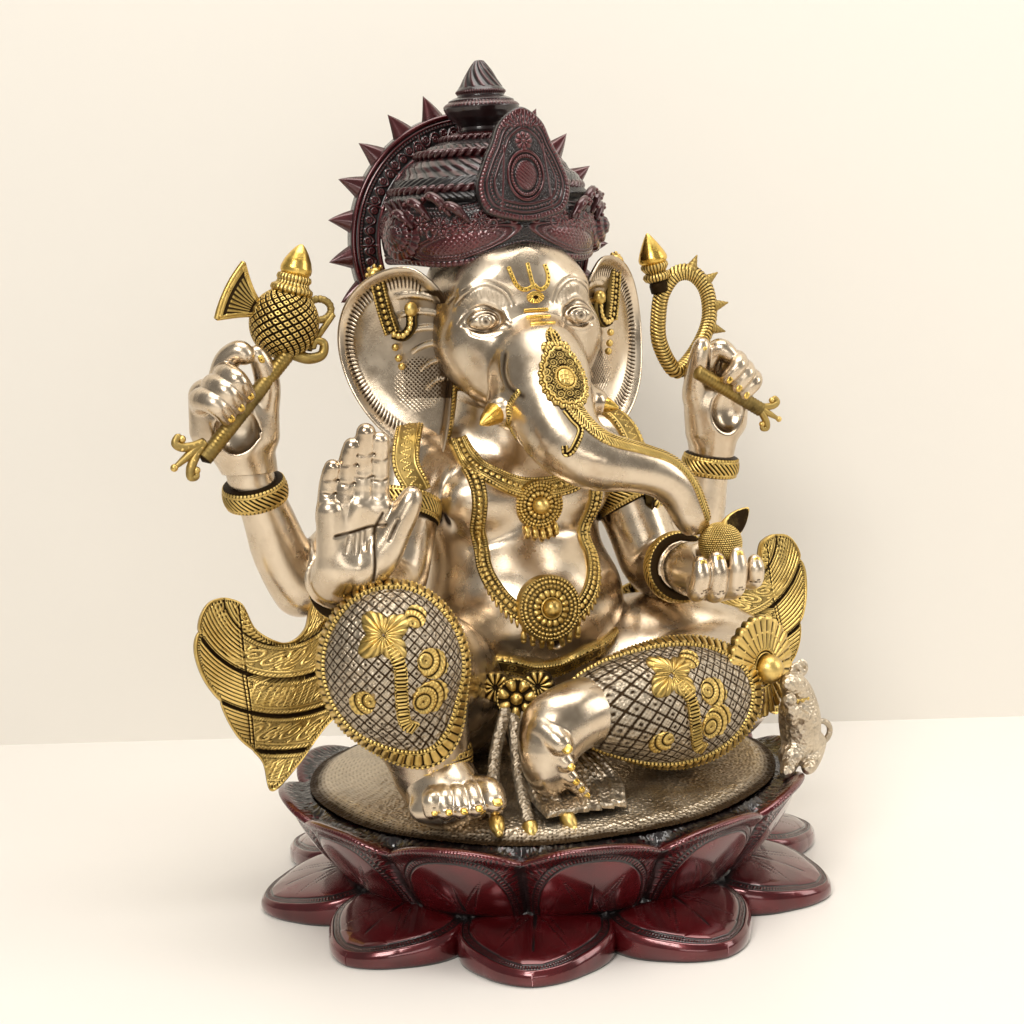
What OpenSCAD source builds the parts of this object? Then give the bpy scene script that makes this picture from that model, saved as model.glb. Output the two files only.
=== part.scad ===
// Seated four-armed elephant-headed idol on a double lotus base.
// Assembled from separately cast pieces: hollow base and petals, torso, limbs, head, crown, halo, sashes,
// attributes and jewellery. Millimetres, +Z up, origin at the centre of the base's underside.
// The figure faces -Y. "right" and "left" are the figure's own, so right is -X.

/* [Base] */
// radius of the ring of lower petal tips
base_r = 215; // [180:1:250]
// number of lower petals
lower_count = 10; // [8:1:14]
// angle of the first lower petal from the front
lower_phase = 12; // [0:1:36]
// thickness of a lower petal at its middle
lower_h = 25; // [16:1:34]
// width of a lower petal
lower_w = 96; // [70:1:110]
// number of upper petals
upper_count = 12; // [8:1:16]
// angle of the first upper petal from the front
upper_phase = 19; // [0:1:30]
// radius of the ring of upper petal tips
upper_r = 198; // [180:1:205]
// height of the upper petal tips
upper_z = 81; // [70:1:95]
// outside radius of the hollow drum that carries the petals
drum_r = 150; // [130:1:160]
// wall of the drum
drum_wall = 9; // [6:0.5:14]
// radius of the textured seat
seat_r = 174; // [150:1:178]
// height of the middle of the seat
seat_z = 92; // [86:1:100]

/* [Figure] */
// centre of the hips, with their radius
hips = [0, 52, 130, 74]; // [x, y, z, r]
// centre of the belly, with its radius
belly = [0, 26, 206, 72]; // [x, y, z, r]
// centre of the chest, with its radius
chest = [0, 44, 284, 62]; // [x, y, z, r]
// centre of the figure's left shoulder, with its radius
shoulder = [70, 42, 321, 30]; // [x, y, z, r]
// centre of the skull, with its radius
skull = [0, 40, 424, 61]; // [x, y, z, r]
// wall of the hollow torso casting
torso_wall = 9; // [5:0.5:14]

/* [Raised rear arms] */
// elbow of the rear arms on the left side, mirrored for the right
rear_elbow = [160, 68, 226, 22]; // [x, y, z, r]
// wrist of the rear right arm
rear_wrist_r = [-193, 52, 310, 15.5]; // [x, y, z, r]
// middle of the rear right fist
rear_fist_r = [-204, 38, 364, 22]; // [x, y, z, r]
// wrist of the rear left arm
rear_wrist_l = [178, 56, 297, 15]; // [x, y, z, r]
// middle of the rear left fist
rear_fist_l = [186, 50, 353, 20]; // [x, y, z, r]

/* [Lowered front arms] */
// elbow of the front right arm
front_elbow_r = [-108, 0, 235, 20]; // [x, y, z, r]
// wrist of the front right arm
front_wrist_r = [-168, -62, 250, 15]; // [x, y, z, r]
// elbow of the front left arm
front_elbow_l = [101, 4, 222, 21]; // [x, y, z, r]
// wrist of the front left arm
front_wrist_l = [95, -60, 234, 16]; // [x, y, z, r]

/* [Legs] */
// raised right knee, with its radius
knee_r = [-134, -84, 197, 48]; // [x, y, z, r]
// right ankle, with its radius
ankle_r = [-112, -84, 124, 23]; // [x, y, z, r]
// folded left knee, with its radius
knee_l = [138, -32, 148, 42]; // [x, y, z, r]
// left ankle, with its radius
ankle_l = [-2, -108, 152, 21]; // [x, y, z, r]

/* [Crown and halo] */
// distance of the crown's axis behind the origin
crown_y = 60; // [50:1:70]
// largest radius of the crown band
crown_r = 79; // [70:1:86]
// height of the tip of the finial
top_z = 608; // [590:1:620]
// outside radius of the halo ring
halo_r = 97; // [88:1:104]
// number of spikes on the halo
spikes = 17; // [11:2:25]

/* [Fixings] */
// radius of the tie stud that holds the torso on the base
stud_r = 6; // [4:0.5:8]
// gap left between neighbouring castings
gap = 0.3; // [0.2:0.05:0.5]

/* [Hidden] */
fh = 14;                 // facets of a limb's blending spheres
ff = 8;                 // facets of a finger's blending spheres
silver = [0.72, 0.66, 0.56];
gold = [0.80, 0.60, 0.20];
lacquer = [0.28, 0.03, 0.04];
steel = [0.62, 0.62, 0.64];
halo_c = [0, 98, 476];
mace_c = [-165, 40, 425];
mace_dir = [-85, -20, -85];
noose_a = [146, 60, 374];
noose_b = [236, 60, 318];
seat_edge = 81;
fist_hole = 6;

// ---------- helpers ----------
function flip(p) = [-p[0], p[1], p[2], p[3]];
function xyz(p) = [p[0], p[1], p[2]];
function mix(a, b, t) = a * (1 - t) + b * t;
// point t of the way along a Catmull-Rom curve through the points p
function cr(p, i, t) =
    let(n = len(p), a = p[max(i - 1, 0)], b = p[i], c = p[min(i + 1, n - 1)], d = p[min(i + 2, n - 1)])
    0.5 * (2 * b + (c - a) * t + (2 * a - 5 * b + 4 * c - d) * t * t + (3 * b - 3 * c + d - a) * t * t * t);
function curve(p, k) = concat([for (i = [0 : len(p) - 2]) for (j = [0 : k - 1]) cr(p, i, j / k)], [p[len(p) - 1]]);
// closed smooth outline through the points p
function loop(p, k) = let(n = len(p)) [for (i = [0 : n - 1]) for (j = [0 : k - 1]) let(t = j / k,
    a = p[(i + n - 1) % n], b = p[i], c = p[(i + 1) % n], d = p[(i + 2) % n])
    0.5 * (2 * b + (c - a) * t + (2 * a - 5 * b + 4 * c - d) * t * t + (3 * b - 3 * c + d - a) * t * t * t)];

module ball(p, fn) { translate(xyz(p)) sphere(r = p[3], $fn = fn); }
module link(a, b, fn) { hull() { ball(a, fn); ball(b, fn); } }
module chain(p, fn = fh) { for (i = [0 : len(p) - 2]) link(p[i], p[i + 1], fn); }
// turns +Z to the direction v at the point p
module along(p, v) {
    translate(xyz(p)) rotate([0, acos(v[2] / norm(v)), atan2(v[1], v[0])]) children();
}
// bangle: twisted-rope ring with beaded rims, inner radius r, width w
module bangle(r, w, t = 5.5, fr = 64, fc = 16) {
    rotate_extrude($fn = fr) {
        translate([r, -w / 2]) square([t * 0.55, w]);
        translate([r + t * 0.5, 0]) circle(r = w * 0.22, $fn = fc);
        for (s = [-1, 1]) translate([r + t * 0.5, s * w * 0.36]) circle(r = w * 0.14, $fn = fc);
    }
}
// groove that leaves room for a bangle on a limb
module groove(r, w) {
    difference() {
        cylinder(r = r + 30, h = w + 2 * gap, center = true, $fn = 32);
        cylinder(r = r - gap, h = w + 3, center = true, $fn = 48);
    }
}

// ---------- base ----------
module base_drum() {
    color(lacquer) difference() {
        rotate_extrude($fn = 96) polygon([[drum_r - drum_wall, 0], [drum_r + 6, 0], [drum_r + 8, 6],
            [drum_r + 2, 26], [drum_r - 4, 34], [drum_r, 44], [drum_r + 8, 66], [drum_r + 8, 70],
            [0, 70], [0, 62], [drum_r - drum_wall - 6, 62], [drum_r - drum_wall - 2, 56],
            [drum_r - drum_wall - 2, 30]]);
        translate([0, hips[1], 55]) cylinder(r = stud_r + 0.1, h = 30, $fn = 48);
    }
}
function leaf(l, w) = let(n = 12) concat(
    [for (i = [0 : n]) let(t = i / n) [w / 2 * pow(sin(90 * (1 - pow(t, 2.4))), 0.75) * (0.86 + 0.14 * sin(180 * t)), l * t]],
    [for (i = [n - 1 : -1 : 0]) let(t = i / n)
        [-w / 2 * pow(sin(90 * (1 - pow(t, 2.4))), 0.75) * (0.86 + 0.14 * sin(180 * t)), l * t]]);
module lower_petals() {
    color(lacquer) difference() {
        for (i = [0 : lower_count - 1]) rotate([0, 0, lower_phase + i * 360 / lower_count])
            mirror([0, 1, 0]) intersection() {
                translate([0, base_r - 100, 0]) linear_extrude(lower_h) polygon(leaf(100, lower_w));
                translate([0, base_r - 62, lower_h - 150]) sphere(r = 150, $fn = 96);
            }
        translate([0, 0, -1]) cylinder(r = drum_r + 8 + gap, h = 60, $fn = 96);
    }
}
module upper_petals() {
    color(lacquer) intersection() {
        rotate_extrude($fn = 96) polygon([[drum_r + 5, 25.6], [drum_r + 15, 25.6], [drum_r + 35, 50], [upper_r + 1, upper_z + 3],
            [upper_r - 9, upper_z + 3], [seat_r + 4, 70.3], [drum_r + 9, 70.3], [drum_r + 9, 66], [drum_r + 5, 55]]);
        union() for (i = [0 : upper_count - 1]) rotate([0, 0, upper_phase + i * 360 / upper_count])
            translate([0, -120, 22]) rotate([90, 0, 0]) linear_extrude(90)
                polygon(leaf(upper_z - 20, 2.2 * upper_r * sin(180 / upper_count)));
    }
}
module seat_solid(e = 0) {
    rotate_extrude($fn = 96) polygon([[0, 70.2], [seat_r - 4, 70.2], [seat_r + e, 74], [seat_r + e, seat_edge + e],
        [seat_r - 40, seat_z - 4 + e], [60, seat_z + e], [0, seat_z + 1 + e]]);
}
module seat_cut() { seat_solid(gap); cylinder(r = seat_r - 4, h = 72, $fn = 48); }
module seat_mound() {
    color(silver) difference() {
        seat_solid();
        translate([0, hips[1], 60]) cylinder(r = stud_r + 0.1, h = 50, $fn = 48);
    }
}
module tie_stud() {
    color(steel) translate([0, hips[1], 48]) cylinder(r = stud_r, h = 84, $fn = 48);
}
module tie_nut() {
    color(steel) translate([0, hips[1], 51]) difference() {
        union() {
            cylinder(r = 11, h = 8, $fn = 6);
            translate([0, 0, 8]) cylinder(r = 16, h = 3, $fn = 48);
        }
        translate([0, 0, -1]) cylinder(r = stud_r + 0.1, h = 20, $fn = 48);
    }
}

// ---------- body ----------
hip_l = [44, 40, 132, 46];
neck = [0, 48, 350, 40];
module torso_body(e = 0) {
    g = [0, 0, 0, e];
    link(hips + g, belly + g, fh);
    link(belly + g, chest + g, fh);
    link(belly + g, belly + [0, -10, -4, -12] + g, fh);
    for (s = [shoulder, flip(shoulder)]) link(chest + g, s + g, fh);
    for (s = [hip_l, flip(hip_l)]) link(hips + g, s + g, fh);
    link(chest + g, neck + g, fh);
}
module torso() {
    color(silver) difference() {
        torso_body();
        difference() {
            torso_body_core();
            translate([0, hips[1], 60]) cylinder(r = 16, h = 80, $fn = 24);
        }
        // the hollow opens upwards through the neck, under the head
        translate([0, neck[1] - 2, chest[2]]) cylinder(r = 20, h = 140, $fn = 24);
        seat_cut();
        translate([0, hips[1], 60]) cylinder(r = stud_r + 0.1, h = 74, $fn = 48);
    }
}
module torso_body_core() {
    // the floor under the hollow stays solid, with a boss for the tie stud
    link([0, hips[1], hips[2] + 22, 50], belly - [0, 0, 0, torso_wall + 2], fh);
    link(belly - [0, 0, 0, torso_wall + 2], chest - [0, 0, 0, torso_wall + 4], fh);
}
module head_body(e = 0) {
    g = [0, 0, 0, e];
    link(skull + g, [0, 34, 398, 58] + g, fh + 4);
    for (s = [-1, 1]) {
        link([s * 24, 6, 404, 38] + g, [s * 16, -2, 384, 36] + g, fh);
        link([s * 24, 6, 404, 38] + g, [0, 30, 430, 58] + g, fh);
    }
    link([0, 4, 392, 42] + g, [0, -28, 382, 33] + g, fh);
}
module head() {
    color(silver) difference() {
        head_body();
        link(skull - [0, 0, 0, 11], [0, 30, 402, 46], fh);
        torso_body(gap);
        translate([0, crown_y, 440]) cylinder(r = 6.2, h = 60, $fn = 32);
    }
}
trunk_pts = [[0, -28, 386, 34], [0, -50, 362, 29], [2, -69, 338, 23.5], [18, -84, 322, 18.5], [45, -90, 315, 14.5],
    [66, -92, 307, 12], [80, -91, 292, 10.5], [90, -90, 271, 9.5]];
module trunk_body(e = 0) { chain([for (p = curve(trunk_pts, 2)) p + [0, 0, 0, e]], 12); }
module trunk() {
    color(silver) difference() {
        trunk_body();
        head_body(gap);
        link([88.5, -90, 275, 5.5], [91, -90, 258, 6.5], 12);
        for (s = [-1, 1]) along([s * 26, -36, 361], [s * 28, -26, -9]) translate([0, 0, -6])
            cylinder(r = 8.9, h = 60, $fn = 32);
    }
}
module tusk(l) {
    color(gold) along([0, 0, 0], [-28, -26, -9]) difference() {
        translate([0, 0, 4]) rotate_extrude($fn = 40) polygon([[0, 0], [8.4, 0], [8.4, l * 0.42], [7.6, l * 0.5],
            [4.6, l * 0.8], [1.2, l], [0, l]]);
        translate([0, 0, -1]) cylinder(r = 2.6, h = 14, $fn = 24);
    }
}
module head_cut() { difference() { children(); head_body(gap); } }
module tusk_right() { color(gold) head_cut() translate([-26, -36, 361]) tusk(46); }
module tusk_left() { color(gold) head_cut() mirror([1, 0, 0]) translate([-26, -36, 361]) tusk(34); }

// ear outline in its own plane: x outwards from the head, y up
ear_pts = [[-4, 18], [14, 46], [34, 50], [62, 38], [78, 20], [80, -4], [70, -34], [46, -68], [14, -88], [2, -70],
    [-2, -30]];
module ear_place() { translate([-54, 12, 408]) rotate([0, 0, 180 - 31]) rotate([90, 0, 0]) children(); }
module ear_plate() {
    difference() {
        ear_place() difference() {
            translate([0, 0, -5]) linear_extrude(10) polygon(loop(ear_pts, 4));
            translate([44, 0, -60]) scale([1, 1.4, 1]) sphere(r = 57, $fn = 40);
        }
        head_body(gap);
        torso_body(gap);
    }
}
module ear_right() { color(silver) ear_plate(); }
module ear_left() { color(silver) mirror([1, 0, 0]) ear_plate(); }
module ear_jewel() {
    difference() {
        union() {
            ear_place() translate([0, 0, -7]) chain([for (p = curve([[26, 40, 0, 4.5], [30, 20, 2, 5], [38, 0, 2, 5],
                [46, -18, 0, 6]], 3)) p], 10);
        }
        ear_plate();
        head_body(gap);
    }
}
module ear_jewel_right() { color(gold) ear_jewel(); }
module ear_jewel_left() { color(gold) mirror([1, 0, 0]) ear_jewel(); }
module forehead_mark() {
    color(gold) difference() {
        union() {
            translate([0, -12, 448]) rotate([90, 0, 0]) {
                linear_extrude(20) {
                    difference() { circle(r = 13, $fn = 48); circle(r = 8.5, $fn = 48); translate([-20, 2]) square([40, 20]); }
                    translate([-2, -16]) square([4, 30]);
                    for (s = [-1, 1]) translate([s * 10.7 - 2.2, 0]) square([4.4, 12]);
                }
            }
            for (i = [-1 : 1]) translate([0, -16, 419 + i * 6]) cube([24, 60, 3], center = true);
        }
        head_body(gap);
        translate([0, 30, 430]) sphere(r = 40, $fn = 24);
        difference() { translate([-60, -120, 380]) cube([120, 150, 100]); head_body(1.8); }
    }
}
module trunk_plate() {
    color(gold) difference() {
        union() {
            chain([[0, -62, 398, 14], [0, -78, 376, 17], [2, -90, 352, 12], [8, -98, 336, 8]], 14);
            chain([for (p = curve([[26, -92, 336, 5], [50, -94, 330, 5], [74, -96, 315, 5], [92, -96, 292, 4.5],
                [99, -94, 274, 4]], 2)) p], 10);
        }
        trunk_body(gap);
        head_body(gap);
        difference() {
            translate([-30, -130, 250]) cube([160, 140, 170]);
            chain([for (p = trunk_pts) p + [0, 0, 0, 2.6]], 16);
            head_body(2.6);
        }
    }
}

// ---------- crown ----------
module crown_band() {
    color(lacquer) difference() {
        union() {
            translate([0, crown_y, 0]) rotate_extrude($fn = 80) polygon([[58, 462], [crown_r - 4, 460], [crown_r - 1, 468],
                [crown_r, 474], [crown_r, 494], [crown_r - 4, 505], [58, 505]]);
            for (s = [-1, 1]) translate([s * 72, 30, 482]) rotate([0, s * 90, s * 24]) cylinder(r = 15, h = 10, $fn = 48);
        }
        translate([0, crown_y, 440]) cylinder(r = 58 - 4, h = 90, $fn = 64);
        translate([0, 0, 500]) rotate([90, 0, 0]) translate([0, 0, 11.7]) cylinder(r = 3.1, h = 20, $fn = 32);
        head_body(gap);
    }
}
module crown_dome() {
    color(lacquer) translate([0, crown_y, 0]) difference() {
        rotate_extrude($fn = 80) polygon([[0, 505.3], [crown_r - 5, 505.3], [crown_r - 9, 516], [60, 524], [58, 530],
            [52, 534], [50, 540], [38, 546], [28, 549.7], [0, 549.7]]);
        translate([0, 0, 500]) cylinder(r = 6.2, h = 60, $fn = 32);
        translate([0, 0, 505]) cylinder(r = 40, h = 12, $fn = 48);
    }
}
module crest_outline() { polygon(loop([[-30, 0], [-34, 16], [-27, 34], [-18, 50], [-12, 62], [0, 70], [12, 62], [18, 50],
    [27, 34], [34, 16], [30, 0], [0, -6]], 3)); }
module crown_crest() {
    color(lacquer) difference() {
        union() {
            translate([0, -18, 496]) rotate([86, 0, 0]) linear_extrude(9) crest_outline();
            translate([0, -21, 524]) rotate([86, 0, 0]) cylinder(r = 12, h = 9, $fn = 48);
        }
        translate([0, crown_y, 440]) cylinder(r = crown_r + gap, h = 65.3, $fn = 96);
        translate([0, crown_y, 505]) cylinder(r1 = crown_r - 5 + gap, r2 = crown_r - 9 + gap, h = 11.2, $fn = 96);
        translate([0, crown_y, 516.1]) cylinder(r1 = crown_r - 9 + gap, r2 = 60, h = 8.2, $fn = 96);
    }
    // pin that holds the crest to the band
    color(lacquer) translate([0, -12, 500]) rotate([90, 0, 0]) cylinder(r = 3, h = 12, $fn = 32);
}
module crown_finial() {
    color(lacquer) translate([0, crown_y, 0]) rotate_extrude($fn = 64) polygon([[0, 470], [6, 470], [6, 550], [20, 550],
        [22, 554], [14, 558], [13, 562], [24, 567], [26, 572], [26, 577], [20, 581], [17, 584], [18, 587],
        [11, 596], [4, top_z - 3], [0, top_z]]);
}
module halo_ring() {
    color(lacquer) difference() {
        translate(halo_c) rotate([90, 0, 0]) union() {
            difference() {
                translate([0, 0, -5]) cylinder(r = halo_r, h = 10, $fn = 96);
                translate([0, 0, -6]) cylinder(r = 74, h = 12, $fn = 96);
            }
            for (i = [0 : spikes - 1]) rotate([0, 0, -36 + i * 252 / (spikes - 1)]) translate([0, 0, -3])
                linear_extrude(6) polygon([[halo_r - 2, -9], [halo_r + 17, 0], [halo_r - 2, 9]]);
            for (a = [20, 160]) rotate([0, 0, a]) translate([80, 0, 0]) rotate([0, -90, 0]) cylinder(r = 3.5, h = 14, $fn = 24);
        }
        translate([0, crown_y, 440]) cylinder(r = 71, h = 22, $fn = 64);
        translate([0, crown_y, 461]) cylinder(r = crown_r + gap, h = 44.4, $fn = 96);
        translate([0, crown_y, 505]) cylinder(r1 = crown_r - 4, r2 = crown_r - 8, h = 11.4, $fn = 96);
        head_body(gap);
    }
}

// ---------- arms ----------
module body_cut() { difference() { children(); torso_body(gap); } }
module upper_arm(s, m, e) { body_cut() chain([s, m, e], fh); }
rear_mid = [128, 60, 250, 22];
// the rear arms leave the back of the shoulder
function rear_sh(k) = [k * 70, 50, 316, 24];
module rear_upper(k) {
    difference() {
        upper_arm(rear_sh(k), [k * rear_mid[0], rear_mid[1], rear_mid[2], rear_mid[3]],
            [k * (rear_elbow[0] - 8), rear_elbow[1] - 1, rear_elbow[2] + 4, 20]);
        rear_joint(k, gap);
    }
}
module rear_joint(k, e) { translate([k * 152, 67, 231]) rotate([0, k * 52, 0]) translate([0, 0, -4 - e])
    cylinder(r = 60, h = 80, $fn = 32); }
// fist closed round a shaft that runs from a along the direction d
module fist(c, w, d) {
    u = d / norm(d);
    link(c, w, fh);
    for (i = [-1.5 : 1 : 1.5]) let(q = xyz(c) + u * i * 10.5) chain([
        [q[0] * 1.0, q[1] - 12, q[2] + 13, 6.4], [q[0], q[1] - 24, q[2] + 4, 6.2], [q[0], q[1] - 22, q[2] - 8, 6]], ff);
    let(q = xyz(c) - u * 21) chain([[c[0], c[1] - 4, c[2], 8], [q[0], q[1] - 10, q[2] + 10, 7],
        [q[0], q[1] - 18, q[2] + 16, 6]], ff);
}
module shaft_hole(p, d, r) { along(p, d) translate([0, 0, -200]) cylinder(r = r, h = 400, $fn = 32); }
mace_p = [-203, 22, 366];
noose_d = noose_b - noose_a;
noose_p = [186, 34, 349];
module rear_arm_right() { color(silver) rear_upper(-1); }
module rear_forearm(k, w, f, p, d) {
    difference() {
        union() {
            intersection() {
                chain([[k * rear_elbow[0], rear_elbow[1], rear_elbow[2], 21], mix([k * rear_elbow[0], rear_elbow[1],
                    rear_elbow[2], 22], w, 0.5), w, f + [0, 6, -22, -6]], fh);
                union() { rear_joint(k, 0); translate([k * 188, 50, 320]) cube([90, 140, 150], center = true); }
            }
            fist(f, f + [0, 4, -16, -4], d);
        }
        shaft_hole(p, d, fist_hole);
        along(mix(w, f, -0.12), xyz(f) - xyz(w)) groove(w[3] + 1, 15);
        torso_body(gap);
    }
}
module rear_forearm_right() { color(silver) rear_forearm(-1, rear_wrist_r, rear_fist_r, mace_p, mace_dir); }
module rear_arm_left() { color(silver) rear_upper(1); }
module rear_forearm_left() { color(silver) rear_forearm(1, rear_wrist_l, rear_fist_l, noose_p, noose_d); }
module rear_bangle(w, f) { color(gold) along(mix(w, f, -0.12), xyz(f) - xyz(w)) bangle(w[3] + 1, 15); }
module rear_bangle_right() { rear_bangle(rear_wrist_r, rear_fist_r); }
module rear_bangle_left() { rear_bangle(rear_wrist_l, rear_fist_l); }

// front arms: upper arm to the elbow, then forearm with hand
function front_sh(k) = [k * 76, 34, 314, 25];
mid_r = [-92, 18, 274, 21];
mid_l = [90, 20, 268, 22];
module elbow_cut(e, m, o) { along(e, xyz(e) - xyz(m)) translate([0, 0, o]) cylinder(r = 60, h = 90, $fn = 32); }
module front_arm(k, m, e) {
    difference() {
        upper_arm(front_sh(k), m, e);
        elbow_cut(e, m, -gap);
        rear_upper_envelope(k);
        along(m + [0, 0, 12, 0], [k * 14, -16, -40]) groove(24, 15);
    }
}
module rear_upper_envelope(k) {
    g = [0, 0, 0, gap];
    link(rear_sh(k) + g, [k * rear_mid[0], rear_mid[1], rear_mid[2], rear_mid[3]] + g, fh);
}
module front_arm_right() { color(silver) front_arm(-1, mid_r, front_elbow_r); }
module front_arm_left() { color(silver) front_arm(1, mid_l, front_elbow_l); }
module armlet(k, m) {
    color(gold) difference() {
        along(m + [0, 0, 12, 0], [k * 14, -16, -40]) bangle(24, 15, 5, 20, 8);
        torso_body(gap);
        link(belly + [0, 0, 0, gap], chest + [0, 0, 0, gap], fh);
        rear_upper_envelope(k);
    }
}
module armlet_right() { armlet(-1, mid_r); }
module armlet_left() { armlet(1, mid_l); }
module open_palm() {
    w = front_wrist_r;
    link(w, [-166, -72, 266, 15], fh);
    hull() { ball([-170, -74, 268, 13], ff); ball([-150, -80, 270, 13], ff); ball([-170, -80, 304, 10], ff);
        ball([-141, -86, 306, 10], ff); }
    for (i = [0 : 3]) let(x = -172 + i * 10) chain([[x, -80 - i * 2, 306, 7.6], [x + 1, -82 - i * 2, 326 + (i % 3 > 0 ? 4 : 0), 6.8],
        [x + 4, -88 - i * 2, (i == 0 ? 340 : i == 3 ? 346 : 352), 5.6]], ff);
    chain([[-146, -82, 272, 11], [-134, -92, 288, 8], [-131, -94, 304, 6.4]], ff);
}
module front_forearm_right() {
    color(silver) difference() {
        union() { chain([front_elbow_r, mix(front_elbow_r, front_wrist_r, 0.5), front_wrist_r], fh); open_palm(); }
        difference() { link(mid_r + [0, 0, 0, 3], front_elbow_r + [0, 0, 0, 3], fh);
            elbow_cut(front_elbow_r, mid_r, 0); }
        along(mix(front_elbow_r, front_wrist_r, 0.84), xyz(front_wrist_r) - xyz(front_elbow_r)) groove(16.8, 15);
        torso_body(gap);
        cover_solid(-1, gap);
    }
}
// hand that holds the sweet, palm up
module cupped_hand() {
    w = front_wrist_l;
    link(w, [99, -84, 234, 17], fh);
    link([99, -84, 234, 17], [104, -98, 234, 15], fh);
    for (i = [0 : 3]) let(x = 92 + i * 10) chain([[x, -96, 246, 6.5], [x + 3, -114, 243, 6.3], [x + 5, -118, 230, 5.8]], ff);
    chain([[112, -76, 244, 8], [120, -92, 252, 6.5]], ff);
}
module front_forearm_left() {
    color(silver) difference() {
        union() { chain([front_elbow_l, mix(front_elbow_l, front_wrist_l, 0.5), front_wrist_l], fh); cupped_hand(); }
        difference() { link(mid_l + [0, 0, 0, 3], front_elbow_l + [0, 0, 0, 3], fh);
            elbow_cut(front_elbow_l, mid_l, 0); }
        along(mix(front_elbow_l, front_wrist_l, 0.84), xyz(front_wrist_l) - xyz(front_elbow_l)) groove(18, 16);
        translate([106, -98, 257]) sphere(r = 15.3, $fn = 32);
        torso_body(gap);
        cover_solid(1, gap);
    }
}
module front_bangle_right() {
    color(gold) along(mix(front_elbow_r, front_wrist_r, 0.84), xyz(front_wrist_r) - xyz(front_elbow_r)) bangle(16.8, 15, 5);
}
module front_bangle_left() {
    color(gold) along(mix(front_elbow_l, front_wrist_l, 0.84), xyz(front_wrist_l) - xyz(front_elbow_l)) bangle(18, 16, 6);
}
module modak() {
    color(gold) translate([106, -98, 257]) union() {
        sphere(r = 15, $fn = 48);
        translate([0, 0, 10]) rotate([0, 42, 0]) cylinder(r1 = 8, r2 = 1, h = 22, $fn = 32);
    }
}

// ---------- attributes ----------
module mace_shaft() {
    color(gold) along(mace_p, mace_dir) {
        translate([0, 0, -56]) cylinder(r = fist_hole - 0.2, h = 96, $fn = 32);
        for (z = [40 : 8 : 56]) translate([0, 0, z]) cylinder(r1 = 5, r2 = 8.5 - (z - 40) / 8, h = 8, $fn = 32);
        translate([0, 0, 64]) sphere(r = 6.5, $fn = 32);
    }
}
module mace_head() {
    color(gold) difference() {
        union() {
            translate(mace_c + [0, -2, 0]) sphere(r = 24, $fn = 64);
            along(mace_c + [2, 0, 10], [12, 0, 34]) { cylinder(r1 = 8, r2 = 10, h = 14, $fn = 40);
                translate([0, 0, 14]) cylinder(r1 = 10, r2 = 1, h = 20, $fn = 40); }
            along(mace_c, [20, 4, -26]) translate([0, 0, 20]) rotate_extrude($fn = 40) polygon([[0, 0], [9, 0], [6, 6],
                [8, 10], [4, 14], [0, 14]]);
        }
        along(mace_p, mace_dir) translate([0, 0, -56 - gap]) cylinder(r = fist_hole, h = 40, $fn = 32);
        along(mace_c, [-34, 0, 20]) translate([0, 0, 18]) cylinder(r = 4.1, h = 30, $fn = 24);
    }
}
module mace_blade() {
    color(gold) along(mace_c, [-34, 0, 20]) {
        translate([0, 0, 18.3]) cylinder(r = 4, h = 10, $fn = 24);
        translate([0, 3, 25]) rotate([90, 0, 0]) linear_extrude(6)
            polygon(concat([[-5, 0], [5, 0]], [for (a = [50 : -10 : -50]) [20 * sin(a) * 1.1, 20 * cos(a)]]));
    }
}
loop_pts = [[146, 60, 378, 6.5], [140, 60, 398, 6.5], [142, 60, 424, 6], [158, 60, 441, 6.5], [174, 60, 434, 6.5],
    [181, 60, 412, 6], [176, 60, 392, 6], [160, 60, 376, 6.5], [146, 60, 378, 6.5]];
module noose_loop() {
    color(gold) difference() {
        union() {
            chain([for (p = curve(loop_pts, 2)) p], ff);
            for (i = [0 : 3]) let(a = 62 - i * 32) translate([161 + 20 * cos(a), 60, 408 + 33 * sin(a)])
                rotate([0, 90 - a, 0]) cylinder(r1 = 5, r2 = 0.6, h = 18, $fn = 10);
            link([143, 60, 430, 6], [137, 60, 450, 5], ff);
            translate([136, 60, 451]) rotate([0, -11, 0]) cylinder(r1 = 9.5, r2 = 0.8, h = 21, $fn = 24);
        }
        along(noose_a, noose_d) translate([0, 0, 2]) cylinder(r = 4.1, h = 60, $fn = 24);
    }
}
module noose_shaft() {
    color(gold) {
        along(noose_p, noose_d) {
            translate([0, 0, -40]) cylinder(r = 4, h = 30, $fn = 32);
            translate([0, 0, -24]) cylinder(r = fist_hole - 0.2, h = 56, $fn = 32);
            for (z = [32 : 8 : 48]) translate([0, 0, z]) cylinder(r1 = 5, r2 = 8.5 - (z - 32) / 8, h = 8, $fn = 32);
            translate([0, 0, 55]) sphere(r = 6, $fn = 32);
        }
    }
}

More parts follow.
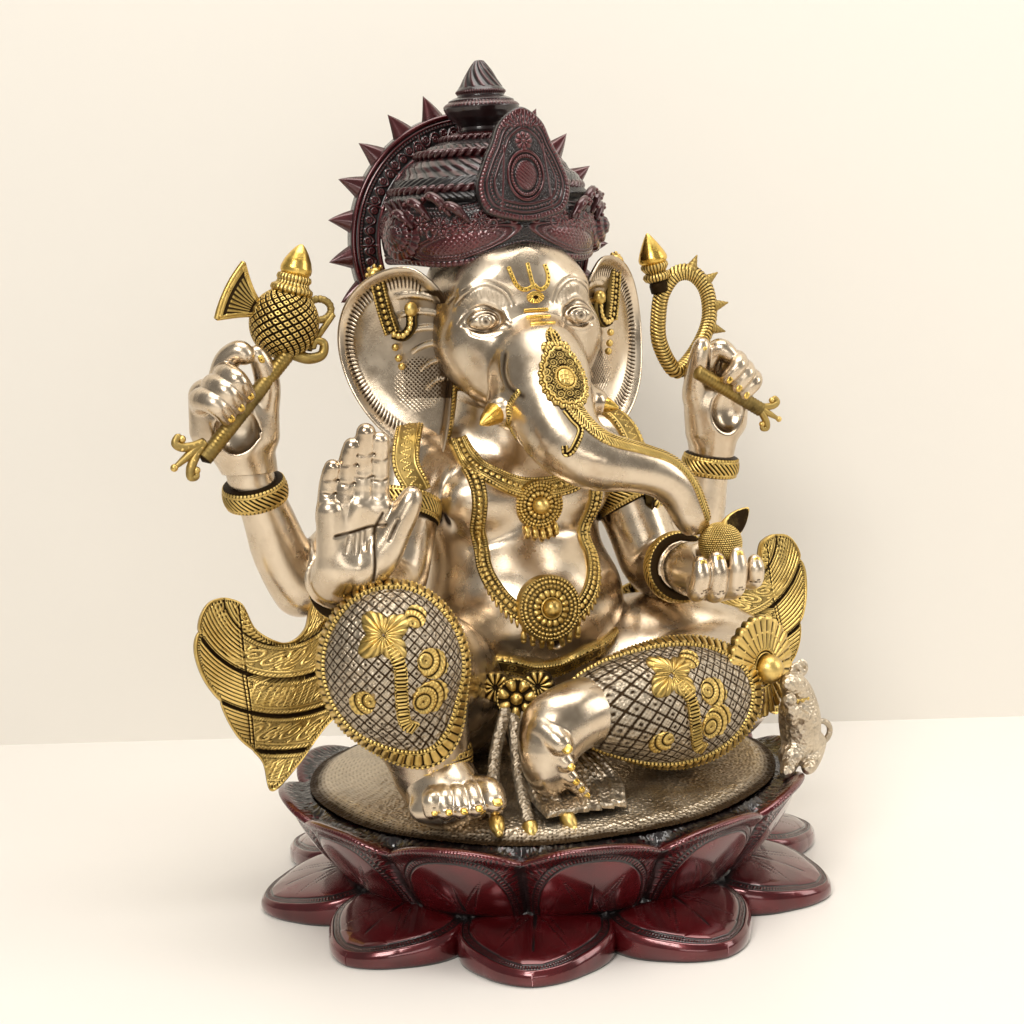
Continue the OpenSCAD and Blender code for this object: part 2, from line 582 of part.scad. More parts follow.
// ---------- jewellery and cloth ----------
// front of the torso at a given x and height: the foremost of the spheres that sweep it out
body_links = [[hips, belly], [belly, chest], [chest, shoulder], [chest, flip(shoulder)], [chest, neck]];
function body_y(x, z) = min([for (l = body_links) for (t = [0 : 0.1 : 1]) let(c = mix(l[0], l[1], t),
    d = c[3] * c[3] - (x - c[0]) * (x - c[0]) - (z - c[2]) * (z - c[2])) d > 0 ? c[1] - sqrt(d) : 60]);
function drape(w, zt, zb, r, n) = [for (i = [0 : n]) let(a = 180 * i / n, x = -w * cos(a), z = zt - (zt - zb) * sin(a))
    [x, body_y(x, z) + 1, z, r]];
module necklace(w, zt, zb, r, n, pz, pr) {
    difference() {
        union() {
            chain(drape(w, zt, zb, r, n), 8);
            for (k = [-1, 0, 1]) let(z = pz + (k == 0 ? 0 : 6), q = pr * (k == 0 ? 1 : 0.6), x = k * pr * 1.5)
                translate([x, body_y(x, z) + 5, z]) scale([1, 0.7, 1]) sphere(r = q + 4, $fn = 14);
        }
        torso_body(gap);
    }
}
module necklace_upper() { color(gold) necklace(46, 334, 292, 6, 11, 284, 14); }
module necklace_long() { color(gold) difference() { necklace(47, 300, 218, 6.5, 13, 211, 16);
    necklace(46, 334, 292, 6.5, 14, 284, 14.5); } }
module belt() {
    color(gold) difference() {
        belt_solid(0);
        torso_body(gap);
        thigh_solids(gap);
    }
}
module belt_solid(e) {
    chain([for (i = [0 : 14]) let(x = -66 + i * 66 / 7, z = 164 - 8 * cos(i * 90 / 7 - 90))
        [x, body_y(x, z) - 1, z, 7 + e]], 10);
}
module thigh_solids(e) {
    g = [0, 0, 0, e];
    link(flip(hip_l) + [-12, 0, 6, 2] + g, knee_r + g, fh);
    link(hip_l + [12, -6, 6, 4] + g, knee_l + [0, 0, 2, 2] + g, fh);
}
module dhoti_pleats() {
    color(silver) difference() {
        union() for (i = [-2 : 2]) chain([[-42 + i * 6, -46, 150, 9], [-46 + i * 9, -92, 116, 10],
            [-48 + i * 12, -120, 98, 8], [-47 + i * 9, -150 - (i == 0 ? 12 : 0), 94, 6]], ff);
        torso_body(gap);
        thigh_solids(gap);
        seat_cut();
        foot_r_solid(gap);
        leg_l_solid(gap);
        shin_r_solid(gap);
        belt_solid(gap);
        upper_band();
    }
}
module upper_band() { difference() { translate([0, 0, 60]) cylinder(r = 210, h = 26, $fn = 96);
    translate([0, 0, 50]) cylinder(r = seat_r - 6, h = 60, $fn = 96); } }

// ---------- legs ----------
module shin_r_solid(e = 0) {
    g = [0, 0, 0, e];
    link(knee_r - [0, 0, 6, 3] + g, [-118, -86, 150, 27] + g, fh);
    link([-118, -86, 150, 27] + g, ankle_r + g, fh);
}
module foot_r_solid(e = 0) {
    g = [0, 0, 0, e];
    link(ankle_r + [0, 0, -6, -2] + g, [-108, -104, 106, 15] + g, fh);
    for (i = [0 : 4]) let(x = -84 - i * 9) chain([[-106 + (2 - i) * 4, -100, 106, 9] + g,
        [x, -122 + i * 1.5, 102, 7.5 - i * 0.5] + g, [x + 1, -136 + i * 3 + (i == 0 ? 2 : 0), 98.5, 6.4 - i * 0.5] + g], ff);
}
module leg_l_solid(e = 0) {
    g = [0, 0, 0, e];
    link(knee_l + [-5, -6, -8, -5] + g, [70, -84, 140, 40] + g, fh);
    link([70, -84, 140, 40] + g, ankle_l + g, fh);
}
module foot_l_solid(e = 0) {
    g = [0, 0, 0, e];
    link(ankle_l + [-10, -4, 0, 1] + g, [-34, -124, 138, 19] + g, fh);
    for (i = [0 : 4]) let(x = -42 + i * 8) chain([[x + 2, -124, 130, 9] + g, [x + 4, -128, 116, 6.6] + g,
        [x + 5, -131, 107 - (i == 1 ? 3 : 0), 5.6] + g], ff);
}
module thigh_right() {
    color(silver) difference() {
        link(flip(hip_l) + [-12, 0, 6, 2], knee_r, fh + 4);
        torso_body(gap);
        seat_cut();
        shin_r_solid(gap);
    }
}
module shin_right() {
    color(silver) difference() { shin_r_solid(); foot_r_solid(gap); seat_cut();
        translate(xyz(ankle_r) + [0, 0, 4]) groove(24, 14); torso_body(gap); }
}
module foot_right() { color(silver) difference() { foot_r_solid(); seat_cut(); upper_band();
    translate(xyz(ankle_r) + [0, 0, 4]) groove(24, 14); torso_body(gap); } }
module anklet_right() { color(gold) translate(xyz(ankle_r) + [0, 0, 4]) bangle(24, 14, 6); }
module thigh_left() {
    color(silver) difference() {
        link(hip_l + [12, -6, 6, 4], knee_l + [0, 0, 2, 2], fh + 4);
        torso_body(gap);
        seat_cut();
    }
}
module shin_left() {
    color(silver) difference() { leg_l_solid(); seat_cut(); torso_body(gap); foot_l_solid(gap);
        link(hip_l + [12, -6, 6, 4 + gap], knee_l + [0, 0, 2, 2 + gap], fh + 4);
        along(ankle_l + [12, 4, -2, 0], [-70, -24, 10]) groove(24, 14); }
}
module foot_left() { color(silver) difference() { foot_l_solid(); seat_cut(); torso_body(gap);
    along(ankle_l + [12, 4, -2, 0], [-70, -24, 10]) groove(24, 14); } }
module anklet_left() { color(gold) along(ankle_l + [12, 4, -2, 0], [-70, -24, 10]) bangle(24, 14, 5); }
// domed ornamental cover over a knee or shin
module cover_solid(k, e = 0) {
    if (k < 0) intersection() {
        translate(xyz(knee_r)) scale([1, 1, 1.12]) sphere(r = knee_r[3] + 4 + e, $fn = 24);
        translate(xyz(knee_r) + [-6, -26, 4]) rotate([90, 0, -20]) cylinder(r = 46 + e, h = 90, center = true, $fn = 32);
    }
    else intersection() {
        translate([70, -84, 142]) scale([1.14, 1, 1]) sphere(r = 43 + e, $fn = 24);
        translate([62, -110, 144]) rotate([90, 0, -8]) cylinder(r = 42 + e, h = 90, center = true, $fn = 32);
    }
}
module knee_cover_right() {
    color(gold) difference() {
        cover_solid(-1);
        thigh_solids(gap);
        shin_r_solid(gap);
        torso_body(gap);
        seat_cut();
    }
}
module knee_cover_left() {
    color(gold) difference() {
        cover_solid(1);
        leg_l_solid(gap);
        thigh_solids(gap);
        torso_body(gap);
        seat_cut();
        foot_l_solid(gap);
        dhoti_clear();
        translate([138, -94, 160]) rotate([90, 0, 26]) cylinder(r = 40, h = 24, center = true, $fn = 48);
    }
}
module dhoti_clear() { translate([-60, -170, 80]) cube([74, 120, 100]); }

// flowing sash end with stepped pleats, in its own plane: x outwards, y up
sash_out = [[2, 52], [14, 28], [30, 20], [50, 32], [60, 54], [80, 56], [94, 32], [92, 6], [82, -20], [70, -46],
    [56, -64], [52, -86], [30, -70], [4, -44], [-30, -24], [-74, -14], [-74, 26], [-30, 40]];
module sash_body() {
    difference() {
        translate([0, 0, -4]) linear_extrude(8) polygon(loop(sash_out, 3));
        for (i = [0 : 3]) translate([28, 62, 3]) difference() {
            cylinder(r = 46 + i * 26, h = 4, $fn = 36);
            translate([0, 0, -1]) cylinder(r = 44 + i * 26, h = 6, $fn = 36);
        }
    }
}
module sash(k) {
    difference() {
        translate([k < 0 ? -150 : 159.32, 42, 172]) mirror([k < 0 ? 1 : 0, 0, 0]) rotate([76, 0, 0]) sash_body();
        union() {
            torso_body(gap);
            thigh_solids(gap);
            leg_l_solid(gap);
            link([k * rear_elbow[0], rear_elbow[1], rear_elbow[2], 21.5], [k * rear_mid[0], rear_mid[1], rear_mid[2], 22.4], fh);
        }
        seat_cut();
    }
}
module sash_right() { color(gold) sash(-1); }
module sash_left() { color(gold) sash(1); }
module sunburst() {
    color(gold) difference() {
        translate([138, -94, 160]) rotate([90, 0, 26]) {
            linear_extrude(5, center = true) polygon([for (i = [0 : 47]) let(a = i * 7.5, q = i % 2 == 0 ? 37 : 32)
                [q * cos(a), q * sin(a)]]);
            sphere(r = 11, $fn = 40);
            rotate([0, 0, 0]) translate([0, 0, -14]) cylinder(r = 4, h = 14, $fn = 24);
        }
        leg_l_solid(gap);
        thigh_solids(gap);
        seat_cut();
    }
}
module mouse() {
    color(silver) difference() {
        union() {
            chain([[166, -96, 106, 12], [168, -98, 122, 13], [165, -98, 140, 9], [158, -104, 148, 7], [152, -110, 148, 4]], ff);
            for (s = [-1, 1]) { link([162 + s * 3, -100 + s * 5, 152, 4], [160 + s * 5, -99 + s * 8, 157, 3.4], 10);
                link([160 + s * 4, -106, 128, 4], [150 + s * 2, -110, 134, 3], 10); }
            translate([186, -90, 104]) rotate([80, 0, 0]) rotate_extrude($fn = 20) translate([9, 0]) circle(r = 2.2, $fn = 6);
        }
        seat_cut();
        upper_band();
        leg_l_solid(gap);
        thigh_solids(gap);
        translate([138, -94, 160]) rotate([90, 0, 26]) cylinder(r = 38, h = 6, center = true, $fn = 48);
        translate([138, -94, 160]) sphere(r = 11.4, $fn = 32);
    }
}

base_drum();
lower_petals();
upper_petals();
seat_mound();
tie_stud();
tie_nut();
torso();
head();
trunk();
tusk_right();
tusk_left();
ear_right();
ear_left();
ear_jewel_right();
ear_jewel_left();
forehead_mark();
trunk_plate();
crown_band();
crown_dome();
crown_crest();
crown_finial();
halo_ring();
rear_arm_right();
rear_forearm_right();
rear_arm_left();
rear_forearm_left();
front_arm_right();
front_forearm_right();
front_arm_left();
front_forearm_left();
rear_bangle_right();
rear_bangle_left();
front_bangle_right();
front_bangle_left();
armlet_right();
armlet_left();
mace_shaft();
mace_head();
mace_blade();
noose_loop();
noose_shaft();
modak();
necklace_upper();
necklace_long();
belt();
dhoti_pleats();
thigh_right();
shin_right();
foot_right();
thigh_left();
shin_left();
foot_left();
knee_cover_right();
knee_cover_left();
anklet_right();
anklet_left();
sash_right();
sash_left();
sunburst();
mouse();
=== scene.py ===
import math

import bpy
import numpy as np
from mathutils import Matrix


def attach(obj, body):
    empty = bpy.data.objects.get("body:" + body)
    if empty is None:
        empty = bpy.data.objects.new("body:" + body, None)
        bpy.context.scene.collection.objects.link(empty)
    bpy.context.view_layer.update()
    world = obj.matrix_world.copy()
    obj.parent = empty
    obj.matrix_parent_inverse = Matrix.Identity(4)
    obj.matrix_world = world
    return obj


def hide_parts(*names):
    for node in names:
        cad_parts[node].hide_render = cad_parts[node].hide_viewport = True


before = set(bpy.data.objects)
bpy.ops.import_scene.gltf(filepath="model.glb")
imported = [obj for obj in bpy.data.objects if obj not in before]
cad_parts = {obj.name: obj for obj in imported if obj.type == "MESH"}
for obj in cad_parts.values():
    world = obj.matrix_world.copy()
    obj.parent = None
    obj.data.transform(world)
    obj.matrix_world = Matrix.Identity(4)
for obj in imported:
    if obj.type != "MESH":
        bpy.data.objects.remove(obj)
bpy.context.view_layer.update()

import openvdb as vdb
from mathutils import Matrix, Vector

MM = 0.001
PI = math.pi
rng = np.random.default_rng(7)

# ------------------------------------------------------------------ small maths
def A(*p):
    return np.array(p, float)


def unit(v):
    v = np.asarray(v, float)
    return v / max(np.linalg.norm(v), 1e-9)


def frame_of(z, x=(1, 0, 0)):
    """3x3 with columns x, y, z: z along the given direction, x as near the given one as it can be."""
    z = unit(z)
    x = np.asarray(x, float)
    x = unit(x - z * (x @ z))
    return np.stack([x, np.cross(z, x), z], 1)


def rot(axis, deg):
    return np.array(Matrix.Rotation(math.radians(deg), 3, axis))


def spline(pts, n):
    """Catmull-Rom through the rows of pts, n points a span."""
    p = np.asarray(pts, float)
    q = np.vstack([2 * p[0] - p[1], p, 2 * p[-1] - p[-2]])
    out = []
    for i in range(len(p) - 1):
        a, b, c, d = q[i:i + 4]
        t = np.arange(n)[:, None] / n
        out.append(0.5 * (2 * b + (c - a) * t + (2 * a - 5 * b + 4 * c - d) * t ** 2 + (3 * b - 3 * c + d - a) * t ** 3))
    return np.vstack(out + [p[-1:]])


def closed(pts, n):
    p = np.asarray(pts, float)
    m = len(p)
    out = []
    t = np.arange(n)[:, None] / n
    for i in range(m):
        a, b, c, d = p[i - 1], p[i], p[(i + 1) % m], p[(i + 2) % m]
        out.append(0.5 * (2 * b + (c - a) * t + (2 * a - 5 * b + 4 * c - d) * t ** 2 + (3 * b - 3 * c + d - a) * t ** 3))
    return np.vstack(out)


def even(pts, step):
    """Points at even spacing along a polyline."""
    p = np.asarray(pts, float)
    s = np.concatenate([[0], np.cumsum(np.linalg.norm(np.diff(p[:, :3], axis=0), axis=1))])
    m = max(2, int(round(s[-1] / step)) + 1)
    t = np.linspace(0, s[-1], m)
    return np.stack([np.interp(t, s, p[:, k]) for k in range(p.shape[1])], 1)


def sstep(a, b, x):
    t = np.clip((x - a) / (b - a), 0, 1)
    return t * t * (3 - 2 * t)


def bump(d, w):
    """Round ridge of half-width w: 1 on the line, 0 beyond w."""
    return np.sqrt(np.clip(1 - (d / w) ** 2, 0, 1))


# ------------------------------------------------------------------ materials
def nodes_of(name):
    m = bpy.data.materials.new(name)
    m.use_nodes = True
    t = m.node_tree
    t.nodes.clear()
    out = t.nodes.new("ShaderNodeOutputMaterial")
    b = t.nodes.new("ShaderNodeBsdfPrincipled")
    t.links.new(b.outputs[0], out.inputs[0])
    return m, t, b


def add(t, kind, **kw):
    n = t.nodes.new(kind)
    for k, v in kw.items():
        if k.startswith("_"):
            n.inputs[k[1:].replace("_", " ")].default_value = v
        else:
            setattr(n, k, v)
    return n


def ramp(t, stops, src):
    r = t.nodes.new("ShaderNodeValToRGB")
    e = r.color_ramp.elements
    while len(e) < len(stops):
        e.new(0.5)
    for i, (p, c) in enumerate(stops):
        e[i].position = p
        e[i].color = (*c, 1) if len(c) == 3 else c
    t.links.new(src, r.inputs[0])
    return r.outputs[0]


def metal(name, light, mid, dark, rough, metallic=1.0, coat=0.0, cav_lo=0.15, cav_hi=0.75, grain=900,
          grain_h=0.05,
          mottling=0.35, stipple=0.0, stipple_scale=420, darkness=1.0):
    """Cast metal darkened where the mesh's own cav value is high: dark patina in the hollows plus painted shade in
    recesses and where parts meet.
    """
    m, t, b = nodes_of(name)
    L = t.links.new
    tc = add(t, "ShaderNodeTexCoord")
    cav = add(t, "ShaderNodeAttribute", attribute_name="cav")
    n1 = add(t, "ShaderNodeTexNoise", _Scale=38.0, _Detail=6.0, _Roughness=0.62)
    L(tc.outputs["Object"], n1.inputs["Vector"])
    n2 = add(t, "ShaderNodeTexNoise", _Scale=grain, _Detail=3.0)
    L(tc.outputs["Object"], n2.inputs["Vector"])
    base = ramp(t, [(0.32, mid), (0.62, light)], n1.outputs[0])
    # painted shade plus dark patina in the hollows (high cav), broken up by the noise
    ad = add(t, "ShaderNodeMath", operation="MULTIPLY_ADD")
    L(n1.outputs[0], ad.inputs[0])
    ad.inputs[1].default_value = mottling
    L(cav.outputs["Fac"], ad.inputs[2])
    patina_and_shade = ramp(t, [(cav_lo + mottling * 0.5, (0, 0, 0)), (cav_hi + mottling * 0.5, (darkness,) * 3)],
                ad.outputs[0])
    mix = add(t, "ShaderNodeMix", data_type="RGBA")
    L(patina_and_shade, mix.inputs[0])
    L(base, mix.inputs[6])
    mix.inputs[7].default_value = (*dark, 1)
    L(mix.outputs[2], b.inputs["Base Color"])
    rr = add(t, "ShaderNodeMapRange")
    L(n1.outputs[0], rr.inputs[0])
    rr.inputs[1].default_value, rr.inputs[2].default_value = 0.3, 0.7
    rr.inputs[3].default_value, rr.inputs[4].default_value = rough - 0.06, rough + 0.10
    ra = add(t, "ShaderNodeMath", operation="MULTIPLY_ADD", use_clamp=True)
    L(patina_and_shade, ra.inputs[0])
    ra.inputs[1].default_value = 0.25
    L(rr.outputs[0], ra.inputs[2])
    L(ra.outputs[0], b.inputs["Roughness"])
    b.inputs["Metallic"].default_value = metallic
    b.inputs["Coat Weight"].default_value = coat
    b.inputs["Coat Roughness"].default_value = 0.12
    bp = add(t, "ShaderNodeBump", _Strength=grain_h * 4, _Distance=0.0004)
    L(n2.outputs[0], bp.inputs["Height"])
    last = bp
    if stipple:
        v = add(t, "ShaderNodeTexVoronoi", _Scale=stipple_scale)
        L(tc.outputs["Object"], v.inputs["Vector"])
        b2 = add(t, "ShaderNodeBump", _Strength=stipple, _Distance=0.0012)
        L(v.outputs["Distance"], b2.inputs["Height"])
        L(bp.outputs[0], b2.inputs["Normal"])
        last = b2
    L(last.outputs[0], b.inputs["Normal"])
    return m


SILVER = metal("silver", (0.70, 0.59, 0.45), (0.52, 0.41, 0.29), (0.045, 0.026, 0.013), 0.25, grain=700,
               grain_h=0.035)
SILVER_ROUGH = metal("silver_stippled", (0.66, 0.57, 0.44), (0.46, 0.38, 0.28), (0.05, 0.03, 0.015), 0.36,
                     grain=900, grain_h=0.06, stipple=0.9, stipple_scale=330, mottling=0.6, cav_lo=0.1)
GOLD = metal("yellow_brass", (0.88, 0.62, 0.17), (0.66, 0.41, 0.08), (0.035, 0.018, 0.006), 0.27,
             cav_lo=0.2, cav_hi=0.62,
             grain=1100, grain_h=0.05)
# stronger dark wash in the hollows: dark patina plus painted shade
GOLD_DARK = metal("antiqued_brass_painted_shade", (0.80, 0.58, 0.20), (0.45, 0.30, 0.08), (0.03, 0.018, 0.008), 0.32,
                  cav_lo=0.12,
                  cav_hi=0.5, grain=1100, grain_h=0.07, mottling=0.5)
LACQUER = metal("cherry_lacquer", (0.125, 0.005, 0.008), (0.062, 0.003, 0.004), (0.005, 0.0015, 0.0015), 0.20,
                metallic=0.55, coat=1.0, cav_lo=0.15, cav_hi=0.6, grain=260, grain_h=0.05)
LACQUER_DARK = metal("dark_lacquer", (0.10, 0.006, 0.008), (0.05, 0.003, 0.004), (0.004, 0.0015, 0.0015),
                     0.24,
                     metallic=0.5, coat=0.9, cav_lo=0.05, cav_hi=0.5, grain=420, grain_h=0.08)
STEEL = metal("plain_steel", (0.6, 0.6, 0.62), (0.45, 0.45, 0.47), (0.1, 0.1, 0.1), 0.35)


# ------------------------------------------------------------------ mesh making
def relax_cavity(v, faces, nrm, rounds=6, scale=0.5):
    """How far each vertex lies below its smoothed surroundings, 0 to 1 (faces: rows of 4 or 3)."""
    e = np.vstack([faces[:, [i, (i + 1) % faces.shape[1]]] for i in range(faces.shape[1])])
    n = len(v)
    cnt = np.bincount(e[:, 0], minlength=n) + np.bincount(e[:, 1], minlength=n)
    s = v.astype(float).copy()
    for _ in range(rounds):
        s = np.stack([np.bincount(e[:, 0], s[e[:, 1], k], n) + np.bincount(e[:, 1], s[e[:, 0], k], n)
                      for k in range(3)], 1) / np.maximum(cnt, 1)[:, None]
    return np.clip(((s - v) * nrm).sum(1) / scale, -1, 1)


def make(name, v, faces, mats, *, cav=None, slot=None, replaces=(), midx=None, rounds=6, scale=0.5,
         flat=False,
         closed_mesh=True, tris=None):
    """Mesh object from millimetre vertices; adds the cav attribute; rides on the root body."""
    v = np.asarray(v, float)
    me = bpy.data.meshes.new(name)
    if isinstance(faces, np.ndarray) and closed_mesh:
        a, b, c = (v[faces[:, i]] for i in range(3))
        vol = (a * np.cross(b, c)).sum()
        if faces.shape[1] == 4:
            b, c = v[faces[:, 2]], v[faces[:, 3]]
            vol += (a * np.cross(b, c)).sum()
        if vol < 0:
            faces = faces[:, ::-1]
    if isinstance(faces, np.ndarray):
        k = faces.shape[1]
        tris = np.zeros((0, 3), int) if tris is None else tris
        me.vertices.add(len(v))
        me.vertices.foreach_set("co", (v * MM).astype(np.float32).ravel())
        me.loops.add(faces.size + tris.size)
        me.loops.foreach_set("vertex_index", np.concatenate([faces.ravel(), tris.ravel()]).astype(np.int32))
        me.polygons.add(len(faces) + len(tris))
        me.polygons.foreach_set("loop_start", np.concatenate([np.arange(0, faces.size, k),
                                                              faces.size + np.arange(0, tris.size,
                                                                3)]).astype(np.int32))
        me.polygons.foreach_set("loop_total",
                                np.concatenate([np.full(len(faces), k),
                                                np.full(len(tris), 3)]).astype(np.int32))
    else:
        me.from_pydata([tuple(p) for p in v * MM], [], faces)
    me.update(calc_edges=True)
    me.validate()
    for m in (mats if isinstance(mats, (list, tuple)) else [mats]):
        me.materials.append(m)
    if midx is not None:
        me.polygons.foreach_set("material_index", np.asarray(midx, np.int32))
    if not flat:
        me.polygons.foreach_set("use_smooth", np.ones(len(me.polygons), bool))
    nrm = np.zeros(len(v) * 3, np.float32)
    me.vertices.foreach_get("normal", nrm)
    nrm = nrm.reshape(-1, 3)
    # cav: how deep each vertex sits in a hollow, at least the given cav; the materials paint it as dark patina plus
    # painted shade
    auto = relax_cavity(v, faces, nrm, rounds, scale) if isinstance(faces, np.ndarray) else np.zeros(len(v))
    c = np.clip(auto, 0, 1) if cav is None else np.clip(np.maximum(cav, auto * 0.9), 0, 1)
    at = me.attributes.new("cav", "FLOAT", "POINT")
    at.data.foreach_set("value", c.astype(np.float32))
    o = bpy.data.objects.new(name, me)
    bpy.context.scene.collection.objects.link(o)
    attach(o, "root")
    if replaces:
        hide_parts(*replaces)
    return o


class Parts:
    """Collects several small closed meshes into one piece."""

    def __init__(self):
        self.v, self.f, self.c, self.n = [], [], [], 0

    def put(self, v, f, cav=None):
        f = np.asarray(f)
        if f.shape[1] == 3:
            f = np.column_stack([f, f[:, 2]])
        self.v.append(np.asarray(v, float))
        self.f.append(f + self.n)
        self.c.append(np.zeros(len(v)) if cav is None else np.broadcast_to(cav, (len(v),)))
        self.n += len(v)
        return self

    def tube(self, pts, r, sides=10, cav=None, twist=None):
        v, f = tube_mesh(pts, r, sides, twist)
        return self.put(v, outward(v, f), cav)

    def ball(self, c, r, n=8, cav=None):
        v, f = ball_mesh(np.asarray(c, float), r, n)
        return self.put(v, outward(v, f), cav)

    def done(self, name, mat, **kw):
        v = np.vstack(self.v)
        f = np.vstack(self.f)
        kw.setdefault("closed_mesh", False)
        tri = (f == np.roll(f, -1, 1)).any(1)
        t3 = np.zeros((0, 3), int)
        if tri.any():
            g = f[tri]
            k = (g == np.roll(g, -1, 1)).argmax(1)
            t3 = np.stack([g[np.arange(len(g)), (k + i) % 4] for i in (1, 2, 3)], 1)
        return make(name, v, f[~tri], mat, cav=np.concatenate(self.c), tris=t3, **kw)


def outward(v, f):
    """Faces of a closed mesh turned so that they look outwards."""
    c = v.mean(0)
    a, b, d, e = (v[f[:, i]] - c for i in range(4))
    return f if (a * np.cross(b, d)).sum() + (a * np.cross(d, e)).sum() > 0 else f[:, ::-1]


def tube_mesh(pts, r, sides=10, twist=None):
    """Closed tube along points; r is a number or one per point; ends closed to a point."""
    p = np.asarray(pts, float)[:, :3]
    n = len(p)
    r = np.broadcast_to(r, (n,)).astype(float)
    tan = np.gradient(p, axis=0)
    tan /= np.maximum(np.linalg.norm(tan, axis=1), 1e-9)[:, None]
    nx = np.cross(tan[0], (0, 0, 1.0))
    if np.linalg.norm(nx) < 0.2:
        nx = np.cross(tan[0], (0, 1.0, 0))
    xs = []
    for t in tan:
        nx = unit(nx - t * (nx @ t))
        xs.append(nx)
    xs = np.array(xs)
    ys = np.cross(tan, xs)
    a = np.arange(sides) / sides * 2 * PI
    ang = a[None, :] + (0 if twist is None else np.asarray(twist)[:, None])
    ring = p[:, None] + (xs[:, None] * np.cos(ang)[..., None] + ys[:, None] * np.sin(ang)[..., None]) * r[:,
        None, None]
    v = ring.reshape(-1, 3)
    i, j = np.meshgrid(np.arange(n - 1), np.arange(sides), indexing="ij")
    f = np.stack([i * sides + j, i * sides + (j + 1) % sides, (i + 1) * sides + (j + 1) % sides,
                  (i + 1) * sides + j], -1)
    f = f.reshape(-1, 4)
    v = np.vstack([v, p[:1] - tan[:1] * r[0] * 0.5, p[-1:] + tan[-1:] * r[-1] * 0.5])
    k = np.arange(sides)
    c0 = np.stack([(k + 1) % sides, k, np.full(sides, n * sides), np.full(sides, n * sides)], 1)
    e = (n - 1) * sides
    c1 = np.stack([e + k, e + (k + 1) % sides, np.full(sides, n * sides + 1),
                   np.full(sides, n * sides + 1)], 1)
    return v, np.vstack([f, c0, c1])


def ball_mesh(c, r, n=8):
    r = np.broadcast_to(r, (3,))
    th = np.linspace(0, PI, n + 1)[1:-1]
    ph = np.arange(2 * n) / n * PI
    v = np.stack([np.outer(np.sin(th), np.cos(ph)), np.outer(np.sin(th), np.sin(ph)),
                  np.outer(np.cos(th), np.ones(2 * n))], -1).reshape(-1, 3)
    v = np.vstack([v, [0, 0, 1], [0, 0, -1]]) * r + c
    m = 2 * n
    i, j = np.meshgrid(np.arange(n - 2), np.arange(m), indexing="ij")
    f = np.stack([i * m + j, (i + 1) * m + j, (i + 1) * m + (j + 1) % m, i * m + (j + 1) % m],
                 -1).reshape(-1, 4)
    k = np.arange(m)
    t = len(v) - 2
    top = np.stack([k, (k + 1) % m, np.full(m, t), np.full(m, t)], 1)
    e = (n - 2) * m
    bot = np.stack([e + (k + 1) % m, e + k, np.full(m, t + 1), np.full(m, t + 1)], 1)
    return v, np.vstack([f, top, bot])


def grid_faces(n, m, wrap_i=False, wrap_j=False):
    """Quads of an n x m grid of vertices."""
    i, j = np.meshgrid(np.arange(n if wrap_i else n - 1), np.arange(m if wrap_j else m - 1), indexing="ij")
    a, b = (i + 1) % n, (j + 1) % m
    return np.stack([i * m + j, a * m + j, a * m + b, i * m + b], -1).reshape(-1, 4)


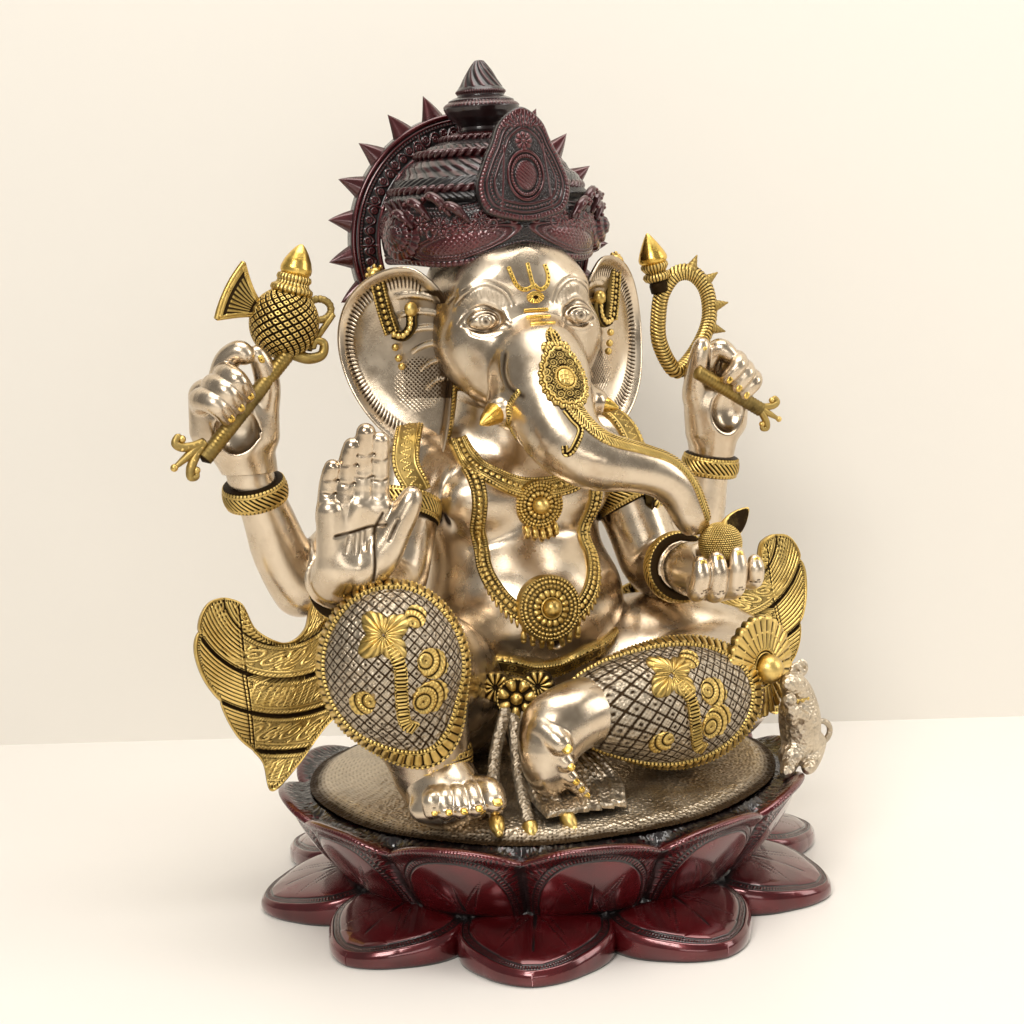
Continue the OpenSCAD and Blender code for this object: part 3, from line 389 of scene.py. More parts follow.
# ------------------------------------------------------------------ sculpting on a voxel grid
class Clay:
    """Signed distance field in millimetres on a dense grid."""

    def __init__(self, lo, hi, h):
        self.lo, self.h = np.array(lo, float), h
        self.n = np.ceil((np.array(hi, float) - self.lo) / h).astype(int) + 1
        self.d = np.full(self.n, 40.0, np.float32)
        # strength of the dark patina plus painted shade along engraved lines and creases
        self.groove_patina_and_shade = 1.4

    def window(self, lo, hi, pad):
        a = np.clip(np.floor((np.array(lo) - pad - self.lo) / self.h).astype(int), 0, self.n)
        b = np.clip(np.ceil((np.array(hi) + pad - self.lo) / self.h).astype(int) + 1, 0, self.n)
        if (b <= a).any():
            return None
        s = tuple(slice(i, j) for i, j in zip(a, b))
        ax = [(self.lo[k] + self.h * np.arange(a[k], b[k])).astype(np.float32) for k in range(3)]
        return s, ax[0][:, None, None], ax[1][None, :, None], ax[2][None, None, :]

    def merge(self, s, q, k, op):
        d = self.d[s]
        if op == "add":
            if k:
                h = np.clip(0.5 + 0.5 * (d - q) / k, 0, 1)
                self.d[s] = d * (1 - h) + q * h - k * h * (1 - h)
            else:
                self.d[s] = np.minimum(d, q)
        elif op == "cut":
            if k:
                h = np.clip(0.5 - 0.5 * (d + q) / k, 0, 1)
                self.d[s] = d * (1 - h) - q * h + k * h * (1 - h)
            else:
                self.d[s] = np.maximum(d, -q)
        elif op == "keep":
            self.d[s] = np.maximum(d, q)

    def cone(self, a, b, k=0, op="add"):
        a, b = np.asarray(a, float), np.asarray(b, float)
        r = max(a[3], b[3])
        w = self.window(np.minimum(a[:3], b[:3]) - r, np.maximum(a[:3], b[:3]) + r, k + 5)
        if w is None:
            return self
        s, X, Y, Z = w
        ab = b[:3] - a[:3]
        L = max(ab @ ab, 1e-9)
        t = np.clip(((X - a[0]) * ab[0] + (Y - a[1]) * ab[1] + (Z - a[2]) * ab[2]) / L, 0, 1)
        q = np.sqrt((X - a[0] - t * ab[0]) ** 2 + (Y - a[1] - t * ab[1]) ** 2 + (Z - a[2] - t * ab[2]) ** 2)
        self.merge(s, q - (a[3] + (b[3] - a[3]) * t), k, op)
        return self

    def chain(self, pts, k=0, op="add", n=0):
        p = spline(pts, n) if n else np.asarray(pts, float)
        for a, b in zip(p[:-1], p[1:]):
            self.cone(a, b, k, op)
        return self

    def ell(self, c, r, k=0, op="add", R=None):
        c, r = np.asarray(c, float), np.asarray(r, float)
        w = self.window(c - r.max(), c + r.max(), k + 5)
        if w is None:
            return self
        s, X, Y, Z = w
        x, y, z = X - c[0], Y - c[1], Z - c[2]
        if R is not None:
            x, y, z = (R[0, i] * x + R[1, i] * y + R[2, i] * z for i in range(3))
        k0 = np.sqrt((x / r[0]) ** 2 + (y / r[1]) ** 2 + (z / r[2]) ** 2)
        k1 = np.sqrt((x / r[0] ** 2) ** 2 + (y / r[1] ** 2) ** 2 + (z / r[2] ** 2) ** 2)
        self.merge(s, k0 * (k0 - 1) / np.maximum(k1, 1e-6), k, op)
        return self

    def half(self, p, nrm, k=0):
        """Keeps what lies behind the plane through p with the outward normal nrm."""
        nrm = unit(nrm)
        w = self.window(self.lo, self.lo + self.n * self.h, 0)
        s, X, Y, Z = w
        self.merge(s, (X - p[0]) * nrm[0] + (Y - p[1]) * nrm[1] + (Z - p[2]) * nrm[2], k, "keep")
        return self

    def line(self, pts, w, depth):
        """Engraves (depth > 0) or raises (depth < 0) a soft line of width w along the points."""
        p = np.asarray(pts, float)
        for a, b in zip(p[:-1], p[1:]):
            win = self.window(np.minimum(a[:3], b[:3]), np.maximum(a[:3], b[:3]), w * 2.4 + 1)
            if win is None:
                continue
            s, X, Y, Z = win
            ab = b[:3] - a[:3]
            t = np.clip(((X - a[0]) * ab[0] + (Y - a[1]) * ab[1] + (Z - a[2]) * ab[2]) / max(ab @ ab, 1e-9),
                        0, 1)
            q = (X - a[0] - t * ab[0]) ** 2 + (Y - a[1] - t * ab[1]) ** 2 + (Z - a[2] - t * ab[2]) ** 2
            if not hasattr(self, "e"):
                self.e = np.zeros(self.n, np.float32)
            g = depth * np.exp(-q / (w * w))
            self.e[s] = np.maximum(self.e[s], g) if depth > 0 else np.minimum(self.e[s], g)
        return self

    def bake(self):
        if hasattr(self, "e"):
            self.d += self.e
            self.mark = np.abs(self.e) if not hasattr(self, "mark") else np.maximum(self.mark, np.abs(self.e))
            del self.e
        return self

    def front(self, x, z, y0=-200.0, sign=1):
        """y of the first surface met going towards +y (sign=1) at x, z."""
        i = int(round((x - self.lo[0]) / self.h)); k = int(round((z - self.lo[2]) / self.h))
        i = min(max(i, 0), self.n[0] - 1); k = min(max(k, 0), self.n[2] - 1)
        col = self.d[i, :, k]
        idx = np.nonzero(col < 0)[0]
        if len(idx) == 0:
            return None
        j = idx[0] if sign > 0 else idx[-1]
        jj = j - 1 if sign > 0 else j + 1
        if 0 <= jj < len(col):
            f = col[jj] / (col[jj] - col[j])
            return self.lo[1] + self.h * (jj + (j - jj) * f)
        return self.lo[1] + self.h * j

    def sample(self, P):
        """Trilinear value at points (n, 3)."""
        q = (np.asarray(P, float) - self.lo) / self.h
        i = np.clip(np.floor(q).astype(int), 0, self.n - 2)
        f = np.clip(q - i, 0, 1)
        out = 0
        for a in (0, 1):
            for b in (0, 1):
                for c in (0, 1):
                    w = (f[:, 0] if a else 1 - f[:, 0]) * (f[:, 1] if b else 1 - f[:, 1]) * (f[:,
                        2] if c else 1 - f[:, 2])
                    out = out + w * self.d[i[:, 0] + a, i[:, 1] + b, i[:, 2] + c]
        return out

    def grad(self, P):
        e = self.h
        g = np.stack([self.sample(P + d) - self.sample(P - d) for d in np.eye(3) * e], 1)
        return g / np.maximum(np.linalg.norm(g, axis=1), 1e-9)[:, None]

    def onto(self, P, off=0.0, rounds=6, far=3.0):
        """Moves points onto the surface, off millimetres outside it."""
        P = np.asarray(P, float).copy()
        for _ in range(rounds):
            P -= self.grad(P) * np.clip(self.sample(P) - off, -far, far)[:, None]
        return P

    def mesh(self, name, mat, **kw):
        self.bake()
        self.d[0], self.d[-1], self.d[:, 0], self.d[:, -1], self.d[:, :, 0], self.d[:, :, -1] = (3.0,) * 6
        g = vdb.FloatGrid()
        g.copyFromArray(np.clip(self.d, -6, 6).astype(np.float32))
        v, t, q = g.convertToPolygons(isovalue=0.0, adaptivity=0.0)
        v = np.asarray(v, float) * self.h + self.lo
        f = np.asarray(q)[:, ::-1]
        # engraved lines and creases darkened through cav: dark patina plus painted shade in the grooves
        if hasattr(self, "mark") and "cav" not in kw:
            keep, self.d = self.d, self.mark
            kw["cav"] = np.clip(self.sample(v) * self.groove_patina_and_shade, 0, 1)
            self.d = keep
        if len(t):
            t = np.asarray(t)[:, ::-1]
            f = [tuple(x) for x in f] + [tuple(x) for x in t]
        return make(name, v, f, mat, **kw)




# ------------------------------------------------------------------ ornament: heights 0..1 over s along and w across, in mm
def beadrow(s, w, p, r):
    q = ((s / p) % 1 - 0.5) * p
    return np.sqrt(np.clip(1 - (q * q + w * w) / (r * r), 0, 1))


def rope(s, w, p, r):
    return bump(w, r) * (0.72 + 0.28 * np.sin(2 * PI * (s / p + w / (2.2 * r))))


def zig(s, w, p, a, t):
    return bump(w - a * (4 * np.abs((s / p) % 1 - 0.5) - 1), t)


def herring(s, w, p, t, lean=0.9):
    q = ((s - np.abs(w) * lean) / p) % 1 - 0.5
    return bump(q * p, t)


def vine(s, w, p, a, t):
    """Running scroll: a wave with a curl and a bud in each turn."""
    h = bump(w - a * np.sin(2 * PI * s / p), t)
    for k in (0, 1):
        q = ((s / p + 0.25 + 0.5 * k) % 1 - 0.5) * p
        cw = -0.35 * a * (1 - 2 * k)
        r = np.hypot(q, w - cw)
        h = np.maximum(h, np.maximum(bump(r - a * 0.62, t * 0.9), bump(r, t * 1.5)))
    return h


def lattice(x, y, p, t):
    return np.maximum(bump((((x + y) / p) % 1 - 0.5) * p, t), bump((((x - y) / p) % 1 - 0.5) * p, t))


def flower(x, y, R, n=8, ph=0.0):
    r, th = np.hypot(x, y), np.arctan2(y, x)
    pet = bump(r - 0.62 * R, 0.42 * R) * (0.3 + 0.7 * np.abs(np.cos(n * th / 2 + ph)))
    return np.maximum(pet, bump(r, 0.26 * R))


def scrolls(x, y, p, t):
    """Close field of curls with small buds between them."""
    i, j = np.round(x / p), np.round(y / p)
    a, b = x - i * p, y - j * p
    turn = np.where((i + j) % 2 == 0, 1.0, -1.0)
    r, th = np.hypot(a, b), np.arctan2(b, a) * turn
    q = ((r / (p * 0.26) - th / (2 * PI)) % 1) - 0.5
    h = bump(q * p * 0.26, t) * (r < p * 0.52)
    e, f = x - (np.floor(x / p) + 0.5) * p, y - (np.floor(y / p) + 0.5) * p
    return np.maximum(h, bump(np.hypot(e, f), t * 1.6))


def orient(v, f, n_out):
    """Turns the quads so that they face along the given normals (one a vertex)."""
    pick = f[np.linspace(0, len(f) - 1, 60).astype(int)]
    g = np.cross(v[pick[:, 1]] - v[pick[:, 0]], v[pick[:, 2]] - v[pick[:, 0]])
    return f if (g * n_out[pick[:, 0]]).sum() > 0 else f[:, ::-1]


def strip(P, clay, pts, W, fn, *, amp=1.0, m=15, step=0.7, base=0.7, sink=1.6, wrap=False, dark=1.5,
          lay=True, nrm=None,
          back=0.0):
    """Band of relief laid along points on the clay. W is the half width, fn(s, w) the height 0..1."""
    p = np.asarray(pts, float)
    if wrap:
        p = np.vstack([p, p[:1]])
    p = even(p, step)
    if wrap:
        p = p[:-1]
    if lay:
        p = clay.onto(p)
        n = clay.grad(p)
    else:
        n = nrm(p) if callable(nrm) else np.broadcast_to(unit(nrm), p.shape)
    if wrap:
        t = np.roll(p, -1, 0) - np.roll(p, 1, 0)
    else:
        t = np.gradient(p, axis=0)
    t /= np.maximum(np.linalg.norm(t, axis=1), 1e-9)[:, None]
    b = np.cross(n, t)
    b /= np.maximum(np.linalg.norm(b, axis=1), 1e-9)[:, None]
    ds = np.linalg.norm(np.diff(p, axis=0), axis=1)
    s = np.concatenate([[0], np.cumsum(ds)])
    k = len(p)
    Wd = np.broadcast_to(W, (k,)) if not callable(W) else W(s / s[-1])
    w = np.linspace(-1, 1, m)
    G = p[:, None] + b[:, None] * (w[None, :, None] * Wd[:, None, None])
    if lay:
        G = clay.onto(G.reshape(-1, 3), rounds=3)
        N = clay.grad(G)
    else:
        G = G.reshape(-1, 3)
        N = np.repeat(n, m, 0)
    ww = w[None] * Wd[:, None]
    H = fn(s[:, None] + 0 * ww, ww)
    off = base + amp * H
    off[:, 0] = off[:, -1] = -sink
    off[:, 1] = off[:, -2] = base * 0.9
    if not wrap:
        off[0] = off[-1] = -sink
    v = G + N * off.reshape(-1, 1)
    # cav: low ground of the relief darker, dark patina plus painted shade
    cav = np.clip(1 - H * dark, 0, 1) * 0.95
    cav[:, :2] *= 0.4
    cav[:, -2:] *= 0.4
    f = grid_faces(k, m, wrap_i=wrap)
    f = orient(v, f, N)
    if back:
        # closed at the back when the band stands free
        vb = G - N * back
        fb = grid_faces(k, m, wrap_i=wrap)[:, ::-1] + k * m
        if (f[0] != grid_faces(k, m, wrap_i=wrap)[0]).any():
            fb = fb[:, ::-1]
        v, f = np.vstack([v, vb]), np.vstack([f, fb])
        # back sheet painted darker (cav 0.3) as shade
        cav = np.vstack([cav, cav * 0 + 0.3])
    P.put(v, f, cav.ravel())
    return P


def patch(P, clay, c, R, hx, hy, fn, *, amp=1.0, base=0.8, sink=1.8, shape=None, nr=40, na=96, dark=1.4,
          lift=30.0, free=None):
    """Medallion with local x, y in mm on the clay, seen along the third column of R. shape(th) scales the outline."""
    rr = np.concatenate([np.linspace(0.02, 0.97, nr), [1.0, 1.0]])
    th = np.arange(na) / na * 2 * PI
    sc = np.ones(na) if shape is None else shape(th)
    x = hx * rr[:, None] * (np.cos(th) * sc)[None]
    y = hy * rr[:, None] * (np.sin(th) * sc)[None]
    S = np.asarray(c, float) + x[..., None] * R[:, 0] + y[..., None] * R[:, 1]
    S = S.reshape(-1, 3)
    if clay is not None:
        S = S + R[:, 2] * lift
        for _ in range(60):
            d = clay.sample(S)
            stepd = np.clip(d, 0, 3.0)
            S = S - R[:, 2] * stepd[:, None] * 0.9
            if (d < 0.05).all():
                break
        S = clay.onto(S, rounds=3)
        N = clay.grad(S)
    else:
        N = np.broadcast_to(R[:, 2], S.shape)
        if free is not None:
            S = S + N * free(x, y).reshape(-1, 1)
    H = fn(x, y, rr[:, None] + 0 * x)
    off = base + amp * H
    off[-2] = base * 0.8
    off[-1] = -sink
    v = S + N * off.reshape(-1, 1)
    # cav: low ground of the relief darker, dark patina plus painted shade
    cav = np.clip(1 - H * dark, 0, 1) * 0.95
    cav[-3:] *= 0.5
    k = len(rr)
    f = orient(v, grid_faces(k, na, wrap_j=True), N)
    # middle closed with a fan of quads to one point
    mid = len(v)
    v = np.vstack([v, v[:na].mean(0)])
    j = np.arange(na)
    fan = np.stack([np.full(na, mid), j, (j + 1) % na, (j + 1) % na], 1)
    g = np.cross(v[fan[:, 1]] - v[mid], v[fan[:, 2]] - v[mid])
    if (g.sum(0) * R[:, 2]).sum() < 0:
        fan = fan[:, [0, 2, 1, 1]]
    P.put(v, np.vstack([f, fan]), np.append(cav.ravel(), cav[0].mean()))
    return P


def dome(P, clay, c, R, rad, fn, *, a_max=70.0, start=1.5, amp=1.0, base=0.8, sink=2.0, nr=80, na=220,
         dark=1.4, shape=None):
    """Cover over a rounded shape: rays from c spread about the third column of R; x, y are arc lengths in mm."""
    a = np.radians(a_max) * np.concatenate([np.linspace(0.01, 0.985, nr), [1.0, 1.0]])
    th = np.arange(na) / na * 2 * PI
    sc = np.ones(na) if shape is None else shape(th)
    aa = a[:, None] * sc[None]
    d = (np.sin(aa) * np.cos(th))[..., None] * R[:, 0] + (np.sin(aa) * np.sin(th))[..., None] * R[:,
        1] + np.cos(aa)[..., None] * R[:, 2]
    d = d.reshape(-1, 3)
    x, y = rad * aa * np.cos(th), rad * aa * np.sin(th)
    S = np.asarray(c, float) + d * rad * start
    for _ in range(40):
        S = S - d * np.clip(clay.sample(S), -2, 4)[:, None] * 0.95
    N = clay.grad(S)
    H = fn(x, y, a[:, None] / a[-1] + 0 * x)
    off = base + amp * H
    off[-2] = base * 0.7
    off[-1] = -sink
    v = S + N * off.reshape(-1, 1)
    # cav: low ground of the relief darker, dark patina plus painted shade
    cav = np.clip(1 - H * dark, 0, 1) * 0.95
    k = len(a)
    f = orient(v, grid_faces(k, na, wrap_j=True), N)
    mid = len(v)
    v = np.vstack([v, v[:na].mean(0)])
    j = np.arange(na)
    fan = np.stack([np.full(na, mid), j, (j + 1) % na, (j + 1) % na], 1)
    g = np.cross(v[fan[:, 1]] - v[mid], v[fan[:, 2]] - v[mid])
    if (g.sum(0) * R[:, 2]).sum() < 0:
        fan = fan[:, [0, 2, 1, 1]]
    P.put(v, np.vstack([f, fan]), np.append(cav.ravel(), cav[0].mean()))
    return P


def ringband(P, c, axis, r, W, fn, *, amp=1.2, m=17, n=220, thick=2.0, x=(1, 0, 0), bulge=0.0, squash=1.0):
    """Closed bangle about an axis: outside relief, plain inside."""
    R = frame_of(axis, x)
    th = np.arange(n) / n * 2 * PI
    w = np.linspace(-1, 1, m)
    H = fn((th * r)[:, None] + 0 * w, (w * W)[None] + 0 * th[:, None])
    rad = r + thick + bulge * np.sqrt(np.clip(1 - w ** 2, 0, 1))[None] + amp * H
    rad[:, 0] = rad[:, -1] = r + thick * 0.4
    wz = np.broadcast_to(w * W, rad.shape)
    rad = np.column_stack([rad, np.full(n, r - 1.5), np.full(n, r - 1.5)])
    wz = np.column_stack([wz, np.full(n, W), np.full(n, -W)])
    # cav: low ground darker (dark patina plus painted shade); the inside painted darker (0.4) as shade
    cav = np.column_stack([np.clip(1 - 1.5 * H, 0, 1) * 0.95, np.full((n, 2), 0.4)])
    v = np.asarray(c, float) + (rad * np.cos(th)[:, None])[..., None] * R[:,
        0] + (rad * squash * np.sin(th)[:, None])[..., None] * R[:, 1] \
        + wz[..., None] * R[:, 2]
    k = m + 2
    f = grid_faces(n, k, wrap_i=True, wrap_j=True)
    vv = v.reshape(-1, 3)
    a, b, cc, dd = (vv[f[:, i]] - np.asarray(c, float) for i in range(4))
    if (a * np.cross(b, cc)).sum() + (a * np.cross(cc, dd)).sum() < 0:
        f = f[:, ::-1]
    P.put(vv, f, cav.ravel())
    return P


def lathe(P, c, axis, prof, *, n=128, rel=None, cav=None, x=(1, 0, 0), sq=1.0):
    """Turned shape: prof rows (radius, height); rel(th, i) adds to the radius."""
    R = frame_of(axis, x)
    prof = np.asarray(prof, float)
    th = np.arange(n) / n * 2 * PI
    rad = np.broadcast_to(prof[:, 0], (n, len(prof))).copy()
    H = None
    if rel is not None:
        H = rel(th[:, None] + 0 * rad, prof[None, :, 1] + 0 * rad, rad)
        rad = rad + H * (rad > 0.5)
    v = np.asarray(c, float) + (rad * np.cos(th)[:, None])[..., None] * R[:,
        0] + (rad * sq * np.sin(th)[:, None])[..., None] * R[:, 1] \
        + (np.broadcast_to(prof[None, :, 1], rad.shape))[..., None] * R[:, 2]
    f = grid_faces(n, len(prof), wrap_i=True)
    vv = v.reshape(-1, 3)
    a, b, cc, dd = (vv[f[:, i]] - np.asarray(c, float) for i in range(4))
    if (a * np.cross(b, cc)).sum() + (a * np.cross(cc, dd)).sum() < 0:
        f = f[:, ::-1]
    if cav is None:
        # cav: low ground darker, dark patina plus painted shade
        cv = np.zeros(rad.size) if H is None else np.clip(0.55 - H * 0.9, 0, 1).ravel()
    else:
        cv = cav(H).ravel()
    P.put(vv, f, cv)
    return P


def fine(prof, step=0.8):
    return even(np.column_stack([np.asarray(prof, float), np.zeros(len(prof))]), step)[:, :2]
# ------------------------------------------------------------------ lotus base
BASE_R, UP_R, UP_Z, SEAT_R, SEAT_Z = 215.0, 198.0, 81.0, 174.0, 92.0


def petal_relief(x, y, du, s, L):
    """Engraving of a petal face: x across, y from root to tip, du mm to the outline, s mm along the outline."""
    h = np.zeros_like(x)
    tick = (np.sin(s * 2 * PI / 2.3) > -0.2)
    h -= 0.75 * bump(du - 2.6, 0.7)
    h -= 0.65 * bump(du - 4.6, 1.5) * tick * (du > 3.2)
    h -= 0.75 * bump(du - 6.8, 0.7)
    inside = sstep(8.5, 10.0, du)
    dots = (np.sin(y * 2 * PI / 1.9) > 0.0)
    h -= 0.7 * bump(x, 0.6 + 0.6 * sstep(0.5, 0.15, y / L)) * inside * sstep(0.18, 0.26,
        y / L) * (1 - sstep(0.72, 0.8, y / L))
    for k, (lean, off) in enumerate(((0.62, 2.0), (0.50, 9.0))):
        v = np.abs(x) - off - (y - 0.24 * L) * lean
        h -= 0.6 * bump(v, 0.8) * dots * inside * sstep(0.24, 0.3, y / L) * (1 - sstep(0.66 - 0.14 * k, 0.74 - 0.14 * k, y / L))
    return h


def lower_petals():
    P = Parts()
    n, m = 150, 130
    q = np.linspace(0, 1, n)
    t = (1 - (1 - q) ** 1.6)[:, None] * np.ones((1, m))
    u = np.ones((n, 1)) * np.sin(np.linspace(-1, 1, m) * PI / 2)[None]
    L, r0 = 74.0, BASE_R - 74.0
    w = 53.0 * np.power(np.clip(1 - t ** 2.9, 0, 1),
                        0.62) * (0.90 + 0.10 * np.sin(PI * np.clip(t * 1.3, 0, 1)))
    x, y = u * w, t * L
    # distance to the outline
    side = (1 - np.abs(u)) * w
    slope = np.abs(np.gradient(w[:, 0], y[:, 0]))[:, None]
    du = np.minimum(side / np.sqrt(1 + slope ** 2), 60.0)
    du = np.minimum(du, (1 - t) * L * 1.02 + 0.0)
    th = np.arctan2(x, y - 0.42 * L)
    s = th * 46.0
    z_edge = 11.5 + 12.5 * (1 - t) ** 1.05
    z = z_edge + 6.0 * (1 - np.exp(-du / 14.0)) * np.sin(PI * np.clip(0.22 + t * 0.7, 0,
        1)) - 1.0 * np.exp(-((du - 4.6) / 4.0) ** 2)
    z = z - 1.6 * np.exp(-du / 0.9)
    h = petal_relief(x, y, du, s, L)
    # cav: engraved lines darker (dark patina plus painted shade), painted shade at the petal roots under the upper
    # petals, and a faint spotted tone
    cav = np.clip(-h * 1.5, 0, 1) + 0.9 * sstep(0.26, 0.10,
                                                t) + 0.12 * (np.sin(x * 0.9) * np.sin(y * 0.7) > 0.6)
    ztop = z + h * 0.55
    idx = np.arange(n * m).reshape(n, m)
    loop = np.concatenate([idx[:, 0], idx[-1, 1:-1], idx[::-1, -1]])
    d = np.stack([x, y - L * 0.40], -1)
    d = d / np.maximum(np.linalg.norm(d, axis=-1), 1e-6)[..., None]
    for p in range(10):
        a = math.radians(12 + 36 * p)
        R = np.array([[math.cos(a), -math.sin(a)], [math.sin(a), math.cos(a)]])
        base = np.stack([x, y + r0, ztop], -1).reshape(-1, 3)
        V, C, F = [base], [np.clip(cav, 0, 1).ravel()], [grid_faces(n, m)]
        prev, off = loop, n * m
        # side rings of each petal down to the bottom; the third value is cav, with painted shade on the lowest rings
        for out, f, c in ((0.9, 0.90, 0.25), (1.5, 0.72, 0.0), (1.7, 0.45, 0.05), (1.3, 0.16, 0.25),
                          (0.2, 0.0, 0.7), (-3.0, 0.0, 0.8)):
            dd = d.reshape(-1, 2)[loop]
            b = base[loop]
            V.append(np.column_stack([b[:, 0] + dd[:, 0] * out, b[:, 1] + dd[:, 1] * out, b[:, 2] * f]))
            C.append(np.full(len(loop), c))
            cur = np.arange(off, off + len(loop))
            F.append(np.stack([prev[:-1], cur[:-1], cur[1:], prev[1:]], 1))
            prev, off = cur, off + len(loop)
        V = np.vstack(V)
        V[:, :2] = np.column_stack([V[:, 0], -V[:, 1]]) @ R.T
        F = np.vstack(F)
        mid = n // 2 * (m - 1) + m // 2
        g = np.cross(V[F[mid, 1]] - V[F[mid, 0]], V[F[mid, 2]] - V[F[mid, 0]])
        P.put(V, F if g[2] > 0 else F[:, ::-1], np.concatenate(C))
    return P.done("lower_petals_skin", LACQUER, slot="cherry_lacquer", replaces=("lower_petals",), rounds=3,
                  scale=0.5)


def upper_petals():
    n_a, n_s = 2160, 100
    a = np.arange(n_a) / n_a * 2 * PI
    S, AA = np.meshgrid(np.linspace(0, 1, n_s), a, indexing="xy")
    per = 2 * PI / 12
    ph = math.radians(19)
    u = (((AA - ph + per / 2) % per) - per / 2) / (per / 2)
    au = np.abs(u)
    top = UP_Z + 1.0 - 12.0 * au ** 2.2
    z = 21.0 + (top - 21.0) * S
    r = 154 + (UP_R - 154 - 5) * S ** 0.95 + 5.5 * np.sin(PI * S) * (1 - 0.5 * au ** 2) - 7.0 * au ** 2 * S
    r = r - 8.0 * au ** 7 * (0.35 + 0.65 * np.sin(PI * np.clip(S * 0.9 + 0.08, 0, 1)))
    r = r + 4.5 * sstep(0.84, 1.0, S) * (1 - 0.55 * au ** 2)
    w = 49.0
    q3 = ((au / 0.90) ** 3 + (np.clip(S - 0.08, 0, 1) / 0.86) ** 3) ** (1 / 3)
    du = (1 - q3) * 40.0
    s = np.arctan2(u * w, S * 58 - 12) * 42.0
    h = np.zeros_like(S)
    tick = (np.sin(s * 2 * PI / 2.3) > -0.2)
    h -= 0.75 * bump(du - 0.4, 0.7)
    h -= 0.65 * bump(du - 2.3, 1.5) * tick
    h -= 0.75 * bump(du - 4.4, 0.7)
    inside = sstep(6.0, 7.5, du)
    x, y = u * w, S * 58
    h -= 0.8 * bump(x, 0.5 + 1.3 * sstep(26, 8, y)) * inside * sstep(7, 11, y) * (1 - sstep(26, 33, y))
    for lean, off in ((0.75, 2.0), (0.45, 10.0)):
        v = np.abs(x) - off - (y - 12) * lean
        h -= 0.6 * bump(v, 0.8) * (np.sin(y * 2 * PI / 1.9) > 0) * inside * sstep(12, 15,
            y) * (1 - sstep(33, 38, y))
    # scratched lip above the outline
    lip = sstep(1.5, -1.0, du)
    h -= 0.35 * lip * (np.sin(s * 2 * PI / 1.7 + 2 * np.sin(z)) > 0.3)
    r = r + h * 0.6
    # cav: engraved lines darker (dark patina plus painted shade), painted shade at the foot of each petal and in the
    # seams between petals, scratches on the lip
    cav = np.clip(-h * 1.5, 0, 1) + 0.9 * sstep(0.16, 0.0, S) + 0.85 * sstep(0.90, 1.0, au) + 0.15 * lip
    X0, Y0 = r * np.sin(AA), -r * np.cos(AA)
    rt, zt, aur = r[:, -1], z[:, -1], au[:, -1]
    rough = rng.random((n_a, 14))
    for _ in range(2):
        rough = (rough + np.roll(rough, 1, 0) + np.roll(rough, -1, 0)) / 3
    rough = (rough - 0.5) * 2
    # rings running in under the seat; the third value is cav, painted shade that grows darker inwards, full dark under
    # the seat rim
    ins = [(rt - 0.2, zt + 1.2, 0.05), (rt - 1.4, zt + 2.2, 0.0), (rt - 3.2, zt + 2.7, 0.1),
           (rt - 5.2, zt + 2.5, 0.35)]
    z_in = 80.5
    for j, f in enumerate((0.15, 0.3, 0.45, 0.6, 0.75, 0.9, 1.0)):
        rr = (rt - 6.5) * (1 - f) + (SEAT_R - 1.0) * f
        zz = (zt + 2.0) * (1 - f) + z_in * f - 2.2 * np.sin(PI * f) * (1 - 0.4 * aur) + 1.3 * rough[:, j]
        ins.append((rr, zz, np.clip(0.45 + 0.5 * f + 0.9 * rough[:, j + 7 if j < 7 else 0], 0.1, 1)))
    ins.append((np.full(n_a, SEAT_R - 7.0), np.full(n_a, 76.0), 1.0))
    X = np.column_stack([X0] + [q[0] * np.sin(a) for q in ins])
    Y = np.column_stack([Y0] + [-q[0] * np.cos(a) for q in ins])
    Z = np.column_stack([z] + [q[1] for q in ins])
    C = np.column_stack([np.clip(cav, 0, 1)] + [np.broadcast_to(q[2], (n_a,)) for q in ins])
    v = np.stack([X, Y, Z], -1).reshape(-1, 3)
    f = grid_faces(n_a, X.shape[1], wrap_i=True)
    f = orient(v, f, np.column_stack([v[:, 0], v[:, 1], 0 * v[:, 2] + 40]))
    make("upper_petals_skin", v, f, LACQUER, cav=C.ravel(), slot="cherry_lacquer",
         replaces=("upper_petals",), rounds=3,
         scale=0.6, closed_mesh=False)


def drum():
    a = np.arange(720) / 720 * 2 * PI
    prof = A((141, 0.3), (156, 0.3), (158, 5), (158, 12), (156.5, 17), (156, 20), (157, 23), (156, 27),
             (150, 40), (141, 60))
    k = len(prof)
    waist = np.where((prof[:, 1] > 14) & (prof[:, 1] < 30), 1.0, 0.0)
    r = prof[None, :, 0] + waist[None] * (1.0 * np.sin(a * 97) + 0.8 * np.sin(a * 143) + 0.5 * np.sin(a * 211))[:, None]
    v = np.stack([r * np.sin(a)[:, None], -r * np.cos(a)[:, None],
                  np.broadcast_to(prof[None, :, 1], r.shape)], -1)
    # the whole waist half darkened (cav 0.55) as painted shade in the gap between the two rows of petals
    make("drum_waist", v.reshape(-1, 3), grid_faces(720, k, wrap_i=True, wrap_j=True), LACQUER_DARK,
         cav=np.broadcast_to(0.55, 720 * k), slot="cherry_lacquer", rounds=2)


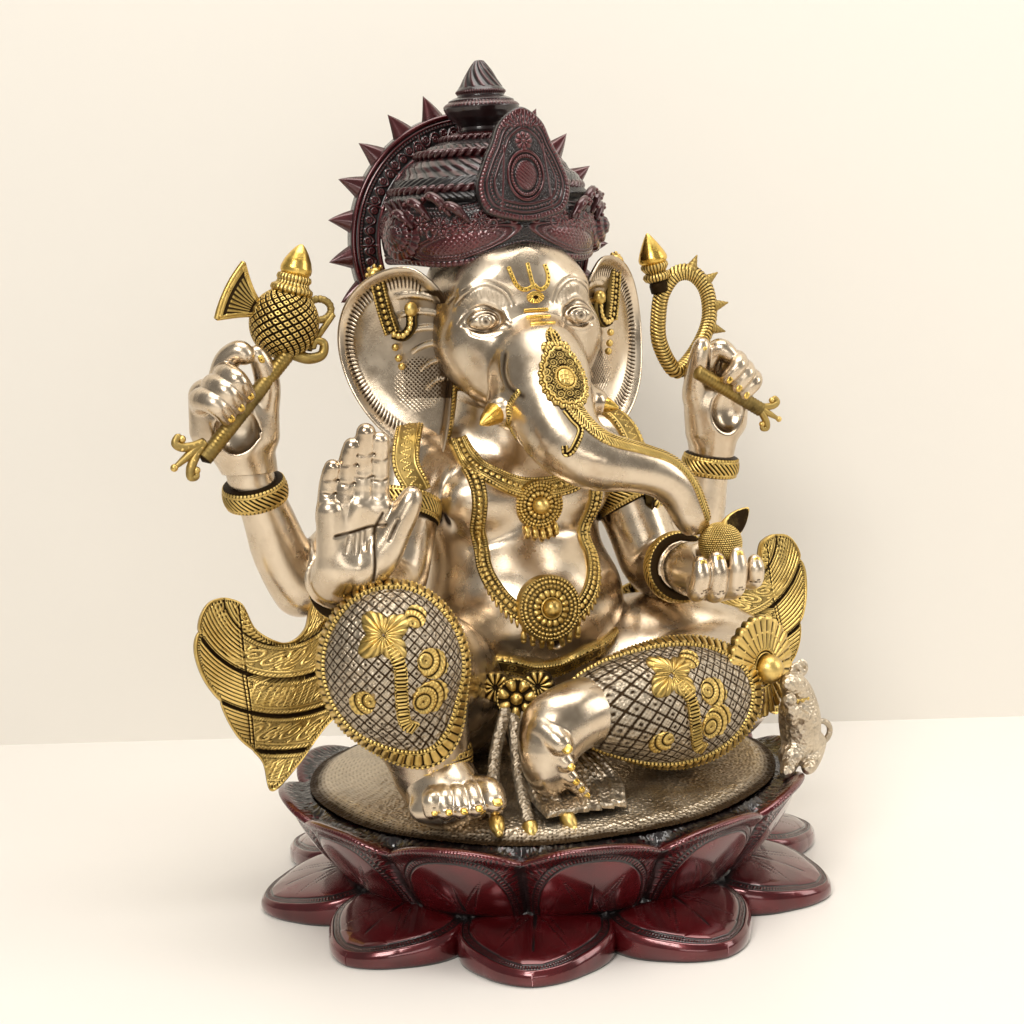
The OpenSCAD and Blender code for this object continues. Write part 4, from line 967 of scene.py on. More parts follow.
def seat():
    n_a, n_r = 1500, 190
    a = np.arange(n_a) / n_a * 2 * PI
    rad = np.linspace(3, SEAT_R, n_r)
    RR, AA = np.meshgrid(rad, a, indexing="xy")
    z = SEAT_Z - 1 - 4.0 * (RR / SEAT_R) ** 2 - 4.5 * sstep(0.90, 1.0, RR / SEAT_R)
    z += 0.9 * np.sin(RR * 0.11 + 2 * np.sin(AA * 3)) + 0.7 * np.sin(AA * 9 + RR * 0.05)
    x, y = RR * np.sin(AA), -RR * np.cos(AA)
    # pebbled with small punched dimples
    ring = np.floor(RR / 2.7)
    cnt = np.maximum(np.round(2 * PI * (ring + 0.5) * 2.7 / 2.9), 3)
    cell = AA / (2 * PI) * cnt + 0.37 * ring
    dm = ((RR / 2.7) % 1 - 0.5) ** 2 + ((cell % 1) - 0.5) ** 2
    dim = np.exp(-dm / 0.05) * (0.6 + 0.4 * np.sin(ring * 3.1 + np.floor(cell) * 1.7))
    z = z - 0.75 * dim
    # painted shade at the rim where the seat dips under the petals; the dimples get dark patina plus painted shade
    dark = sstep(0.91, 1.0, RR / SEAT_R) * 0.8
    v = np.stack([x, y, z], -1).reshape(-1, 3)
    f = orient(v, grid_faces(n_a, n_r, wrap_i=True), np.broadcast_to(A(0, 0, 1), v.shape))
    make("seat_skin", v, f, SILVER_ROUGH, cav=(dim * 0.75 + dark).ravel(),
         slot="silvered_brass", replaces=("seat_mound",), rounds=3, scale=0.5, closed_mesh=False)


lower_petals()
upper_petals()
drum()
seat()
for part in ("base_drum",):
    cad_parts[part].data.materials.clear()
    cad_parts[part].data.materials.append(LACQUER_DARK)
for part in ("tie_nut", "tie_stud"):
    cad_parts[part].data.materials.clear()
    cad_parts[part].data.materials.append(STEEL)

# ------------------------------------------------------------------ the figure: torso with all four arms
# wrists of the rear arms: x, y, z and radius
R_WR_R, R_WR_L = (-193, 52, 310, 15.0), (178, 56, 297, 14.5)


def body_clay():
    c = Clay((-222, -58, 86), (206, 132, 372), 1.5)
    c.ell((0, 50, 140), (80, 70, 62), 0)
    c.ell((0, 30, 206), (79, 70, 62), 18)
    c.ell((0, 12, 204), (66, 60, 50), 14)
    c.ell((0, 46, 272), (70, 54, 52), 26)
    for s in (-1, 1):
        c.ell((s * 33, 6, 289), (33, 22, 24), 16)           # chest
        c.ell((s * 58, 46, 312), (36, 34, 30), 16)          # shoulder mass
        c.cone((s * 72, 38, 318, 27), (s * 82, 34, 300, 25), 12)
    c.chain([(0, 48, 318, 48), (0, 44, 352, 40)], 16)
    # rear arms
    for s, wr in ((-1, R_WR_R), (1, R_WR_L)):
        c.chain([(s * 66, 52, 314, 26), (s * 100, 58, 280, 24), (s * 134, 63, 246, 22),
                 (s * 158, 67, 228, 21)], 8, n=3)
        w = A(*wr)
        e = A(s * 160, 68, 226, 21)
        up = unit(w[:3] - e[:3])
        c.chain([e, (e * 0.62 + w * 0.38) + A(s * 2, 0, 0, 0.8), e * 0.3 + w * 0.7, w,
                 np.append(w[:3] + up * 14, w[3] - 1)], 5, n=3)
    # front right arm
    c.chain([(-80, 34, 314, 26), (-90, 22, 284, 23.5), (-99, 9, 256, 21.5), (-108, 0, 236, 20.5),
             (-128, -20, 240, 18.5),
             (-150, -44, 247, 17), (-168, -62, 252, 15), (-171, -68, 259, 14.5)], 7, n=3)
    c.chain([(80, 34, 314, 26), (88, 24, 284, 23.5), (95, 13, 250, 22), (101, 3, 225, 21),
             (100, -22, 226, 18.5),
             (97, -44, 230, 17), (95, -62, 234, 16), (96, -72, 234, 15.5)], 7, n=3)
    # navel, crease under the chest and over the belly
    c.ell((0, -48, 186), (4.5, 8, 5.5), 3, "cut")
    c.line(spline([(-62, 0, 255), (-34, -30, 249), (0, -40, 247), (34, -30, 249), (62, 0, 255)], 5), 3.2, 1.3)
    c.line(spline([(-70, -8, 168), (-40, -34, 160), (0, -44, 158), (40, -34, 160), (70, -8, 168)], 5), 4.0,
           1.6)
    for s in (-1, 1):
        c.line(spline([(s * 56, 12, 300), (s * 60, 6, 282), (s * 66, 12, 262)], 4), 3.0, 1.6)    # armpit fold
    return c.bake()


BODY = body_clay()


def leg_clay():
    c = Clay((-190, -136, 84), (190, 66, 252), 1.5)
    # right: thigh to the raised knee, shin, heel
    c.chain([(-50, 44, 136, 50), (-92, -20, 164, 49), (-134, -80, 194, 47)], 10, n=2)
    c.ell((-136, -86, 198), (47, 44, 54), 10)
    c.chain([(-134, -84, 178, 40), (-120, -84, 152, 29), (-113, -83, 128, 23.5), (-112, -80, 112, 21)], 10,
            n=3)
    # left: thigh out to the knee, shin folded back to the middle
    c.chain([(56, 34, 140, 52), (100, 4, 150, 52), (136, -28, 150, 44)], 10, n=2)
    c.ell((146, -34, 148), (38, 38, 38), 10)
    c.chain([(136, -44, 142, 38), (96, -72, 141, 42), (64, -88, 143, 41), (32, -100, 148, 31),
             (2, -108, 152, 22)], 10, n=3)
    return c


LEGS = leg_clay()
BODY.mesh("torso_and_arms", SILVER, slot="silvered_brass", scale=0.9,
          replaces=("torso", "rear_arm_right", "rear_arm_left", "front_arm_right", "front_arm_left"))
LEGS.mesh("legs", SILVER, slot="silvered_brass", scale=0.9,
          replaces=("thigh_right", "shin_right", "thigh_left", "shin_left"))

# ------------------------------------------------------------------ head, trunk and ears
TRUNK = A((0, -30, 386, 33), (-1, -50, 362, 29), (2, -69, 338, 23.5), (18, -84, 322, 18.5),
          (45, -90, 315, 14.5),
          (66, -92, 307, 12.5), (80, -91, 292, 11), (90, -90, 271, 10))


def head_clay():
    c = Clay((-82, -124, 252), (112, 108, 492), 0.85)
    c.cone((0, 40, 424, 60), (0, 34, 400, 56), 0)
    c.ell((0, 0, 442), (46, 30, 34), 16)
    for s in (-1, 1):
        c.cone((s * 24, 7, 404, 36), (s * 16, -2, 384, 33), 10)
        c.cone((s * 24, 6, 404, 35), (0, 28, 432, 54), 12)
        c.ell((s * 34, -6, 440), (16, 14, 12), 10)
    c.cone((0, 2, 398, 40), (0, -30, 384, 32), 12)
    t = spline(TRUNK, 5)
    for a, b in zip(t[:-1], t[1:]):
        c.cone(a, b, 7)
    # open tip of the trunk
    c.cone((89.3, -90, 276, 4.5), (91.5, -90, 260, 7.0), 1.2, "cut")
    # mouth and cheeks under the trunk
    c.cone((-20, -26, 356, 15), (20, -26, 356, 15), 10)
    for s in (-1, 1):
        # sockets of the tusks
        c.cone((s * 25, -38, 364, 11.5), (s * 36, -47, 358, 10.0), 6)
        # eye socket, ball and lids
        y = c.front(s * 36, 420)
        c.ell((s * 36, y + 1.0, 420), (14, 6.5, 8.5), 5, "cut")
        c.ell((s * 36, y + 5.0, 419.5), (11.5, 7.5, 7.5), 1.5)
    for s in (-1, 1):
        def on(pts, n=6):
            P = spline([(s * x, c.front(s * x, z) or 0, z) for x, z in pts], n)
            return P
        up = on([(22, 414.5), (27, 421), (36, 425.5), (45, 422), (50.5, 416.5)])
        lo = on([(22, 414.5), (29, 413), (37, 412.5), (45, 414.5), (50.5, 416.5)])
        up2 = on([(20, 417.5), (27, 425.5), (36, 430), (46, 426), (53, 418)])
        lo2 = on([(26, 411), (33, 408.5), (40, 408.5), (46, 411)])
        for L, w, d in ((up, 0.95, 1.5), (lo, 0.9, 1.3), (up2, 0.8, 1.1), (lo2, 0.7, 0.8)):
            c.line(L, w, d)
        # iris
        ring = [(36 + 4.6 * math.cos(q), 418.8 + 4.6 * math.sin(q)) for q in np.linspace(0, 2 * PI, 15)]
        c.line([(s * x, (c.front(s * x, z) or 0), z) for x, z in ring], 0.6, 0.9)
        c.line([(s * 36, c.front(s * 36, 418.8), 418.8), (s * 36.6, c.front(s * 36.6, 419.2), 419.2)], 1.3,
               1.3)
        # brow arcs with a fan of short strokes below them
        b1 = on([(14, 430), (20, 441), (33, 447.5), (45, 443), (54, 433)])
        b2 = on([(17.5, 429.5), (22.5, 438), (33, 443.8), (43.5, 440), (51.5, 431)])
        c.line(b1, 0.75, 1.1)
        c.line(b2, 0.75, 1.1)
        for q in np.linspace(0, 1, 26):
            i = q * (len(b2) - 1)
            a = b2[int(i)]
            e = A(s * 35, a[1], 424)
            d = unit(e - a)
            p0, p1 = a + d * 1.2, a + d * (7.0 + 1.5 * math.sin(q * PI))
            c.line(A(*[(p[0], c.front(p[0], p[2]) or p[1], p[2]) for p in (p0, (p0 + p1) / 2, p1)]), 0.5,
                   0.75)
        # temple strokes beside the crown
        for q in range(6):
            x = 57.5 + q * 1.2
            c.line([(s * x, 8 + q * 2.2, z) for z in (452, 445, 438 - q % 2 * 2)], 0.55, 0.8)
        # fold from the cheek to the mouth
        c.line(on([(30, 396), (33, 384), (32, 374), (27, 368)]), 2.4, 0.9)
    # faint rings round the trunk: the loop below is left empty and makes none
    for i in range(6, len(t) - 4, 3):
        pass
    return c.bake()


HEAD = head_clay()
# weaker patina and painted shade in the face's lines
HEAD.groove_patina_and_shade = 0.95
HEAD.mesh("head_and_trunk", SILVER, slot="silvered_brass", scale=1.1, replaces=("head", "trunk"))


def face_gold():
    c = HEAD
    P = Parts()
    fr = lambda x, z: (x, c.front(x, z) if c.front(x, z) is not None else -20, z)
    # trident mark: two prongs curving into a bowl, and a middle bar
    dots = lambda s, w: 0.75 * bump(w, 1.8) - 0.55 * beadrow(s, w, 3.0, 0.75)
    left = spline([fr(x, z) for x, z in ((-16.5, 456.5), (-15, 450), (-12.5, 443.5), (-8, 440), (-3, 440.5),
                                         (0.5, 443.0))], 8)
    right = spline([fr(x, z) for x, z in ((10.5, 457), (12, 449), (11, 443), (7, 439.5), (3, 440.2),
                                          (0.5, 443))], 8)
    for L in (left, right):
        strip(P, c, L, 1.9, dots, m=11, step=0.4, base=0.5, amp=0.7, dark=1.2)
    strip(P, c, [fr(x, z) for x, z in ((-2.5, 458.5), (-2.0, 452), (-1.2, 446), (0.5, 440))], 1.8, dots,
          m=11, step=0.4, base=0.5, amp=0.7, dark=1.2)
    # shell below it
    R = frame_of((0, -1, 0.3), (1, 0, 0))
    R = np.stack([R[:, 0], A(0, 0, 1), A(0, -1, 0)], 1)
    y = c.front(1, 434)
    patch(P, c, (1, y, 434), R, 6.5, 4.4, lambda x, y,
          r: bump(((np.arctan2(y - 3, x) * 11 / PI) % 1) - 0.5, 0.42) * (r > 0.3) + 0.0,
          nr=16, na=60, base=0.6, amp=0.8, lift=12)
    # three bars with fine lines
    for z in (425.0, 420.5, 416.0):
        strip(P, c, [fr(x, z) for x in np.linspace(-9, 10, 9)], 1.75, lambda s, w: bump(w, 1.9) * 0.9, m=9,
              step=0.5, base=0.5,
              amp=0.9, dark=1.0)
    P.done("forehead_gold", GOLD, slot="yellow_brass", replaces=("forehead_mark",), rounds=2)

    P = Parts()
    # medallion on the trunk, drop-shaped with a leaf at its top
    cl = spline(TRUNK, 5)
    up = unit(A(0, -28 + 60, 404 - 362))
    nrm = unit(A(0.04, -0.80, 0.46))
    R = np.stack([unit(np.cross(up, nrm)), np.cross(nrm, unit(np.cross(up, nrm))), nrm], 1)
    mid = A(1.0, -66, 372)

    def drop(th):
        return 1.0 + 0.22 * np.clip(np.sin(th), 0, 1) ** 6 + 0.03 * np.cos(th * 22)

    def medal(x, y, r):
        th = np.arctan2(y / 1.35, x)
        h = 0.9 * bump((r - 0.92) * 18, 1.3) * (0.45 + 0.55 * np.abs(np.sin(th * 30)))
        h = np.maximum(h, 0.8 * bump((r - 0.80) * 18, 0.9))
        h = np.maximum(h, 0.55 * scrolls(x, y, 6.0, 0.75) * (r < 0.76) * (r > 0.36))
        rc = np.hypot(x, y * 0.85)
        h = np.maximum(h, 0.95 * bump(rc - 6.8, 1.0) * (0.6 + 0.4 * np.abs(np.sin(th * 12))))
        h = np.maximum(h, (rc < 5.6) * (0.55 + 0.6 * bump(rc, 5.6) * (0.7 + 0.3 * np.maximum(bump(((x / 3.0) % 1 - 0.5) * 3, 0.8), bump(((y / 3.4) % 1 - 0.5) * 3.4, 0.8)))))
        return h
    patch(P, c, mid, R, 17.5, 24.0, medal, amp=2.4, base=1.2, nr=70, na=200, shape=drop, lift=26)
    patch(P, c, mid + up * 31 + A(0, 3, 0), R, 5.4, 9.0, lambda x, y,
          r: 0.9 * bump(np.abs(x) - 2.0 * (1 - r), 0.9) + 0.5 * bump(r - 0.85, 0.12) + 0.5 * herring(y, x,
                                                                3, 0.9),
          amp=1.4, base=0.8, nr=30, na=70, lift=22)
    for s in (-1, 1):
        patch(P, c, mid + up * 25 + R[:, 0] * s * 6.5 + A(0, 1, 0), R, 4.2, 5.0, lambda x, y,
              r: flower(x, y, 4.4, 6), amp=1.2, nr=20, na=50, lift=22)
    # herringbone strip over the outer curve of the trunk, down to the tip
    tn = np.gradient(cl[:, :3], axis=0)
    sel = np.arange(9, len(cl))
    out = []
    for i in sel:
        t = unit(tn[i])
        o = unit(A(0.10, -0.62, 0.78) - t * (t @ A(0.10, -0.62, 0.78)))
        out.append(cl[i, :3] + o * cl[i, 3])
    out = np.array(out)
    wd = lambda q: 7.2 - 3.4 * q

    def her(s, w):
        h = 0.85 * herring(s, w, 2.3, 0.85) * (np.abs(w) < 4.6)
        h = np.maximum(h, 0.7 * bump(w, 0.7))
        return np.maximum(h, 0.9 * beadrow(s, np.abs(w) - 5.2, 1.9, 0.95))
    strip(P, c, out, wd, her, m=27, step=0.45, base=0.6, amp=1.1)
    # chain of beads hanging from the medallion and curling at its end
    b0 = mid - R[:, 1] * 22 - R[:, 0] * 3
    path = spline([b0, b0 - R[:, 1] * 8 + R[:, 0] * 3, b0 - R[:, 1] * 17 + R[:, 0] * 7,
                   b0 - R[:, 1] * 25 + R[:, 0] * 4,
                   b0 - R[:, 1] * 27 - R[:, 0] * 1.5, b0 - R[:, 1] * 22 - R[:, 0] * 1], 8)
    strip(P, c, path, 2.9, lambda s, w: np.maximum(0.9 * beadrow(s, w - 1.3, 2.2, 1.1),
                                                   0.8 * bump(w + 1.6,
                                                              0.8)), m=13, step=0.4, base=0.7, amp=1.3)
    # beaded seam at the corner of the mouth
    seam = spline([(-16, -58, 369), (-22, -55, 362), (-26.5, -50, 354), (-27, -48, 344), (-24, -50, 337)], 8)
    strip(P, c, seam, 2.6, lambda s, w: 0.9 * herring(s, w, 1.9, 0.75, 0.3), m=11, step=0.4, base=0.7,
          amp=1.0)
    P.done("trunk_gold", GOLD_DARK, slot="yellow_brass", replaces=("trunk_plate",), rounds=2)

    for s, nm, L in ((-1, "right", 44.0), (1, "left", 33.0)):
        P = Parts()
        prof = fine([(0, -4), (8.6, -4), (9.4, 2), (9.4, 4.5), (8.4, 5.2), (9.0, 7.0), (9.0, 8.6),
                     (7.9, 9.6), (8.3, 12), (8.4, 0.42 * L),
                     (7.5, 0.55 * L), (5.0, 0.78 * L), (2.4, 0.93 * L), (0.9, L), (0, L)], 0.8)
        lathe(P, (s * 26, -36, 361), (s * 28, -26, -9), prof, n=64,
              rel=lambda th, z, r: 0.35 * (np.abs(z - 3) < 1.8) * np.sin(th * 26), cav=lambda H: np.clip(0.0 * H + np.where(np.abs(np.broadcast_to(prof[:, 1], H.shape) - 8) < 3.5, 0.6, 0.0), 0, 1))
        P.done("tusk_gold_" + nm, GOLD, slot="yellow_brass", replaces=("tusk_" + nm,), rounds=2)


face_gold()


def ear(s):
    """Fan ear: outline in its own plane, dished, with a rolled rim, folds and engraved strokes."""
    nm = "right" if s < 0 else "left"
    out = closed([(-6, 20), (12, 46), (32, 52), (58, 43), (76, 24), (82, -2), (74, -32), (54, -62),
                  (26, -84), (10, -90), (2, -72), (-4, -30)], 16)
    O = A(-54, 12, 408)
    ang = math.radians(149)
    ex, ey, ez = A(math.cos(ang), math.sin(ang), 0), A(0, 0, 1), A(math.sin(ang), -math.cos(ang), 0)
    back = ez                     # points backwards
    cen = A(34, -12)
    n_r, n_t = 90, len(out) * 2
    o2 = even(np.column_stack([np.vstack([out, out[:1]]), np.zeros(len(out) + 1)]), 1.2)[:-1, :2]
    n_t = len(o2)
    rr = np.concatenate([np.linspace(0.01, 0.97, n_r), [0.985, 1.0]])
    XY = cen + (o2 - cen)[None] * rr[:, None, None]
    x, y = XY[..., 0], XY[..., 1]
    R1 = rr[:, None] + 0 * x
    th = np.arctan2(y - cen[1], x - cen[0])

    def f0(x, y, R1, th):
        d = 7.5 * (1 - R1 ** 2.2)                                    # dish, deeper in the middle (to the back)
        d = d + 0.0022 * np.clip(x - 30, 0, 99) ** 2 - 3.5 * sstep(0.86, 1.0, R1) + 5 * sstep(0.55, 1.0,
            R1) * (np.sin(th * 2 + 0.6)) * 0.6
        return d
    d = f0(x, y, R1, th)
    # rim roll, folds near the head, engraved strokes round the edge
    h = 1.9 * bump((R1 - 0.93) * 40, 3.0)
    fold = np.zeros_like(x)
    for k, (x0, y0, x1, y1, wv) in enumerate(((2, 26, 40, 30, 2.6), (2, 16, 38, 16, 2.4),
                                              (0, 6, 36, 2, 2.4), (0, -4, 30, -12, 2.2), (0, -16, 24, -26,
                                                                2.0), (0, -30, 20, -40, 2.0))):
        L = math.hypot(x1 - x0, y1 - y0)
        ux, uy = (x1 - x0) / L, (y1 - y0) / L
        q = (x - x0) * ux + (y - y0) * uy
        v = -(x - x0) * uy + (y - y0) * ux - 3 * np.sin(PI * np.clip(q / L, 0, 1))
        fold = np.maximum(fold, bump(v, wv) * sstep(-2, 3, q) * (1 - sstep(L - 10, L, q)))
    h = h + 1.7 * fold
    arc = np.broadcast_to(np.arange(n_t)[None] * 1.2, x.shape)
    tick = (np.sin(arc * 2 * PI / 3.6) > 0.35) * sstep(0.74, 0.78,
                                                       R1) * (1 - sstep(0.885, 0.90, R1)) * (x > 16)
    h = h - 0.8 * tick
    dots = (np.sin(x * 1.9) * np.sin(y * 1.9) > 0.25) * sstep(22, 16, np.hypot(x - 22, y + 34)) * 0.5
    h = h - 0.7 * dots * (1 - fold)
    # cav: engraved ticks and dots darker (dark patina plus painted shade); painted shade on the inner side next to the
    # head, in the groove inside the rim and between the folds
    cav = np.clip(tick * 1.0 + dots * 1.2 + 0.55 * sstep(12, -2, x) + 0.35 * (bump((R1 - 0.85) * 40, 1.6)) + 0.5 * np.clip(bump(x - 10, 30) * (1 - fold) * (x < 34), 0, 1) * (fold < 0.2) * (y < 34) * (y > -44), 0, 1)
    front = O + x[..., None] * ex + y[..., None] * ey + (d - h)[..., None] * back
    rear = O + x[..., None] * ex + y[..., None] * ey + (d + 4.2 - 2.4 * sstep(0.8, 1, R1))[..., None] * back
    k = len(rr)
    V = np.concatenate([front.reshape(-1, 3), rear.reshape(-1, 3)])
    F1 = grid_faces(k, n_t, wrap_j=True)
    F1 = orient(V, F1, np.broadcast_to(-back, V.shape))
    F2 = grid_faces(k, n_t, wrap_j=True) + k * n_t
    F2 = orient(V, F2, np.broadcast_to(back, V.shape))
    e0, e1 = (k - 1) * n_t + np.arange(n_t), k * n_t + (k - 1) * n_t + np.arange(n_t)
    F3 = np.stack([e0, np.roll(e0, -1), np.roll(e1, -1), e1], 1)
    g = np.cross(V[F3[:, 1]] - V[F3[:, 0]], V[F3[:, 2]] - V[F3[:, 0]])
    cc = O + cen[0] * ex + cen[1] * ey
    if (g * (V[F3[:, 0]] - cc)).sum() < 0:
        F3 = F3[:, ::-1]
    # back of the ear painted darker (cav 0.25) as shade
    C = np.concatenate([cav.ravel(), np.full(k * n_t, 0.25)])
    F = np.vstack([F1, F2, F3])
    if s > 0:
        V = V * A(-1, 1, 1)
        F = F[:, ::-1]
    make("ear_shell_" + nm, V, F, SILVER, cav=C, slot="silvered_brass", replaces=("ear_" + nm,), rounds=3,
         scale=0.8, closed_mesh=False)

    # gold: jewel bar with beads, beaded inner edge, bud at the top
    P = Parts()
    place = lambda X, Y, Z=0.0: (O + X * ex + Y * ey + (float(f0(A(X), A(Y), A(0.5),
        A(0.0))[0]) - 2.5 - Z) * back)
    bar = [(49, 44), (47, 32), (44, 18), (40, 4)]
    pts = np.array([place(a, b, 0.8) for a, b in spline(bar, 8)])
    strip(P, None, pts, 6.0, lambda s_, w: np.maximum(np.maximum(0.95 * beadrow(s_, np.abs(w) - 4.2, 2.3,
        1.2), 0.8 * beadrow(s_, w, 4.4, 1.9)), 0.4 * bump(np.abs(w) - 2.3, 0.5)),
          m=23, step=0.45, lay=False, nrm=-back, amp=2.0, base=1.4, back=2.4)
    br = [(40, 4), (32, 2), (26, 8), (25, 18)]
    pts = np.array([place(a, b, 0.8) for a, b in spline(br, 8)])
    strip(P, None, pts, 4.0, lambda s_, w: 0.95 * beadrow(s_, w, 3.6, 2.4), m=15, step=0.45, lay=False,
          nrm=-back, amp=2.2, base=1.2, back=2.4)
    P.ball(place(24.5, 21, 2), (5.0, 4.2, 5.6), 10)
    P.ball(place(49, 47, 1.5), (6.4, 4.0, 5.4), 10)
    for q in np.linspace(0, 2 * PI, 10)[:-1]:
        P.ball(place(49 + 7.2 * math.cos(q), 47 + 6.2 * math.sin(q), 1.0), 1.7, 6)
    for (a, b) in ((38, -6), (36, -14), (34, -20)):
        P.ball(place(a, b, 1.2), 2.8, 8)
    # beaded edge along the inner side, next to the cheek
    edge_line = [(-3, 14), (-4, -8), (-3, -30), (0, -52), (4, -70), (10, -86), (22, -86)]
    pts = np.array([place(a, b, -3.5) for a, b in spline(edge_line, 10)])
    strip(P, None, pts, 3.0, lambda s_, w: 0.95 * rope(s_, w, 2.6, 2.6), m=13, step=0.5, lay=False,
          nrm=-back, amp=2.2, base=1.0, back=3.0)
    if s > 0:
        P.v = [q * A(-1, 1, 1) for q in P.v]
        P.f = [q[:, ::-1] for q in P.f]
    P.done("ear_gold_" + nm, GOLD_DARK, slot="yellow_brass", replaces=("ear_jewel_" + nm,), rounds=2)


ear(-1)
ear(1)

# ------------------------------------------------------------------ crown, crest, finial and halo
CY, CR = 60.0, 79.0


def crown():
    P = Parts()
    n, m = 900, 150
    a = np.arange(n) / n * 2 * PI              # 0 at the front, rising towards the figure's left
    v = np.linspace(0, 1, m)
    V, AA = np.meshgrid(v, a, indexing="xy")
    f = ((AA + PI) % (2 * PI)) - PI
    fa = np.abs(f)
    # lower edge: two brow lobes that meet over the middle of the forehead
    low = 461 + 6.5 * np.exp(-(fa / 0.28) ** 2) - 3.5 * np.exp(-((fa - 0.75) / 0.35) ** 2) + 3 * sstep(1.6,
        2.4, fa)
    topz = 507.0 + 0 * low
    z = low + (topz - low) * V
    r = CR - 3 + 3.5 * np.sin(PI * V) - 4.0 * sstep(0.75, 1, V)
    s = f * CR
    zz = z - low
    h = np.zeros_like(z)
    # rolled scalloped hem
    h = np.maximum(h, 1.5 * bump(zz - 2.4, 2.4) * (0.55 + 0.45 * np.abs(np.sin(s * PI / 4.6))))
    h = np.maximum(h, 0.9 * beadrow(s, zz - 6.3, 2.3, 1.15))
    # almond brow lobes, beaded, with a scale pattern inside
    for sg in (-1, 1):
        c0, half, hh = sg * 0.60 * CR, 34.0, 8.5
        q = (s - c0) / half
        mid = 13.0 + 3.0 * np.cos(np.clip(q, -1, 1) * PI / 2) - 2.5 * (q * sg)
        e = np.sqrt(q ** 2 + ((zz - mid) / hh) ** 2 * (1 + 0.6 * np.abs(q)))
        h = np.maximum(h, 1.9 * np.sqrt(np.clip(1 - e ** 2, 0, 1)) * (0.80 + 0.20 * lattice(s, zz, 4.2, 1.2)))
        th = np.arctan2((zz - mid) / hh, q)
        h = np.maximum(h, 1.7 * bump((e - 1.02) * 9, 1.1) * (0.5 + 0.5 * np.abs(np.sin(th * 34))))
        h = np.maximum(h, 1.2 * bump((e - 1.24) * 9, 0.9))
    # row of rosettes and hanging loops above
    ro = (zz > 21) * (zz < 36)
    per = 15.5
    k = np.round(s / per)
    X, Y = s - k * per, zz - 30.0 - 1.5 * np.cos(k)
    h = np.maximum(h, 1.9 * flower(X, Y, 6.6, 8) * ro)
    h = np.maximum(h, 1.1 * bump(np.hypot(X, Y) - 7.4,
                                 0.9) * ro * (0.5 + 0.5 * np.abs(np.sin(np.arctan2(Y, X) * 9))))
    X2 = s - (np.floor(s / per) + 0.5) * per
    h = np.maximum(h, 1.5 * bump(np.hypot(X2, (zz - 24) * 0.8) - 3.0, 1.1) * (zz > 18) * (zz < 30))
    h = np.maximum(h, 1.0 * rope(s, zz - 38.6, 3.2, 1.5))
    h = np.maximum(h, 1.0 * beadrow(s, zz - 42.0, 2.4, 1.2))
    h = np.maximum(h, 0.55 * scrolls(s, zz, 6.2, 0.8) * (zz > 8) * (zz < 38) * (h < 0.5))
    r = r + h * 1.15
    # cav: low ground of the relief darker, dark patina plus painted shade
    cav = np.clip(0.75 - h * 0.55, 0, 1)
    x, y = r * np.sin(f), CY - r * np.cos(f)
    inner = [(CR - 7, low[:, 0] + 1.0), (56.0, low[:, 0] + 2.0), (56.0, topz[:, 0])]
    Xs = np.column_stack([q0 * np.sin(a) for q0, q1 in inner[::-1]] + [x])
    Ys = np.column_stack([CY - q0 * np.cos(a) for q0, q1 in inner[::-1]] + [y])
    Zs = np.column_stack([q1 for q0, q1 in inner[::-1]] + [z])
    # inside of the band painted dark (cav 0.8) as shade
    Cs = np.column_stack([np.full((n, 3), 0.8), cav])
    vv = np.stack([Xs, Ys, Zs], -1).reshape(-1, 3)
    ff = grid_faces(n, Xs.shape[1], wrap_i=True, wrap_j=True)
    b, c, d, e = (vv[ff[:, i]] - A(0, CY, 480) for i in range(4))
    if (b * np.cross(c, d)).sum() + (b * np.cross(d, e)).sum() < 0:
        ff = ff[:, ::-1]
    P.put(vv, ff, Cs.ravel())
    # side buds with fanned petals
    for sg in (-1, 1):
        c0 = A(sg * 74, 34, 482)
        ax = unit(A(sg * 0.86, -0.50, 0.08))
        lathe(P, c0, ax, fine([(0, -4), (17, -4), (18.5, 0), (17.5, 3), (14, 4.5), (12, 5), (11, 8),
                               (8, 9.5), (6.5, 9.6), (5, 12), (0, 13.5)], 0.8), n=120,
              rel=lambda th, z, r: 0.9 * np.abs(np.cos(th * 9)) * (r > 9) + 0.5 * np.abs(np.cos(th * 5)) * (r < 9))
        for q in range(7):
            up = unit(A(-sg * 0.3 + sg * 0.18 * (q - 3), 0.35 * (q - 3) * 0.3, 1.0))
            P.tube(spline([c0 + up * 8, c0 + up * 20 + ax * 3, c0 + up * 27 + ax * 7 + A(0, 0, -1.5)], 5),
                   np.linspace(3.6, 1.4, 11), 8, cav=0.3)
    P.done("crown_relief", LACQUER_DARK, slot="cherry_lacquer", replaces=("crown_band",), rounds=3, scale=0.6)

    # turban with twisted folds
    P = Parts()
    prof = fine([(54, 503), (75, 503.5), (77, 507), (73, 511), (70, 512), (71.5, 516), (69, 521),
                 (64, 524.5), (62, 526), (60, 530), (55, 534), (50, 536.5), (47, 538),
                 (46, 541), (40, 546), (33, 549), (25, 551), (10, 551.5), (0, 551.5)], 0.8)

    def folds(th, z, r):
        h = 1.5 * np.abs(np.sin(th * 20 + z * 0.55)) ** 0.7 * (z > 522) * (z < 546)
        h += 1.1 * np.abs(np.sin(th * 46 + z * 0.9)) * (z > 505) * (z < 512)
        h += 1.0 * np.abs(np.sin(th * 30 - z * 0.8)) * (z > 512) * (z < 522)
        return h - 0.5
    # cav: low ground between the folds darker, dark patina plus painted shade
    lathe(P, (0, CY, 0), (0, 0, 1), prof, n=720, rel=folds, cav=lambda H: np.clip(0.75 - 0.5 * H, 0, 1))
